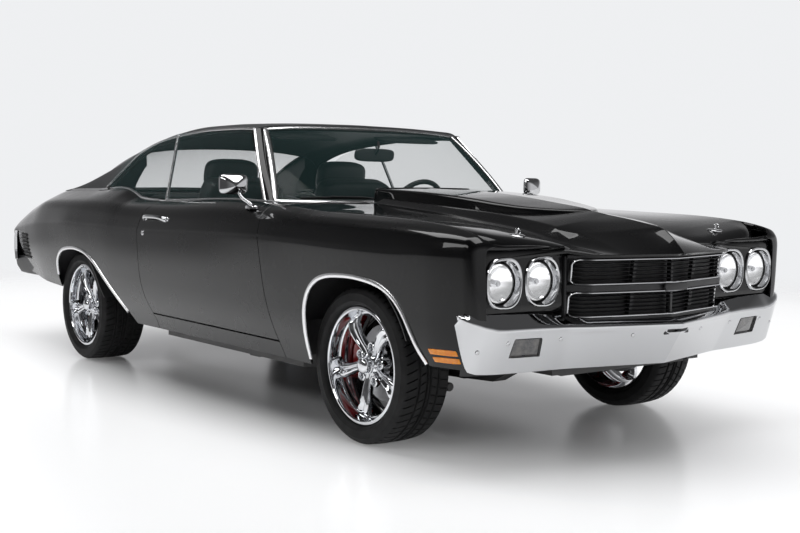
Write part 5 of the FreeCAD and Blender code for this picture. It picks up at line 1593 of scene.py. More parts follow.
@dataclass
class Deck:
    """Boot lid, deck strip and tail."""

    car: Car
    side: BodySide
    gap: float = 6.0
    wall: float = 10.0

    def surface(self) -> np.ndarray:
        """Grid of the lid from the rear window down over the tail."""
        r = self.car.rear_x
        stations = np.linspace(r - 1092, r - 492, 50)
        edge_y, edge_z = self.side.belt(stations)
        edge_y = edge_y - self.gap
        controls = np.stack([
            np.column_stack([edge_y, edge_z]),
            np.column_stack([edge_y * 0.72, edge_z + 17]),
            np.column_stack([edge_y * 0.0, edge_z + 22]),
        ], axis=1)
        flat = rounded(controls, (220.0,), (8, 8), 14)
        grid = at_stations(stations, flat)
        edge = grid[0]
        rows = []
        for angle in np.linspace(0, 68, 8)[1:]:
            a = math.radians(angle)
            row = edge.copy()
            row[:, 0] -= 18 * math.sin(a)
            row[:, 2] -= 18 * (1 - math.cos(a)) + 8 * math.sin(a)
            rows.append(row)
        last = rows[-1]
        for share in (0.33, 0.66, 1.0):
            row = last.copy()
            row[:, 2] += (754 - last[:, 2]) * share
            row[:, 0] -= 3 * share
            rows.append(row)
        return np.concatenate([np.stack(rows[::-1]), grid])

    def build(self) -> None:
        """Lid panel, and finishes for the deck strip and the tail."""
        skin = Skin.over(self.surface(), flip=True)
        self.car.add("lid_panel", both_sides(skin.shell(self.wall, 3.0)), PAINT, "trunk_lid",
                     ("trunk_lid",))
        self.car.dress(PAINT, "tail_panel", "deck_panel", "cowl_panel")


# ---------------------------------------------------------------- front end
@dataclass
class LampPanel:
    """Face panel round the four lamps, with bezels and fluted lamps."""

    car: Car
    hole: float = 84.0

    def __post_init__(self) -> None:
        """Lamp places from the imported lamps."""
        low, high = self.car.size("front_lamps")
        self.face_x = self.car.front_x + 750.0
        self.lamp_z = (low[2] + high[2]) / 2
        outer = high[1] - 76.0
        self.lamp_ys = (outer - 195.0, outer - 2.0)

    def face_at(self, y: np.ndarray) -> np.ndarray:
        """Station of the panel's face at |y|."""
        return self.face_x + np.interp(np.abs(y), [400, 446, 560, 760, 826, 850],
                                       [6, 3, 2, 0, -4, -12])

    def build(self) -> None:
        """Panel, bezels, buckets, lenses and caps."""
        ys = np.linspace(438, 850, 48)
        zs = np.concatenate([np.linspace(598, 812, 34), [822, 830, 836, 840]])
        grid = np.zeros((len(ys), len(zs), 3))
        grid[:, :, 0] = self.face_at(ys)[:, None]
        grid[:, :, 1] = ys[:, None]
        grid[:, :, 2] = zs[None, :]
        grid[:, :, 0] -= np.interp(zs, [598, 620, 812, 830, 840], [6, 0, 0, 4, 12])[None, :]
        skin = Skin.facing(grid, 0)
        for y in self.lamp_ys:
            ring = [(y + (self.hole + 2) * math.cos(a), self.lamp_z + (self.hole + 4) * math.sin(a))
                    for a in around(40)]
            skin = skin.clip(outside(ring, (1, 2)))
        self.car.add("lamp_panel", both_sides(skin.shell(10.0, 2.0)), PAINT,
                     replaces=("header_panel",))
        self.header_top()
        lamps = [self.lamp(y) for y in self.lamp_ys]
        names = ("inner", "outer")
        stands = ("front_lamps",)
        for name, parts in zip(names, lamps):
            for part, (shape, finish) in parts.items():
                self.car.add(f"{part}_{name}", both_sides(shape), finish, replaces=stands)
                stands = ()

    def header_top(self) -> None:
        """Rounded panel between the lamps' face and the hood's front edge."""
        rows = []
        for y in np.linspace(450, 840, 40):
            x0 = float(self.face_at(np.array([y]))[0])
            back = self.car.front_x + np.interp(y, [450, 600, 745, 800, 840],
                                                [762, 750, 738, 706, 676])
            top = np.interp(y, [450, 600, 745, 840], [838, 848, 851, 862])
            path = [(x0 - 2, y, 834), (x0 + 4, y, 843), (x0 - 2, y, top), (back - 8, y, top + 2),
                    (back - 14, y, top - 14)]
            rows.append(dense(path, 3.4, 3.0)[:14])
        count = min(len(row) for row in rows)
        grid = np.stack([row[:count] for row in rows])
        skin = Skin.facing(grid, 2)
        self.car.add("header_top", both_sides(skin.shell(6.0, 1.0)), PAINT)

    def bezel_line(self, angle: float, size: float) -> tuple[float, float]:
        """Egg-shaped ring: fuller towards the car's middle and the top."""
        c, s = squared(angle, 2.5)
        grow = 1 + 0.09 * max(0.0, -math.cos(angle)) + 0.045 * max(0.0, math.sin(angle))
        return c * size * grow * 0.91, s * size * grow

    def lamp(self, y: float) -> dict[str, tuple[Shape, Finish]]:
        """Pieces of one lamp.

        Args:
            y: its centre.

        Returns:
            Shape and finish by part name.
        """
        x = self.face_x
        angles = around(64)
        rings = []
        for size, depth, egg in ((92, -3, 1), (93, 4, 1), (90, 9, 1), (86, 10, 1), (82, 7, 0.8),
                                 (78, -12, 0.25), (76.5, -24, 0.0), (74, -26, 0.0)):
            ring = []
            for a in angles:
                ey, ez = self.bezel_line(a, size)
                cy, cz = size * math.cos(a), size * math.sin(a)
                ring.append((x + depth, y + ey * egg + cy * (1 - egg),
                             self.lamp_z + ez * egg + cz * (1 - egg)))
            rings.append(ring)
        bezel = grid_shape(rings, wrap=True)
        seal = turn([(77, -25), (75, -20), (72, -19), (71, -24)], (x, y, self.lamp_z),
                    (1, 0, 0), 64, False)
        bucket = turn([(73, -23), (67, -31), (56, -40), (40, -48), (24, -53), (0.001, -56)],
                      (x, y, self.lamp_z), (1, 0, 0), 18, False)
        ribs = 40
        lens_rings = []
        for share in np.linspace(0, 1, 18):
            radius = 0.5 + 71.5 * share
            ring = []
            for k in range(ribs * 4):
                a = 2 * math.pi * k / (ribs * 4)
                flute = 1.1 * math.cos(a * ribs) * min(1.0,
                                                       max(0.0, share - 0.28) * 6) * (share < 0.97)
                ring.append((x - 21 + 11 * (1 - share ** 2) + flute, y + radius * math.cos(a),
                             self.lamp_z + radius * math.sin(a)))
            lens_rings.append(ring)
        lens = grid_shape(np.array(lens_rings)[:, ::-1], wrap=True)
        cap = turn([(0.001, -20), (9, -20.5), (12, -25), (13, -34), (13, -52)], (x, y, self.lamp_z),
                   (1, 0, 0), 32)
        marks = total([turn([(0.001, 3), (2.6, 2), (3, 0)],
                            (x - 14, y + 60 * math.cos(a), self.lamp_z + 60 * math.sin(a)),
                            (1, 0, 0), 10) for a in (0.6, 2.7, 4.7)])
        return {"lamp_bezel": (bezel, CHROME), "lamp_ring": (seal, SEAL),
                "lamp_bucket": (bucket, REFLECTOR), "lamp_lens": (lens, LENS),
                "lamp_cap": (cap, CHROME), "lamp_marks": (marks, CHROME)}


@dataclass
class Grille:
    """Split grille: two framed openings, slats, posts and the dark centre bar.

    Attributes:
        car: the car that it is fitted to.
        openings: lower and upper edge of the two openings.
        slats: slats in each opening.
        post_y: distance of the outer posts from the car's middle.
    """

    car: Car
    openings: tuple[tuple[float, float], ...] = ((577, 668), (701, 794))
    slats: int = 5
    post_y: float = 175.0

    def station(self, y: np.ndarray, z: float) -> np.ndarray:
        """Station of the grille's face at |y| and a height."""
        lean = np.interp(z, [570, 800], [-22, 4])
        plan = np.interp(np.abs(y), [0, 262, 385, 420, 446], [926, 872, 842, 800, 768])
        return self.car.front_x + plan + lean

    def line(self, y0: float, y1: float, z: float, back: float, step: float = 12.0) -> np.ndarray:
        """Level path across the grille, set back from its face."""
        ys = np.linspace(y0, y1, max(2, int(abs(y1 - y0) / step) + 1))
        xs = fair(ys, np.linspace(-446, 446, 75), self.station(np.linspace(-446, 446, 75), z), 6.0)
        return np.column_stack([xs - back, ys, np.full(len(ys), z)])

    def frame(self, low: float, high: float) -> Shape:
        """Bright frame round one opening, rounded at its outer ends."""
        corner = 20.0
        wide = 436.0
        points = []
        for y in np.linspace(-wide + corner, wide - corner, 70):
            points.append((y, high))
        for a in np.linspace(90, -90, 11):
            c, s = math.cos(math.radians(a)), math.sin(math.radians(a))
            points.append((wide - corner + corner * c,
                           (high if a > 0 else low) - corner * (1 if a > 0 else -1) + corner * s))
        for y in np.linspace(wide - corner, -wide + corner, 70):
            points.append((y, low))
        for a in np.linspace(270, 90, 11):
            c, s = math.cos(math.radians(a)), math.sin(math.radians(a))
            points.append((-wide + corner + corner * c,
                           (high if s > 0 else low) - corner * (1 if s > 0 else -1) + corner * s))
        clean = [points[0]]
        for point in points[1:]:
            if math.dist(point, clean[-1]) > 1.0:
                clean.append(point)
        if math.dist(clean[0], clean[-1]) < 1.0:
            clean.pop()
        path = np.array([(float(self.station(np.array([y]), z)[0]), y, z) for y, z in clean])
        return sweep(path, AHEAD, [(3.2, -9), (3.2, 3), (1.6, 5), (-1.6, 5), (-3.2, 3), (-3.2, -9)],
                     closed=True)

    def build(self) -> None:
        """Frames, slats, posts, bars and the dark backing."""
        frames = total([self.frame(*opening) for opening in self.openings])
        self.car.add("grille_frames", frames, CHROME, replaces=("grille",))
        slats = []
        for low, high in self.openings:
            for k in range(1, self.slats + 1):
                z = low + (high - low) * k / (self.slats + 1)
                path = self.line(-432, 432, z, 16.0)
                slats.append(sweep(path, AHEAD,
                                   [(1.6, -24), (1.6, 3), (0, 5), (-1.6, 3), (-1.6, -24)]))
        self.car.add("grille_slats", total(slats), SATIN)
        posts = []
        for sign in (1, -1):
            for low, high in self.openings:
                path = np.array([(self.station(np.array([self.post_y]), z)[0] - 28,
                                  sign * self.post_y, z)
                                 for z in np.linspace(low + 2, high - 2, 8)])
                posts.append(sweep(path, AHEAD, [(9, -14), (9, 4), (-9, 4), (-9, -14)]))
        post_x = float(self.station(np.array([0.0]), 640)[0])
        posts.append(box((post_x - 34, -6, 580), (post_x - 12, 6, 792), 2.0))
        self.car.add("grille_posts", total(posts), SATIN)
        bars = []
        for low, high, back in ((671, 698, 2.0), (797, 812, 10.0), (560, 574, 6.0)):
            path = self.line(-442, 442, (low + high) / 2, back)
            h = (high - low) / 2
            bars.append(sweep(path, AHEAD,
                              [(h, -22), (h, 0), (h - 3, 3), (3 - h, 3), (-h, 0), (-h, -22)]))
        self.car.add("grille_bars", total(bars), SATIN)
        path = self.line(-440, 440, 686, 52.0)
        backing = sweep(path, AHEAD, [(118, -3), (118, 0), (-118, 0), (-118, -3)])
        self.car.add("grille_backing", backing, SATIN)
        f = self.car.front_x
        cheek = box((f + 700, 437, 566), (f + 762, 449, 806), 3.0)
        self.car.add("grille_cheeks", both_sides(cheek), SATIN)
        tip = float(self.station(np.array([0.0]), 684)[0])
        outline = [(-60, -15), (60, -15), (66, -6), (60, 15), (-60, 15), (-66, 6)]
        rounded_outline = dense(outline + outline[:1], 4.0, 4.0)[:-1]
        plaque = slab(rounded_outline, 9.0, 3.0)
        matrix = np.array([[0.0, 0, 1.0], [1.0, 0, 0], [0, 1.0, 0]])
        plaque = plaque.turned(matrix).moved(tip + 1, 0, 684)
        self.car.add("grille_plaque", plaque, SATIN)


@dataclass
class Bumpers:
    """Front and rear blades with their lamps, bolts and slot.

    Attributes:
        car: the car that they are fitted to.
        prow_y: half width of the front blade's prow at its ridge.
        prow_low_y: the same at its foot.
        face_pieces: pieces from the chin down to the bottom edge.
    """

    car: Car
    prow_y: float = 480.0
    prow_low_y: float = 424.0
    face_pieces: int = 16

    def __post_init__(self) -> None:
        """Section rows: |y|, then (x, z) of the back top, ridge, chin and bottom edge."""
        f, r = self.car.front_x, self.car.rear_x
        self.front_rows = [
            (0, f + 910, 560, f + 968, 546, f + 962, 530, f + 872, 378),
            (225, f + 866, 560, f + 900, 545, f + 893, 529, f + 814, 378),
            (390, f + 812, 568, f + 850, 545, f + 843, 529, f + 770, 378),
            (480, f + 770, 584, f + 822, 546, f + 814, 529, f + 754, 378),
            (600, f + 760, 596, f + 806, 547, f + 798, 529, f + 742, 378),
            (760, f + 754, 601, f + 792, 547, f + 785, 530, f + 728, 380),
            (800, f + 750, 602, f + 785, 549, f + 779, 532, f + 724, 382),
            (850, f + 746, 603, f + 776, 561, f + 770, 545, f + 718, 386),
            (888, f + 740, 604, f + 763, 575, f + 757, 560, f + 712, 398),
            (902, f + 735, 604, f + 755, 581, f + 750, 567, f + 709, 430),
            (915, f + 728, 604, f + 746, 587, f + 742, 575, f + 705, 478),
            (926, f + 718, 604, f + 735, 593, f + 732, 584, f + 700, 530),
            (933, f + 706, 604, f + 722, 598, f + 719, 592, f + 694, 578),
        ]
        self.rear_rows = [
            (0, r - 1130, 738, r - 1190, 702, r - 1197, 600, r - 1152, 534),
            (500, r - 1130, 738, r - 1188, 702, r - 1195, 600, r - 1150, 534),
            (760, r - 1128, 738, r - 1172, 701, r - 1180, 600, r - 1138, 534),
            (850, r - 1104, 737, r - 1140, 699, r - 1147, 600, r - 1112, 536),
            (890, r - 1066, 735, r - 1094, 698, r - 1099, 600, r - 1072, 540),
            (908, r - 1010, 732, r - 1022, 698, r - 1025, 600, r - 1012, 544),
            (912, r - 974, 730, r - 978, 698, r - 979, 600, r - 974, 546),
        ]

    def blade(self, rows: Sequence[tuple], soft: float) -> Skin:
        """Skin of a half blade, its left half.

        Args:
            rows: section table.
            soft: rounding of the facets across the car.

        Returns:
            The skin.
        """
        knots = column(rows, 0)
        ys = np.concatenate([np.linspace(0, knots[-3], 90),
                             np.linspace(knots[-3], knots[-1], 16)[1:]])
        taps = np.linspace(-1, 1, 7)
        weight = np.exp(-2 * taps ** 2)
        values = []
        for k in range(1, 9):
            mean = sum(w * np.interp(np.abs(ys + t * soft), knots, column(rows, k))
                       for t, w in zip(taps, weight))
            values.append(mean / weight.sum())
        controls = np.stack([np.column_stack([values[k], values[k + 1]])
                             for k in range(0, 8, 2)], axis=1)
        flat = rounded(controls, (15.0, 10.0), (6, 3, self.face_pieces), 6)
        if rows is self.front_rows:
            self.form_prow(flat[:, -self.face_pieces - 1:], ys[:, None], values)
        place = np.broadcast_to(ys[:, None], flat.shape[:2])
        grid = np.stack([flat[..., 0], place, flat[..., 1]], axis=2)
        return Skin.facing(grid, 0, rows[0][3])

    def form_prow(self, face: np.ndarray, ys: np.ndarray, values: Sequence[np.ndarray]) -> None:
        """Bend the front blade's face, in place, to a flat-sided prow in its middle.

        Args:
            face: samples of the face below the chin, as (x, z).
            ys: distance of each section from the car's middle, as a column.
            values: the smoothed columns of the section table.
        """
        share = (values[5][:, None] - face[..., 1]) / (values[5] - values[7])[:, None]
        ridge, chin = ([row[k] for row in self.front_rows if row[0] in (0, self.prow_y)]
                       for k in (5, 7))
        prow = ridge[0] - ys * (ridge[0] - ridge[1]) / self.prow_y
        prow_low = chin[0] - ys * (chin[0] - chin[1] - 10) / self.prow_low_y
        wing = ridge[1] + (self.prow_y - ys) * 0.12 + share * (chin[1] - ridge[1])
        prow_x = np.maximum(prow + (prow_low - prow) * share, wing)
        face[..., 0] = np.where(ys < self.prow_y, prow_x, face[..., 0])

    def build(self) -> None:
        """Both blades and what is fitted to them."""
        f = self.car.front_x
        lamp = [(578, 436), (724, 440), (716, 512), (592, 510)]
        front = self.blade(self.front_rows, 8.0)
        pocket = dense(lamp + lamp[:1], 6.0, 3.0)[:-1]
        front = front.clip(outside(pocket, (1, 2)))
        slot = [(0, 508), (62, 506), (62, 522), (0, 523)]
        front = front.clip(outside([(-30, 508)] + slot[1:3] + [(-30, 523)], (1, 2)))
        self.car.add("front_blade", both_sides(front.shell(14.0, 2.0)), CHROME,
                     replaces=("front_bumper",))
        self.parking(pocket)
        rear = self.blade(self.rear_rows, 26.0)
        window = [(562, 608), (788, 608), (788, 688), (562, 688)]
        window = dense(window + window[:1], 8.0, 9.0)[:-1]
        rear = rear.clip(outside(window, (1, 2)))
        self.car.add("rear_blade", both_sides(rear.shell(14.0, 2.0)), CHROME,
                     replaces=("rear_bumper",))
        self.tail(window)
        self.bolts()
        slot_back = box((f + 920, -70, 500), (f + 932, 70, 530), 2.0)
        self.car.add("bumper_slot", slot_back, SATIN)
        valance = np.array([(x, y, 396.0) for y, x in zip(np.linspace(-880, 880, 61), fair(
            np.linspace(-880, 880, 61), [-900, -850, -440, 0, 440, 850, 900],
            [f + 650, f + 690, f + 735, f + 820, f + 735, f + 690, f + 650], 30.0))])
        section = [(38, -4), (38, 0), (-26, -10), (-30, -26), (-26, -30), (-20, -12)]
        self.car.add("front_valance", sweep(valance, (1.0, 0, -0.2), section), SATIN)

    def front_at(self, y: float, z: float) -> float:
        """Station of the front blade's face at |y| and a height."""
        knots = column(self.front_rows, 0)
        chin_x, chin_z = (np.interp(abs(y), knots, column(self.front_rows, k)) for k in (5, 6))
        low_x, low_z = (np.interp(abs(y), knots, column(self.front_rows, k)) for k in (7, 8))
        return float(np.interp(z, [low_z, chin_z], [low_x, chin_x]))

    def parking(self, pocket: np.ndarray) -> None:
        """Smoked lamps set in dark frames."""
        rings = []
        for size, back in ((1.0, 1.0), (0.97, -2.0), (0.93, 1.0), (0.9, 6.0)):
            rings.append([(self.front_at(y, z) - back, y, z) for y, z in shrunk(pocket, size)])
        self.car.add("parking_frames", both_sides(grid_shape(rings, wrap=True).reversed()), SATIN)
        rings = []
        for size in (0.93, 0.75, 0.5, 0.25, 0.02):
            rings.append([(self.front_at(y, z) - 7 + 3 * (1 - size), y, z)
                          for y, z in shrunk(pocket, size)])
        lens = grid_shape(rings, wrap=True)
        self.car.add("parking_lenses", both_sides(lens), SMOKED, replaces=("parking_lamps",))

    def tail(self, window: np.ndarray) -> None:
        """Ribbed red lamps in the rear blade, with bright centre bars."""

        def face(y: float) -> float:
            """Station of the rear blade's ridge at |y|."""
            return float(np.interp(y, column(self.rear_rows, 0), column(self.rear_rows, 5)))

        rings = []
        for size in (1.0, 0.96, 0.9, 0.8, 0.7, 0.6, 0.5, 0.4, 0.3, 0.2, 0.1, 0.02):
            depth = 9 - 5 * min(1.0, (1 - size) * 8)
            rings.append([(face(y) + depth, y, z) for y, z in shrunk(window, size)])
        lens = grid_shape(np.array(rings)[:, ::-1], wrap=True)
        self.car.add("tail_lenses", both_sides(lens), RED, replaces=("tail_lamps",))
        loop = np.array([(face(y) - 1, y, z) for y, z in window])
        frame = sweep(loop, (-1.0, 0.0, 0.0), half_round(9.0, 4.0), closed=True)
        self.car.add("tail_frames", both_sides(frame), CHROME)
        bars = [box((face(675), y - 2, 612), (face(675) + 7, y + 2, 684), 1.0)
                for y in (632, 675, 718)]
        self.car.add("tail_bars", both_sides(total(bars)), CHROME)

    def bolts(self) -> None:
        """Carriage bolts with domed heads."""
        heads = []
        for y, z in ((745, 498), (502, 500), (200, 503), (862, 470)):
            x = self.front_at(y, z)
            heads.append(turn([(0.001, 4.0), (5, 3.4), (8.5, 1.6), (9.5, -1)], (x, y, z),
                              (1, 0, -0.35), 18))
        self.car.add("bumper_bolts", both_sides(total(heads)), CHROME)


# ---------------------------------------------------------------- wheels
class End(Enum):
    """Which axle a wheel is on."""

    FRONT = "front"
    REAR = "rear"


@dataclass
class RoadWheel:
    """Five-spoke polished wheel with its tyre, disc and caliper."""

    car: Car
    end: End
    spokes: int = 5
    pitches: int = 56
    groove: float = 7.0
    rim_radius: float = 244.0
    lug_circle: float = 74.0
    first_spoke: float = 44.6
    disc_radius: float = 160.0

    def __post_init__(self) -> None:
        """Read the wheel's place and widths."""
        name = f"{self.end.value}_left"
        low, high = self.car.size(f"rim_{name}")
        self.face_y = high[1]
        self.rim_width = high[1] - low[1]
        low, high = self.car.size(f"tyre_{name}")
        self.tyre_width = high[1] - low[1]
        self.centre = ((low[0] + high[0]) / 2, (low[1] + high[1]) / 2, (low[2] + high[2]) / 2)
        self.radius = (high[2] - low[2]) / 2

    def spot(self, radius: float, angle: float, y: float) -> tuple[float, float, float]:
        """Point at a radius and an angle about the axle."""
        x, _, z = self.centre
        return x + radius * math.cos(angle), y, z + radius * math.sin(angle)

    def about(self, profile: Sequence[tuple[float, float]], steps: int = 96) -> Shape:
        """Turn (radius, depth behind the rim's face) about the axle."""
        x, _, z = self.centre
        return turn([(r, -d) for r, d in profile], (x, self.face_y, z), (0, 1, 0), steps, False)

    def build(self) -> None:
        """Rim, spokes, nuts, cap, disc, caliper and tyre of both sides."""
        end = self.end.value
        body = f"wheel_{end}"
        self.car.pair(f"rim_barrel_{end}", self.barrel(), WHEEL_CHROME, body, f"rim_{end}")
        self.car.pair(f"spokes_{end}", self.all_spokes(), WHEEL_CHROME, body)
        self.car.pair(f"wheel_hub_{end}", self.hub(), WHEEL_CHROME, body)
        self.car.pair(f"lug_nuts_{end}", self.nuts(), CHROME, body)
        self.car.pair(f"brake_disc_{end}", self.disc(), DISC, body)
        self.car.pair(f"tyre_tread_{end}", self.tyre(), RUBBER, body, f"tyre_{end}")
        holder = "knuckle" if self.end is End.FRONT else "body_shell"
        self.car.pair(f"caliper_cover_{end}", self.caliper(), CALIPER, holder)

    def barrel(self) -> Shape:
        """Deep lip, step and inner barrel with both flanges."""
        width, r = self.rim_width, self.rim_radius
        outer = [(r - 9, 13), (r - 1, 11), (r, 5), (r - 1, 1.5), (r - 4, 0), (r - 13, 0.6),
                 (r - 17, 4), (r - 18.5, 10), (r - 20, 26), (r - 21, 42), (r - 24, 50),
                 (r - 32, 53), (r - 30, 58), (r - 33, 76), (r - 40, 92), (r - 42, width - 80),
                 (r - 30, width - 50), (r - 18, width - 30), (r - 10, width - 2), (r - 4, width),
                 (r, width - 4), (r, width - 12), (r - 10, width - 14)]
        return self.about(outer, 112)

    def spoke(self) -> Shape:
        """One spoke along +X: twin ridges, a knee and a flared foot in the lip."""
        table = [(34, 50, 18, 0), (60, 47, 19, 1.5), (95, 38, 21, 4), (130, 31, 25, 6),
                 (160, 27, 30, 6), (184, 26, 35, 4), (198, 29, 38, 2), (207, 36, 41, 1),
                 (216, 48, 44, 0), (223, 58, 46, 0)]
        knots = column(table, 0)
        rs = np.concatenate([np.linspace(34, 190, 22), np.linspace(193, 222, 12)])
        depth, half, bend = (fair(rs, knots, column(table, k), 5.0) for k in (1, 2, 3))
        section = [(-1.0, 26), (-1.0, 9), (-0.92, 3), (-0.74, -1.5), (-0.5, -2.5), (-0.3, 1.0),
                   (-0.14, 5.0), (0.0, 6.5), (0.14, 5.0), (0.3, 1.0), (0.5, -2.5), (0.74, -1.5),
                   (0.92, 3), (1.0, 9), (1.0, 26), (0.5, 30), (-0.5, 30)]
        rows = []
        for r, d, h, b in zip(rs, depth, half, bend):
            angle = math.radians(b)
            row = []
            for u, rise in section:
                along, across = r, u * h
                x = along * math.cos(angle) - across * math.sin(angle)
                z = along * math.sin(angle) + across * math.cos(angle)
                row.append((x, -(d + rise), z))
            rows.append(row)
        return grid_shape(rows, wrap=True, cap=True)

    def all_spokes(self) -> Shape:
        """Five spokes round the axle."""
        x, _, z = self.centre
        single = self.spoke()
        step = 2 * math.pi / self.spokes
        first = math.radians(-self.first_spoke)
        parts = [single.turned(spin((0, 1, 0), first + step * k)) for k in range(self.spokes)]
        return total(parts).moved(x, self.face_y, z)

    def lug_angles(self) -> list[float]:
        """Angles of the five nuts, between the spokes."""
        step = 2 * math.pi / self.spokes
        return [math.radians(self.first_spoke) + step * (k + 0.5) for k in range(self.spokes)]

    def hub(self) -> Shape:
        """Hub face with a socket round each nut and the plain domed cap."""
        face = self.about([(31, 44), (36, 46), (54, 58), (70, 66), (76, 74), (76, 100),
                           (58, 124)], 64)
        cap = self.about([(0.001, 1), (12, 1.5), (24, 4), (31, 9), (35, 17), (36, 30), (35, 42),
                          (37, 47)], 48)
        lip = self.about([(35.5, 36), (38, 37), (39, 40), (37, 43)], 48)
        rings = []
        for angle in self.lug_angles():
            at = self.spot(self.lug_circle, angle, self.face_y)
            profile = [(15, 84), (15, 50), (16.5, 47), (20, 46.5), (23, 49), (24, 60),
                       (24, 84), (20, 96)]
            rings.append(turn([(r, -d) for r, d in profile], at, (0, 1, 0), 32, False))
        return face + cap + lip + total(rings)

    def nuts(self) -> Shape:
        """Closed hexagon nuts."""
        nuts = []
        for angle in self.lug_angles():
            at = self.spot(self.lug_circle, angle, self.face_y)
            nuts.append(turn([(11, -84), (10.5, -64), (8, -59), (4, -57), (0.001, -56.5)], at,
                             (0, 1, 0), 6))
            nuts.append(turn([(14.8, -80), (14.5, -77), (11, -75), (0.001, -75)], at,
                             (0, 1, 0), 24))
        return total(nuts)

    def disc(self) -> Shape:
        """Vented disc with drilled faces and its bell."""
        r = self.disc_radius
        depth = self.face_y - (self.centre[1] - 22)
        outer = [(64, depth + 26), (70, depth + 5), (78, depth + 1), (80, depth), (r, depth),
                 (r, depth + 8), (r - 6, depth + 10), (r - 6, depth + 16), (r, depth + 18),
                 (r, depth + 26), (80, depth + 26)]
        plate = self.about(outer, 96)
        y = self.face_y - depth
        holes = []
        for k in range(36):
            angle = 2 * math.pi * k / 36
            for j, radius in enumerate((98, 120, 142)):
                a = angle + j * 0.06
                at = self.spot(radius, a, y)
                holes.append(turn([(0.001, -0.4), (3.4, -0.4), (4.2, 0.5)], at, (0, 1, 0), 8))
        return plate + total(holes)

    def caliper(self) -> Shape:
        """Ribbed caliper over the solid one."""
        x, y, z = self.centre
        middle = math.pi if self.end is End.FRONT else math.pi / 2
        disc_y = y - 35
        rows = []
        section = [(102, -50), (150, -52), (186, -48), (194, -36), (196, 0), (194, 28), (187, 40),
                   (150, 42), (102, 40)]
        section = dense(section, 7.0, 4.0)
        for angle in np.linspace(-0.37, 0.37, 19):
            rib = 2.0 if abs(abs(angle) - 0.19) < 0.05 else 0.0
            ends = 1.0 - 0.05 * (abs(angle) > 0.34)
            a = middle + angle
            row = [(x + (r * ends - rib * (r < 190)) * math.cos(a),
                    disc_y + dy * ends + rib * (dy > 30),
                    z + (r * ends - rib * (r < 190)) * math.sin(a)) for r, dy in section]
            rows.append(row)
        cover = grid_shape(rows, wrap=True, cap=True)
        bolts = []
        for angle in (-0.27, 0.27):
            a = middle + angle
            at = self.spot(150, a, disc_y)
            bolts.append(turn([(9, 38), (9, 46), (6, 48), (0.001, 48)], at, (0, 1, 0), 6))
        cover = outward(cover)
        return cover + total(bolts)

    def tyre(self) -> Shape:
        """Low tyre: rounded side walls and sheared tread blocks between three grooves."""
        half = self.tyre_width / 2
        top = self.radius
        wall = [(238, half - 34), (243, half - 30), (248, half - 22), (251, half - 12),
                (256, half - 5), (264, half - 1.2), (266, half + 0.0), (268, half - 0.6),
                (282, half), (294, half - 2.6), (297, half - 2.4), (299, half - 4.0),
                (308, half - 9), (314, half - 14)]
        shoulder = [(319, half - 20, True, 0.35), (322.4, half - 27, True, 1.0)]
        share_rows = [(0.93, True), (0.8, True), (0.64, True), (0.6, False)]
        tread = [(top - 4 * (share ** 4), (half - 32) * share, cut, 1.0)
                 for share, cut in share_rows]
        edge = half - 32
        columns = [(r, y, False, 0.0) for r, y in wall]
        columns += shoulder + tread
        down = self.groove
        for outer, inner in ((0.56, 0.47), (0.13, 0.04)):
            columns += [(top - down, edge * outer, False, 0.0),
                        (top - down, edge * inner, False, 0.0)]
            if outer > 0.5:
                columns += [(top, edge * 0.44, False, 0.0), (top, edge * 0.36, True, 1.0),
                            (top, edge * 0.2, True, 1.0), (top, edge * 0.17, False, 0.0)]
        columns += [(top, edge * 0.015, False, 0.0)]
        columns += [(r, -y, cut, share) for r, y, cut, share in columns[::-1]]
        radii = np.array([c[0] for c in columns])
        ys = np.array([c[1] for c in columns])
        cuts = np.array([c[2] for c in columns])
        depth = np.array([c[3] for c in columns]) * down
        sweepback = 0.11 * (1 - np.abs(ys) / half) ** 1.4
        fractions = [(0.0, 0), (0.035, 1), (0.15, 1), (0.185, 0), (0.6, 0)]
        rows = []
        for pitch in range(self.pitches):
            for share, low in fractions:
                angle = 2 * math.pi * (pitch + share) / self.pitches
                a = angle + sweepback * (1 + 0.35 * np.sign(ys))
                r = radii - np.where(cuts, depth * low, 0.0)
                rows.append(np.column_stack([r * np.cos(a), ys, r * np.sin(a)]))
        shape = grid_shape(rows, wrap_rows=True)
        shape = outward(shape)
        return shape.moved(*self.centre)


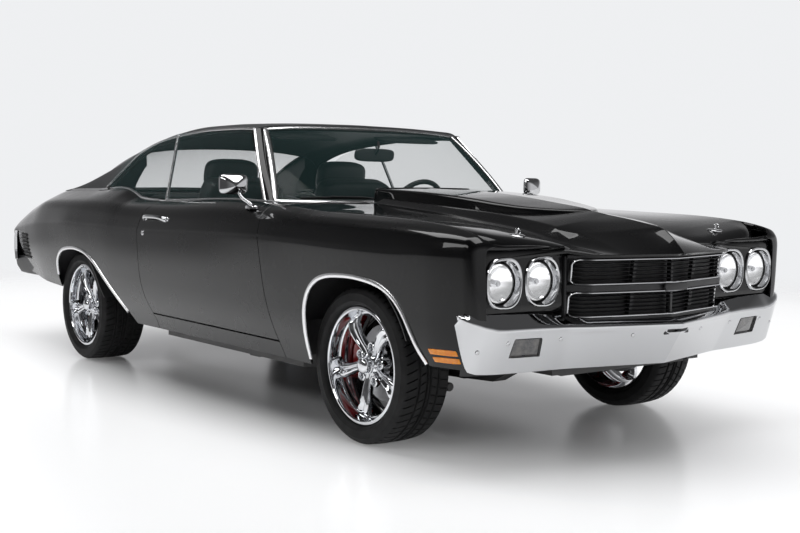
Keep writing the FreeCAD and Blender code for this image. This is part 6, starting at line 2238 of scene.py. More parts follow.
# ---------------------------------------------------------------- fittings
@dataclass
class Fittings:
    """Mirrors, handles, locks, markers and wipers."""

    car: Car
    side: BodySide
    head_width: float = 134.0
    head_height: float = 94.0

    def build(self) -> None:
        """Every fitting."""
        self.mirror()
        self.handle()
        self.markers()
        self.wipers()

    def mirror(self) -> None:
        """Bright door mirror: faceted shell, bright face, tapered stalk and foot."""
        f = self.car.front_x
        low, high = self.car.size("mirror_left")
        centre = np.array([f - 880.0, (low[1] + high[1]) / 2 + 38, 1061.0])
        shell = self.mirror_rings(((0.02, 40), (0.3, 34), (0.6, 26), (0.85, 16), (0.96, 7),
                                   (1.0, -2), (1.0, -9), (0.97, -13), (0.94, -14), (0.92, -10)))
        glass = self.mirror_rings(((0.93, -10.5), (0.5, -10.5), (0.02, -10.5)))
        turn_out = spin((0, 0, 1), math.radians(12))
        shell = shell.turned(turn_out).moved(*centre)
        glass = glass.turned(turn_out).moved(*centre)
        shell = outward(shell)
        foot = np.array([f - 812.0, 886.0, 958.0])
        path = dense([foot + [0, 0, -8], foot + [-4, 4, 10], foot + [-36, 30, 40],
                      centre + [6, -14, -20]], 6.0, 10.0)
        radii = np.interp(np.linspace(0, 1, len(path)), [0, 0.12, 0.3, 1], [15, 11, 8, 7])
        stalk = tube(path, radii, 18)
        plate = []
        for size, lift in ((1.0, -8), (1.0, 2), (0.9, 6), (0.6, 8), (0.02, 8.5)):
            plate.append([(foot[0] + 50 * size * math.cos(a), foot[1] + 20 * size * math.sin(a),
                           foot[2] + lift) for a in around(32)])
        plate = grid_shape(plate, wrap=True)
        self.car.pair("mirror_shell", shell + stalk + plate, CHROME, "door", "mirror")
        self.car.pair("mirror_face", glass, CHROME, "door")

    def mirror_rings(self, rings: Sequence[tuple[float, float]]) -> Shape:
        """Rounded oblong rings of (size, distance ahead) with the point set low."""
        grid = []
        for size, ahead in rings:
            ring = []
            for a in around(64):
                c, s = squared(a, 5)
                ring.append((ahead, c * size * self.head_width / 2,
                             s * size * self.head_height / 2 - (1 - size) * 9))
            grid.append(ring)
        return grid_shape(grid, wrap=True)

    def handle(self) -> None:
        """Pull handle with its cup and the round lock below."""
        f = self.car.front_x

        def at(x: float, z: float, out: float) -> np.ndarray:
            """Point standing proud of the side."""
            return self.side.on_skin(np.array([[x, z]]), out)[0][0]

        grip = dense([at(f - 1838, 876, 4), at(f - 1818, 877, 17), at(f - 1770, 878, 24),
                      at(f - 1690, 878, 24), at(f - 1630, 877, 20), at(f - 1598, 876, 9),
                      at(f - 1588, 876, 0)], 7.0, 12.0)
        bar = tube(grip,
                   np.interp(np.linspace(0, 1, len(grip)), [0, 0.15, 0.8, 1], [11, 8, 8.5, 12]), 14)
        flat = bar.points.copy()
        middle = flat.mean(axis=0)[2]
        flat[:, 2] = middle + (flat[:, 2] - middle) * 1.25
        bar = Shape(flat, bar.faces)
        cups = []
        for x, long in ((f - 1836, 26), (f - 1596, 34)):
            base, normal = self.side.on_skin(np.array([[x, 876.0]]))
            rings = []
            for size, lift in ((1.0, -3), (1.0, 2), (0.86, 5), (0.5, 6), (0.02, 6.5)):
                rings.append([base[0] + normal[0] * lift
                              + np.array([long * size * math.cos(a), 0, 15 * size * math.sin(a)])
                              for a in around(28)])
            cups.append(grid_shape(rings, wrap=True))
        base, normal = self.side.on_skin(np.array([[f - 1826.0, 800.0]]))
        lock = turn([(14, -2), (14, 3), (11, 5.5), (8, 5.5), (7, 4), (0.001, 4)], base[0],
                    normal[0], 28)
        self.car.pair("door_handle", total([bar] + cups), CHROME, "door")
        self.car.pair("door_lock", lock, CHROME, "door")

    def patch(self, corners: Sequence[tuple[float, float]], proud: float, lift: float,
              soft: float = 3.0) -> Shape:
        """Lens that follows the side within an (x, z) outline."""
        loop = dense(list(corners) + [corners[0]], 5.0, soft)[:-1]
        rings = []
        for size, out in ((1.0, -3.0), (1.0, proud), (0.93, proud + lift), (0.5, proud + lift),
                          (0.02, proud + lift)):
            rings.append(self.side.on_skin(shrunk(loop, size), out)[0])
        return facing_out(grid_shape(rings, wrap=True))

    def markers(self) -> None:
        """Amber strips ahead of the front wheel and louvred lamps on the tail's sides."""
        f, r = self.car.front_x, self.car.rear_x
        upper = [(f + 540, 446), (f + 672, 451), (f + 664, 470), (f + 530, 464)]
        lower = [(f + 556, 418), (f + 678, 423), (f + 674, 441), (f + 548, 435)]
        amber = self.patch(upper, 1.0, 2.0) + self.patch(lower, 1.0, 2.0)
        self.car.pair("side_markers", amber, AMBER)
        base = [(r - 890, 560), (r - 750, 560), (r - 756, 726), (r - 886, 726)]
        self.car.pair("tail_marker_base", self.patch(base, 1.0, 1.0, 5.0), SEAL)
        ribs = []
        for k in range(7):
            z = 572 + 23.5 * k
            path = np.array([(x, z) for x in np.linspace(r - 880, r - 760, 14)])
            points, normals = self.side.on_skin(path, 2.0)
            ribs.append(sweep(points, normals, half_round(9.0, 7.0)))
        self.car.pair("tail_marker_ribs", total(ribs), SATIN)

    def wipers(self) -> None:
        """Wiper arms parked at the foot of the windshield."""
        f = self.car.front_x
        arms, blades = [], []
        for pivot in (430.0, -190.0):
            path = dense([(f - 700, pivot, 985), (f - 742, pivot - 120, 1002),
                          (f - 756, pivot - 300, 1006)], 12.0, 20.0)
            arms.append(tube(path,
                             np.interp(np.linspace(0, 1, len(path)), [0, 0.2, 1], [9, 5, 3.5]), 10))
            arms.append(turn([(15, -6), (15, 4), (10, 9), (0.001, 10)], (f - 700, pivot, 982),
                             (0.2, 0, 1), 20))
            rod_path = dense([(f - 758, pivot - 80, 999), (f - 766, pivot - 300, 1001),
                              (f - 758, pivot - 470, 1000)], 12.0, 20.0)
            blades.append(sweep(rod_path, (0.5, 0, 0.86), [(3, -6), (3, 4), (-3, 4), (-3, -6)]))
        self.car.add("wiper_arms", total(arms), SATIN)
        self.car.add("wiper_blades", total(blades), SEAL)


# ---------------------------------------------------------------- cabin
def soft_block(size: Sequence[float], power: float = 7.0, cuts: int = 15) -> Shape:
    """Block with full, rounded faces, centred on the origin."""
    mesh = bmesh.new()
    bmesh.ops.create_cube(mesh, size=2.0)
    bmesh.ops.subdivide_edges(mesh, edges=mesh.edges[:], cuts=cuts, use_grid_fill=True)
    shape = from_bmesh(mesh)
    spread = np.sign(shape.points) * np.sin(np.abs(shape.points) * math.pi / 2) ** 0.85
    reach = (np.abs(spread) ** power).sum(axis=1) ** (1 / power)
    return Shape(spread / reach[:, None] * np.array(size) / 2, shape.faces)


@dataclass
class Cushion:
    """Upholstered pad with stitched channels.

    Attributes:
        size: length, width and thickness before it is turned.
        channels: places of the channels across the length, from -1 to 1.
        side_seam: distance of the two side seams from the middle, from 0 to 1.
        depth: depth of the seams.
        crown: rise of the side bolsters.
        power: squareness of the pad's corners.
    """

    size: tuple[float, float, float]
    channels: tuple[float, ...] = ()
    side_seam: float = 0.62
    depth: float = 9.0
    crown: float = 12.0
    power: float = 7.0

    def shape(self) -> Shape:
        """Soft block whose upper face carries bolsters and channels."""
        shape = soft_block(self.size, self.power)
        points = shape.points.copy()
        u, v = points[:, 0] / (self.size[0] / 2), points[:, 1] / (self.size[1] / 2)
        top = np.clip(points[:, 2] / (self.size[2] / 2), 0, 1) ** 2
        seam = np.exp(-((np.abs(v) - self.side_seam) * self.size[1] / 2 / 9.0) ** 2)
        middle = np.clip((self.side_seam - np.abs(v)) / 0.06, 0, 1)
        for place in self.channels:
            seam = seam + middle * np.exp(-((u - place) * self.size[0] / 2 / 8.0) ** 2)
        bolster = self.crown * np.exp(-((np.abs(v) - 0.82) / 0.13) ** 2)
        points[:, 2] += top * (bolster - self.depth * np.clip(seam, 0, 1.2))
        return Shape(points, shape.faces)


@dataclass
class Cabin:
    """Seats, dashboard, steering wheel, door cards, carpet and lining."""

    car: Car
    seat_x: float = 10.0
    seat_y: float = 372.0
    rear_seat_y: float = 268.0
    column_angle: float = 25.0
    wheel_hub: tuple[float, float, float] = (319.5, 390.0, 926.0)

    def __post_init__(self) -> None:
        """Direction of the steering column, up and back towards the driver."""
        angle = math.radians(self.column_angle)
        self.column_way = unit(np.array([-math.cos(angle), 0, math.sin(angle)]))

    def build(self) -> None:
        """Everything inside the cabin."""
        self.front_seats()
        self.rear_seat()
        self.dash()
        self.wheel()
        self.door_card()
        self.rear_mirror()
        self.floor_cover()
        self.lining()

    def pad(self, name: str, cushion: Cushion, place: Sequence[float], lean: float = 0.0,
            replaces: Sequence[str] = ()) -> None:
        """Add one upholstered pad.

        Args:
            name: the piece's name.
            cushion: its form.
            place: centre of the pad.
            lean: turn about the car's cross axis in degrees.
            replaces: solids that it stands for.
        """
        shape = cushion.shape().turned(spin((0, 1, 0), math.radians(lean))).moved(*place)
        made = self.car.add(name, shape, LEATHER, replaces=replaces)
        smoother = made.modifiers.new("rounding", "SUBSURF")
        smoother.levels = smoother.render_levels = 1

    def front_seats(self) -> None:
        """Bucket seats with wide headrests."""
        x = self.seat_x
        for side, y in (("left", self.seat_y), ("right", -self.seat_y)):
            stands = ("seats_front",) if side == "left" else ()
            self.pad(f"front_cushion_{side}", Cushion((520, 480, 150), (-0.55, -0.2, 0.15, 0.5)),
                     (x + 10, y, 480), 3.0, stands)
            self.pad(f"front_back_{side}", Cushion((590, 490, 130), (-0.5, -0.2, 0.1, 0.4), 0.6),
                     (x - 330, y, 805), 108.0 - 180.0)
            self.pad(f"headrest_{side}", Cushion((180, 320, 110), (), 0.9, 0.0, 6.0, 3.6),
                     (x - 392, y, 1106), 100.0 - 180.0)
            shell = box((x - 240, y - 235, 400), (x + 250, y + 235, 425), 10, 3)
            rails = total([box((x - 210, y + k - 16, 303.5), (x + 200, y + k + 16, 402), 5)
                           for k in (-170, 170)])
            posts = total([tube(np.array([(x - 385, y + k, 1010), (x - 392, y + k, 1080)]), 7, 12)
                           for k in (-75, 75)])
            knob = turn([(0.001, 0), (26, 1), (29, 6), (26, 14), (0.001, 15)],
                        (x - 215, y + 236, 448), (0, 1, 0), 32)
            self.car.add(f"seat_base_{side}", shell + rails + knob, CABIN)
            self.car.add(f"headrest_posts_{side}", posts, CHROME)

    def rear_seat(self) -> None:
        """Rear bench with two shaped places."""
        cushion = Cushion((500, 530, 150), (-0.4, 0.0, 0.4))
        self.pad("rear_cushion_left", cushion, (-935, self.rear_seat_y, 610), 3.0, ("seat_rear",))
        self.pad("rear_cushion_right", cushion, (-935, -self.rear_seat_y, 610), 3.0)
        for side, y in (("left", self.rear_seat_y), ("right", -self.rear_seat_y)):
            self.pad(f"rear_back_{side}", Cushion((400, 530, 120), (-0.35, 0.0, 0.35)),
                     (-1120, y, 790), 105.0 - 180.0)
        base = box((-1195, -535, 536), (-680, 535, 562), 8, 2)
        self.car.add("rear_seat_base", base, CABIN)

    def dash(self) -> None:
        """Padded dashboard with a gauge hood, vents, glove box and column."""
        section = [(945, 702), (945, 936), (900, 945), (700, 948), (640, 944), (606, 926),
                   (600, 898), (624, 872), (640, 800), (668, 716), (700, 702)]
        loop = dense(section, 12.0, 10.0)
        rows = []
        for y in np.linspace(-712, 712, 61):
            bulge = 12 * np.exp(-((y - 390) / 210) ** 4)
            rows.append([(a - bulge * (a < 800), y, b + 0.6 * bulge * (b > 880) * (a < 850))
                         for a, b in loop])
        board = grid_shape(rows, wrap=True, cap=True)
        board = outward(board)
        self.car.add("dash_board", board, CABIN, replaces=("dashboard",))
        trims, darks, needles = [], [], []
        for y, r in ((470, 52), (330, 52), (560, 26), (240, 26), (400, 22)):
            at, way = (618 - (12 if r > 30 else 8), y, 836 if r > 25 else 880), (-0.97, 0, 0.22)
            trims.append(turn([(r + 5, -12), (r + 5, 3), (r + 2, 6), (r - 2, 3), (r - 3, -2),
                               (r - 4, -12)], at, way, 40))
            darks.append(turn([(r - 2, -6), (r - 3, -4), (0.001, -4)], at, way, 40))
            needles.append(box((at[0] - 6, y - 1.2, at[2]),
                               (at[0] - 3, y + 1.2, at[2] + r * 0.7), 0.4))
        trims.append(box((628, -640, 790), (634, 200, 796), 1.5))
        darks.append(box((620, -640, 800), (636, -250, 880), 6, 2))
        for y in (-120, 40, 640):
            darks.append(box((606, y - 46, 872), (622, y + 46, 902), 5, 2))
        radio = box((604, -120, 810), (634, 130, 858), 5, 2)
        knobs = [turn([(0.001, 20), (11, 18), (13, 0), (13, -10)], (606, y, 834), (-1, 0, 0), 20)
                 for y in (-100, 110)]
        self.car.add("gauge_rings", total(trims + knobs), CHROME)
        self.car.add("gauge_faces", total(darks) + radio, SEAL)
        self.car.add("gauge_needles", total(needles), AMBER)
        way, hub = self.column_way, np.array(self.wheel_hub)
        column = turn([(24, -620), (24, -330), (36, -300), (40, -130), (44, -90), (46, -66),
                       (42, -58), (0.001, -58)],
                      hub, way, 40)
        stalks = [tube(np.array([hub - way * 90, hub - way * 84 + [0, s * 90, 20],
                                 hub - way * 80 + [0, s * 150, 26]]),
                       [6, 5, 7], 12) for s in (1, -1)]
        self.car.add("steering_column", column, CABIN)
        self.car.add("column_stalks", total(stalks), CHROME)
        console = slab([(600, 90), (120, 90), (80, 70), (80, -70), (120, -90), (600, -90)][::-1],
                       60, 12).moved(0, 0, 466)
        lever = tube(np.array([(340, 0, 520), (350, 0, 600), (345, 0, 640)]), [7, 6, 6], 14)
        grip = turn([(0.001, 30), (14, 26), (20, 12), (18, -6), (10, -22), (7, -26)], (344, 0, 655),
                    (0, 0, 1), 24)
        boot = turn([(44, 0), (42, 6), (28, 22), (20, 40), (9, 58)], (340, 0, 520), (0, 0, 1), 32)
        self.car.add("console", console, CABIN)
        self.car.add("gear_lever", lever, CHROME)
        self.car.add("gear_grip", grip + boot, SEAL)

    def wheel(self) -> None:
        """Steering wheel with a leather rim, three spokes and a plain boss."""
        way, hub = self.column_way, np.array(self.wheel_hub)
        across = np.array([0.0, 1.0, 0.0])
        up = np.cross(across, way)
        up = up if up[2] > 0 else -up
        rim = []
        for a in around(96):
            out = across * math.cos(a) + up * math.sin(a)
            ring = []
            for b in around(16):
                grip = 14.0 - 1.2 * (math.cos(a * 32) > 0.8) * (math.cos(b) < 0)
                ring.append(hub + out * (171 + grip * math.cos(b)) + way * grip * math.sin(b))
            rim.append(ring)
        rim = grid_shape(rim, wrap=True, wrap_rows=True)
        rim = outward(rim)
        spokes = []
        for angle in (-90, 30, 150):
            out = across * math.cos(math.radians(angle)) + up * math.sin(math.radians(angle))
            wide = np.cross(way, out)
            rows = []
            for r, half, drop in ((28, 30, -8), (60, 20, -10), (110, 16, -8), (150, 19, -4),
                                  (164, 26, 0)):
                rows.append([hub + out * r + wide * half * u + way * (drop + t)
                             for u, t in ((-1, -2.5), (-1, 1.5), (-0.85, 2.5), (0.85, 2.5),
                                          (1, 1.5), (1, -2.5))])
            spokes.append(grid_shape(rows, wrap=True, cap=True))
        boss = turn([(40, -44), (41, -12), (38, 2), (28, 6), (0.001, 7)], hub, way, 40)
        self.car.add("wheel_rim_grip", rim, LEATHER, "steering_wheel", ("steering_wheel",))
        self.car.add("wheel_spokes", total(spokes), DISC, "steering_wheel")
        self.car.add("wheel_boss", boss, SEAL, "steering_wheel")

    def door_card(self) -> None:
        """Door card with an armrest, crank and pull."""
        low, high = (-380.0, 850.0)
        rows = []
        for x in np.linspace(low, high, 50):
            edge = min(1.0, (x - low) / 20, (high - x) / 20)
            y0 = 752.5 - 4 * edge
            rows.append([(x, y0 + 2.4, 372), (x, y0, 380), (x, y0, 560), (x, y0 + 1.5, 566),
                         (x, y0, 572), (x, y0, 716), (x, y0 + 1.5, 722), (x, y0, 728),
                         (x, y0 - 2, 860), (x, y0 + 2.4, 900)])
        card = facing_out(grid_shape(rows)).reversed()
        arm = soft_block((430, 62, 74), 5.0, 9).moved(120, 722, 700)
        crank = tube(dense([(330, 745, 660), (330, 724, 660), (330, 720, 610), (330, 700, 600)],
                           8.0, 8.0), 6, 12)
        knob = turn([(0.001, 14), (11, 11), (12, 0), (9, -6)], (330, 700, 600), (0, -1, 0), 20)
        pull = tube(dense([(430, 748, 800), (430, 726, 800), (330, 722, 800), (320, 748, 800)], 8.0,
                          8.0), 6, 12)
        self.car.pair("door_card", card, CABIN, "door")
        self.car.pair("door_armrest", arm, CABIN, "door")
        self.car.pair("door_crank", crank + pull + knob, CHROME, "door")

    def rear_mirror(self) -> None:
        """Wide mirror hung from the windshield's head."""
        head = soft_block((26, 250, 68),
                          4.0, 9).turned(spin((0, 1, 0), math.radians(8))).moved(461, 0, 1216)
        face = soft_block((2, 232, 54),
                          5.0, 7).turned(spin((0, 1, 0), math.radians(8))).moved(448.5, 0, 1215)
        stem = tube(dense([(470, 0, 1220), (500, 0, 1250), (492, 0, 1286)], 8.0, 12.0), 6, 12)
        self.car.add("cabin_mirror", head + stem, CABIN)
        self.car.add("cabin_mirror_face", face, CHROME)

    def floor_cover(self) -> None:
        """Carpet over the floor and the tunnel."""
        rows = []
        for x in np.linspace(-600, 930, 60):
            rows.append([(x, y, z) for y, z in ((-700, 306), (-400, 306), (-190, 306), (-158, 330),
                                                (-150, 440), (-120, 473), (120, 473), (150, 440),
                                                (158, 330), (190, 306), (400, 306), (700, 306))])
        self.car.add("carpet", grid_shape(rows).reversed(), CARPET)

    def lining(self) -> None:
        """Sun visors and the shelf behind the rear seat."""
        visor = soft_block((110, 400, 16), 5.0, 9).turned(spin((0, 1, 0), math.radians(14)))
        visors = [visor.moved(290, y, 1305) for y in (340, -340)]
        self.car.add("sun_visors", total(visors), HEADLINER)
        shelf = slab([(-1215, 600), (-1560, 560), (-1560, -560), (-1215, -600)],
                     8, 3).moved(0, 0, 986)
        self.car.add("rear_shelf", shelf, CARPET)


# ---------------------------------------------------------------- chassis and machinery
@dataclass
class Machinery:
    """Chassis, axles, exhaust, tank, engine and everything seen from below."""

    car: Car

    def build(self) -> None:
        """Finish the solids that stay and replace the coarse ones."""
        self.car.dress(CHASSIS, "frame_rail_left", "frame_rail_right", "frame_crossmembers")
        self.car.dress(SATIN, "floor_pan", "rear_pan", "boot_floor", "wheel_houses_front",
                       "wheel_houses_rear", "radiator_support")
        self.car.dress(IRON, "rear_axle", "knuckle_left", "knuckle_right")
        self.engine()
        self.driveline()
        self.exhaust()
        self.tank()
        self.suspension()
        self.radiator()
        self.boot_wells()

    def boot_wells(self) -> None:
        """Drop-offs between the flat boot floor and each quarter."""
        r = self.car.rear_x
        low, _ = self.car.size("boot_floor")
        rows = []
        for x in np.linspace(r - 1088, r - 420, 24):
            section = ((764, 5), (776, 3), (800, 1), (840, 14), (868, 60), (880, 130))
            rows.append([(x, y, low[2] + z) for y, z in section])
        self.car.add("boot_wells", both_sides(grid_shape(rows).reversed()), SATIN)

    def engine(self) -> None:
        """Vee engine: block, heads, covers, intake, air cleaner, belt drive and carrier."""
        iron = [box((1130, -150, 290), (1760, 150, 380), 14, 3),
                box((1120, -210, 380), (1780, 210, 560), 18, 3)]
        bright, dark = [], [box((1150, -120, 286), (1700, 120, 300), 6, 2)]
        for s in (1, -1):
            lean = spin((1, 0, 0), math.radians(-38 * s))
            head = soft_block((600, 170, 150), 9.0, 5).turned(lean).moved(1450, 185 * s, 618)
            iron.append(head)
            cover = soft_block((590, 130, 90), 8.0, 7).turned(lean).moved(1450, 232 * s, 700)
            bright.append(cover)
            for k in range(4):
                x = 1230 + 146 * k
                path = dense([(x, 228 * s, 590), (x, 268 * s, 560), (x - 20, 282 * s, 480),
                              (x - 60, 285 * s, 420)], 14.0, 20.0)
                dark.append(tube(path, 20, 14))
            dark.append(tube(dense([(1720, 284 * s, 412), (1150, 284 * s, 400),
                                    (1122, 284 * s, 360)], 20.0, 30.0), 28, 16))
        bright.append(box((1200, -110, 700), (1700, 110, 740), 14, 3))
        cleaner = turn([(40, 742), (60, 752), (178, 760), (182, 768), (182, 806), (176, 812),
                        (60, 820), (14, 824), (0.001, 826)], (1440, 0, 0), (0, 0, 1), 56)
        bright.append(cleaner)
        for y, z, r in ((0, 420, 82), (0, 600, 74), (150, 660, 46), (-160, 640, 50)):
            rims = [(0.001, 34), (12, 34), (14, 26), (r - 10, 24), (r, 26), (r, 20), (r - 6, 16),
                    (r, 12), (r, 4), (r - 8, 0), (14, 0), (14, -40)]
            iron.append(turn(rims, (1786, y, z), (1, 0, 0), 40))
        fan = []
        for k in range(6):
            blade = box((-3, 20, -38), (3, 175, 38), 2).turned(spin((0, 1, 0), 0.5))
            blade = blade.turned(spin((1, 0, 0), k * math.pi / 3))
            fan.append(blade.moved(1836, 0, 600))
        self.car.add("engine_iron", total(iron), IRON, replaces=("engine",))
        self.car.add("engine_covers", total(bright), CHROME)
        self.car.add("engine_headers", total(dark), PIPE)
        self.car.add("engine_fan", total(fan), SATIN)

    def driveline(self) -> None:
        """Gearbox with ribs, tail housing, shaft and joints."""
        profile = [(100, 0), (104, 6), (104, 24), (94, 34), (90, 150), (96, 158), (96, 176),
                   (88, 184), (84, 420), (90, 428), (88, 440), (56, 470), (50, 600), (54, 606),
                   (54, 626), (44, 640), (0.001, 640)]
        box_shape = turn(profile, (1116, 0, 345), (-1, 0, 0), 48)
        ribs = [box((1116 - x - 5, -102, 300), (1116 - x + 5, 102, 390), 3)
                for x in (70, 110, 230, 300, 370)]
        start, end = np.array([476.0, 0, 345]), np.array([-1090.0, 0, 326])
        shaft = tube(np.linspace(start, end, 9), [30, 38, 38, 38, 38, 38, 38, 38, 30], 24)
        yokes = [soft_block((70, 84, 84), 4.0, 5).moved(*p)
                 for p in (start - [14, 0, 0], end + [10, 0, 0])]
        mount = box((420, -64, 262), (480, 64, 306), 6, 2)
        pan = box((820, -120, 244), (1040, 120, 262), 6, 2)
        self.car.add("gearbox", box_shape + total(ribs) + mount + pan, IRON,
                     replaces=("driveline",))
        self.car.add("propeller_shaft", shaft + total(yokes), CHASSIS)

    def exhaust(self) -> None:
        """Twin pipes with oval mufflers, straps and rolled tips."""
        low, high = self.car.size("exhaust")
        y, z = high[1] - 80.0, 252.0
        low_x = low[0]
        path = dense([(1115, y, z), (800, y, z), (100, y, z), (-200, y, z), (-1200, y, z),
                      (low_x + 5, y, z)], 60.0, 60.0)
        pipe = tube(path, 31, 20)
        rings = []
        for x, size in ((-150, 0.45), (-158, 0.8), (-172, 0.97), (-190, 1.0), (-200, 1.03),
                        (-210, 1.0), (-560, 1.0), (-570, 1.03), (-580, 1.0), (-592, 0.97),
                        (-600, 0.8), (-606, 0.45)):
            ring = [squared(a, 3) for a in around(44)]
            rings.append([(x, y + c * 78 * size, 243 + s * 40 * size) for c, s in ring])
        can = grid_shape(rings, wrap=True, cap=True)
        can = outward(can)
        clamps = [turn([(30, -8), (35, -8), (36, -5), (36, 5), (35, 8), (30, 8)], (x, y, z),
                       (1, 0, 0), 28)
                  for x in (-120, -640, 500, 1060)]
        tip = turn([(30, -80), (35, -78), (36, -6), (34, 0), (31, -1), (29, -10), (29, -80)],
                   (low_x + 2, y, z), (-1, 0, 0), 32)
        self.car.add("exhaust_pipes", both_sides(pipe + total(clamps)), PIPE, replaces=("exhaust",))
        self.car.add("mufflers", both_sides(can), TANK)
        self.car.add("exhaust_tips", both_sides(tip), CHROME)
        hanger = box((-407, y - 12, 270), (-368, y + 12, 289), 3, 2)
        self.car.add("exhaust_hangers", both_sides(hanger), SEAL)

    def tank(self) -> None:
        """Pressed fuel tank with a seam, ribs and two straps."""
        low, high = self.car.size("fuel_tank")
        middle = (low + high) / 2
        body = soft_block((high[0] - low[0] - 26, high[1] - low[1] - 30, high[2] - low[2] - 4),
                          9.0, 9).moved(*middle)
        seam = slab([(high[0], high[1] - 30), (high[0] - 30, high[1]), (low[0] + 30, high[1]),
                     (low[0], high[1] - 30), (low[0], low[1] + 30), (low[0] + 30, low[1]),
                     (high[0] - 30, low[1]), (high[0], low[1] + 30)],
                    6, 1.5).moved(0, 0, middle[2] + 8)
        ribs = [box((low[0] + 60, y - 16, low[2] - 2), (high[0] - 60, y + 16, low[2] + 20), 5, 2)
                for y in (-90, 0, 90)]
        self.car.add("tank_body", body + seam + total(ribs), TANK, replaces=("fuel_tank",))
        straps = []
        for y in (-230, 230):
            path = dense([(low[0] + 8, y, high[2] - 4), (low[0] + 8, y, low[2] + 16),
                          (low[0] + 24, y, low[2] - 1), (high[0] - 24, y, low[2] - 1),
                          (high[0] - 8, y, low[2] + 16), (high[0] - 8, y, high[2] - 4)], 8.0, 12.0)
            away = unit(np.column_stack([path[:, 0] - middle[0], np.zeros(len(path)),
                                         (path[:, 2] - middle[2]) * 3]))
            straps.append(sweep(path, away, [(16, -2), (16, 2.5), (-16, 2.5), (-16, -2)]))
        self.car.add("tank_straps", total(straps), CHASSIS)

    def coil(self, centre: Sequence[float], radius: float, turns: float, height: float,
             wire: float) -> Shape:
        """Coil spring standing on its centre point."""
        angles = np.linspace(0, 2 * math.pi * turns, int(26 * turns))
        x, y, z = centre
        path = np.column_stack([x + radius * np.cos(angles), y + radius * np.sin(angles),
                                z + height * angles / angles[-1]])
        return tube(path, wire, 10)

    def suspension(self) -> None:
        """Front arms with their bushes and joints, coils and dampers."""
        front = self.car.front_x
        arms = []
        frame_y = 470.0
        for z, wide, thick in ((218, 118, 20), (452, 88, 14)):
            outline = [(front + wide, frame_y), (front + wide - 16, frame_y + 26),
                       (front + 30, 628), (front + 20, 652), (front - 20, 652), (front - 30, 628),
                       (front - wide + 16, frame_y + 26), (front - wide, frame_y)]
            arms.append(slab(outline, thick, 5).moved(0, 0, z - 8))
            for s in (1, -1):
                arms.append(turn([(17, -34), (19, -30), (19, 30), (17, 34), (0.001, 34)],
                                 (front + s * (wide - 20), frame_y + 6, z + 2), (1, 0, 0), 20))
            arms.append(turn([(0.001, -16), (14, -14), (20, -4), (20, 6), (10, 12)],
                             (front, 640, z + 2), (0, 0, 1), 24))
        arms.append(box((front - 84, 465, 224), (front + 84, 476, 455), 6, 2))
        coil = self.coil((front, 520, 232), 42, 6.5, 205, 7.5)
        damper = turn([(0.001, 0), (20, 2), (21, 10), (21, 140), (10, 146), (8, 215), (0.001, 216)],
                      (front, 520, 228), (0, 0, 1), 24)
        self.car.add("front_arms", both_sides(total(arms)), CHASSIS, replaces=("front_suspension",))
        self.car.add("front_coils", both_sides(coil), CALIPER)
        self.car.add("front_dampers", both_sides(damper), IRON)

    def radiator(self) -> None:
        """Radiator fins behind the grille with its header tanks and cap."""
        fins = []
        for k in range(30):
            z = 470 + 10.5 * k
            fins.append(box((2120, -318, z), (2126, 318, z + 4), 0.0))
        tanks = [box((2104, -335, 785), (2150, 335, 822), 10, 2),
                 box((2104, -335, 440), (2150, 335, 466), 10, 2)]
        cap = turn([(0.001, 20), (20, 19), (26, 14), (27, 4), (20, 0)], (2128, 120, 820),
                   (0, 0, 1), 24)
        self.car.add("radiator_fins", total(fins), PIPE)
        self.car.add("radiator_tanks", total(tanks) + cap, SATIN)


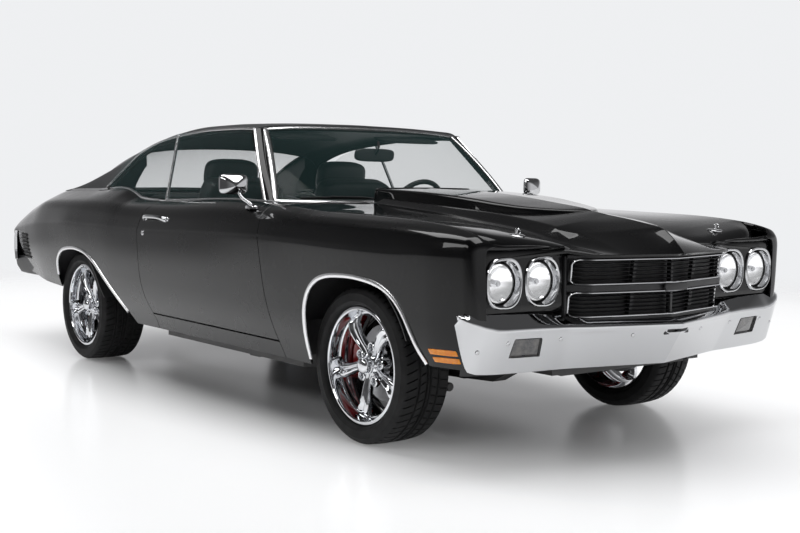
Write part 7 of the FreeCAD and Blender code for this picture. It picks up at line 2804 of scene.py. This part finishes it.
# ---------------------------------------------------------------- studio
@dataclass
class Studio:
    """Pale floor, soft lights and the camera."""

    car: Car
    eye: tuple[float, float, float] = (3921.4, -3651.8, 1077.8)
    yaw: float = 142.56
    pitch: float = -4.07
    roll: float = 0.59
    focal: float = 53.37

    def build(self) -> None:
        """Make the floor, the world, the lights and the camera."""
        bpy.context.scene.view_settings.view_transform = "Standard"
        self.floor()
        self.world()
        self.lamps()
        self.camera()

    def camera(self) -> None:
        """Camera at the front right corner, near hood height."""
        data = bpy.data.cameras.new("camera")
        data.lens = self.focal
        data.sensor_width = 36.0
        data.clip_end = 200.0
        made = bpy.data.objects.new("camera", data)
        yaw, pitch, roll = (math.radians(v) for v in (self.yaw, self.pitch, self.roll))
        look = np.array([math.cos(yaw) * math.cos(pitch), math.sin(yaw) * math.cos(pitch),
                         math.sin(pitch)])
        level = np.array([math.sin(yaw), -math.cos(yaw), 0.0])
        up = np.cross(level, look)
        right = math.cos(roll) * level + math.sin(roll) * up
        up = -math.sin(roll) * level + math.cos(roll) * up
        turn_matrix = Matrix([(right[k], up[k], -look[k]) for k in range(3)])
        made.matrix_world = turn_matrix.to_4x4()
        x, y, z = self.eye
        made.location = ((x + self.car.front_x) * MM, y * MM, z * MM)
        bpy.context.scene.collection.objects.link(made)
        bpy.context.scene.camera = made

    def floor(self) -> None:
        """Polished pale floor that melts into the background, with a painted shadow under the car.
        """
        mesh = bpy.data.meshes.new("studio_floor")
        size = 24.0
        mesh.from_pydata([(-size, -size, -0.001), (size, -size, -0.001), (size, size, -0.001),
                          (-size, size, -0.001)],
                         [], [(0, 1, 2, 3)])
        made = bpy.data.objects.new("studio_floor", mesh)
        bpy.context.scene.collection.objects.link(made)
        material = bpy.data.materials.new("pale_floor")
        tree = Tree(material)
        place = tree.place()
        x, y, _ = tree.split(place)
        away = (x * x + y * y).power(0.5)
        long, wide = x / 2.75, y / 1.15
        shadow_reach = (long * long + wide * wide).power(0.5)
        tree.finish({
            "Base Color": (0.8, 0.805, 0.815, 1.0),
            "Roughness": tree.noise(place, 0.8, 2.0) * 0.06 + 0.17,
            "Specular IOR Level": 0.5,
            # Painted contact shadow: the floor's glow is held back inside an ellipse round the
            # car's footprint.
            "Emission Color": tree.step(shadow_reach, 0.62, 1.25) * 1.0,
            "Emission Strength": 0.4,
            "Alpha": 1 - tree.step(away, 4.5, 9.5),
        })
        mesh.materials.append(material)

    def world(self) -> None:
        """Pale surroundings, dimmer overhead so that gloss keeps its depth."""
        world = bpy.data.worlds.new("studio")
        bpy.context.scene.world = world
        world.use_nodes = True
        nodes, links = world.node_tree.nodes, world.node_tree.links
        nodes.clear()
        out = nodes.new("ShaderNodeOutputWorld")
        path = nodes.new("ShaderNodeLightPath")
        mix = nodes.new("ShaderNodeMixShader")
        seen = nodes.new("ShaderNodeBackground")
        seen.inputs["Color"].default_value = (0.86, 0.87, 0.885, 1)
        seen.inputs["Strength"].default_value = 1.0
        lit = nodes.new("ShaderNodeBackground")
        coords = nodes.new("ShaderNodeTexCoord")
        split = nodes.new("ShaderNodeSeparateXYZ")
        ramp = nodes.new("ShaderNodeValToRGB")
        stops = ((0.0, 0.72), (0.49, 0.74), (0.56, 0.8), (0.64, 0.34), (0.76, 0.08), (1.0, 0.1))
        elements = ramp.color_ramp.elements
        while len(elements) < len(stops):
            elements.new(0.5)
        for element, (place, value) in zip(elements, stops):
            element.position = place
            element.color = (value, value, value * 1.02, 1)
        scale = nodes.new("ShaderNodeMapRange")
        scale.inputs["From Min"].default_value = -1.0
        links.new(coords.outputs["Generated"], split.inputs[0])
        links.new(split.outputs[2], scale.inputs["Value"])
        links.new(scale.outputs[0], ramp.inputs[0])
        links.new(ramp.outputs[0], lit.inputs["Color"])
        side = nodes.new("ShaderNodeMapRange")
        side.inputs["From Min"].default_value = -0.75
        side.inputs["From Max"].default_value = 0.15
        side.inputs["To Min"].default_value = 0.12
        links.new(split.outputs[1], side.inputs["Value"])
        links.new(side.outputs[0], lit.inputs["Strength"])
        links.new(path.outputs["Is Camera Ray"], mix.inputs[0])
        links.new(lit.outputs[0], mix.inputs[1])
        links.new(seen.outputs[0], mix.inputs[2])
        links.new(mix.outputs[0], out.inputs[0])

    def lamps(self) -> None:
        """Large soft boxes over the car and at its sides."""
        self.softbox("overhead_box", (0.6, -0.9, 4.8), (0.2, -0.2, 0.0), (7.0, 2.2), 210.0)
        self.softbox("right_box", (1.0, -6.0, 3.6), (0.3, 0.0, 0.8), (7.0, 1.0), 100.0)
        self.softbox("left_box", (0.0, 6.0, 3.4), (0.0, 0.0, 0.6), (7.0, 1.2), 80.0, False)
        self.softbox("front_box", (7.2, 0.6, 2.6), (1.5, 0.0, 0.4), (4.0, 2.0), 90.0, False)
        self.softbox("rear_box", (-7.2, -0.8, 2.8), (-1.5, 0.0, 0.6), (4.0, 1.6), 60.0, False)

    def softbox(self, name: str, place: tuple, aim: tuple, size: tuple, power: float,
                mirrored: bool = True) -> None:
        """One area light aimed at a point, in metres, mirrored in bright surfaces or not."""
        data = bpy.data.lights.new(name, "AREA")
        data.shape = "RECTANGLE"
        data.size, data.size_y = size
        data.energy = power
        made = bpy.data.objects.new(name, data)
        made.location = place
        made.visible_glossy = mirrored
        made.rotation_euler = (Vector(aim) - Vector(place)).to_track_quat("-Z", "Y").to_euler()
        bpy.context.scene.collection.objects.link(made)


def main() -> None:
    """Build every sub-assembly."""
    logging.basicConfig(level=logging.INFO, format="%(message)s")
    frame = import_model()
    car = Car(frame)
    side = BodySide(car)
    side.build()
    side.trims()
    Greenhouse(car, side).build()
    Screens(car).build()
    HoodSkin(car, side).build()
    Deck(car, side).build()
    LampPanel(car).build()
    Grille(car).build()
    Bumpers(car).build()
    for end in End:
        RoadWheel(car, end).build()
    Fittings(car, side).build()
    Cabin(car).build()
    Machinery(car).build()

    Studio(car).build()
    LOG.info("%d pieces", car.count)


if __name__ == "__main__":
    main()
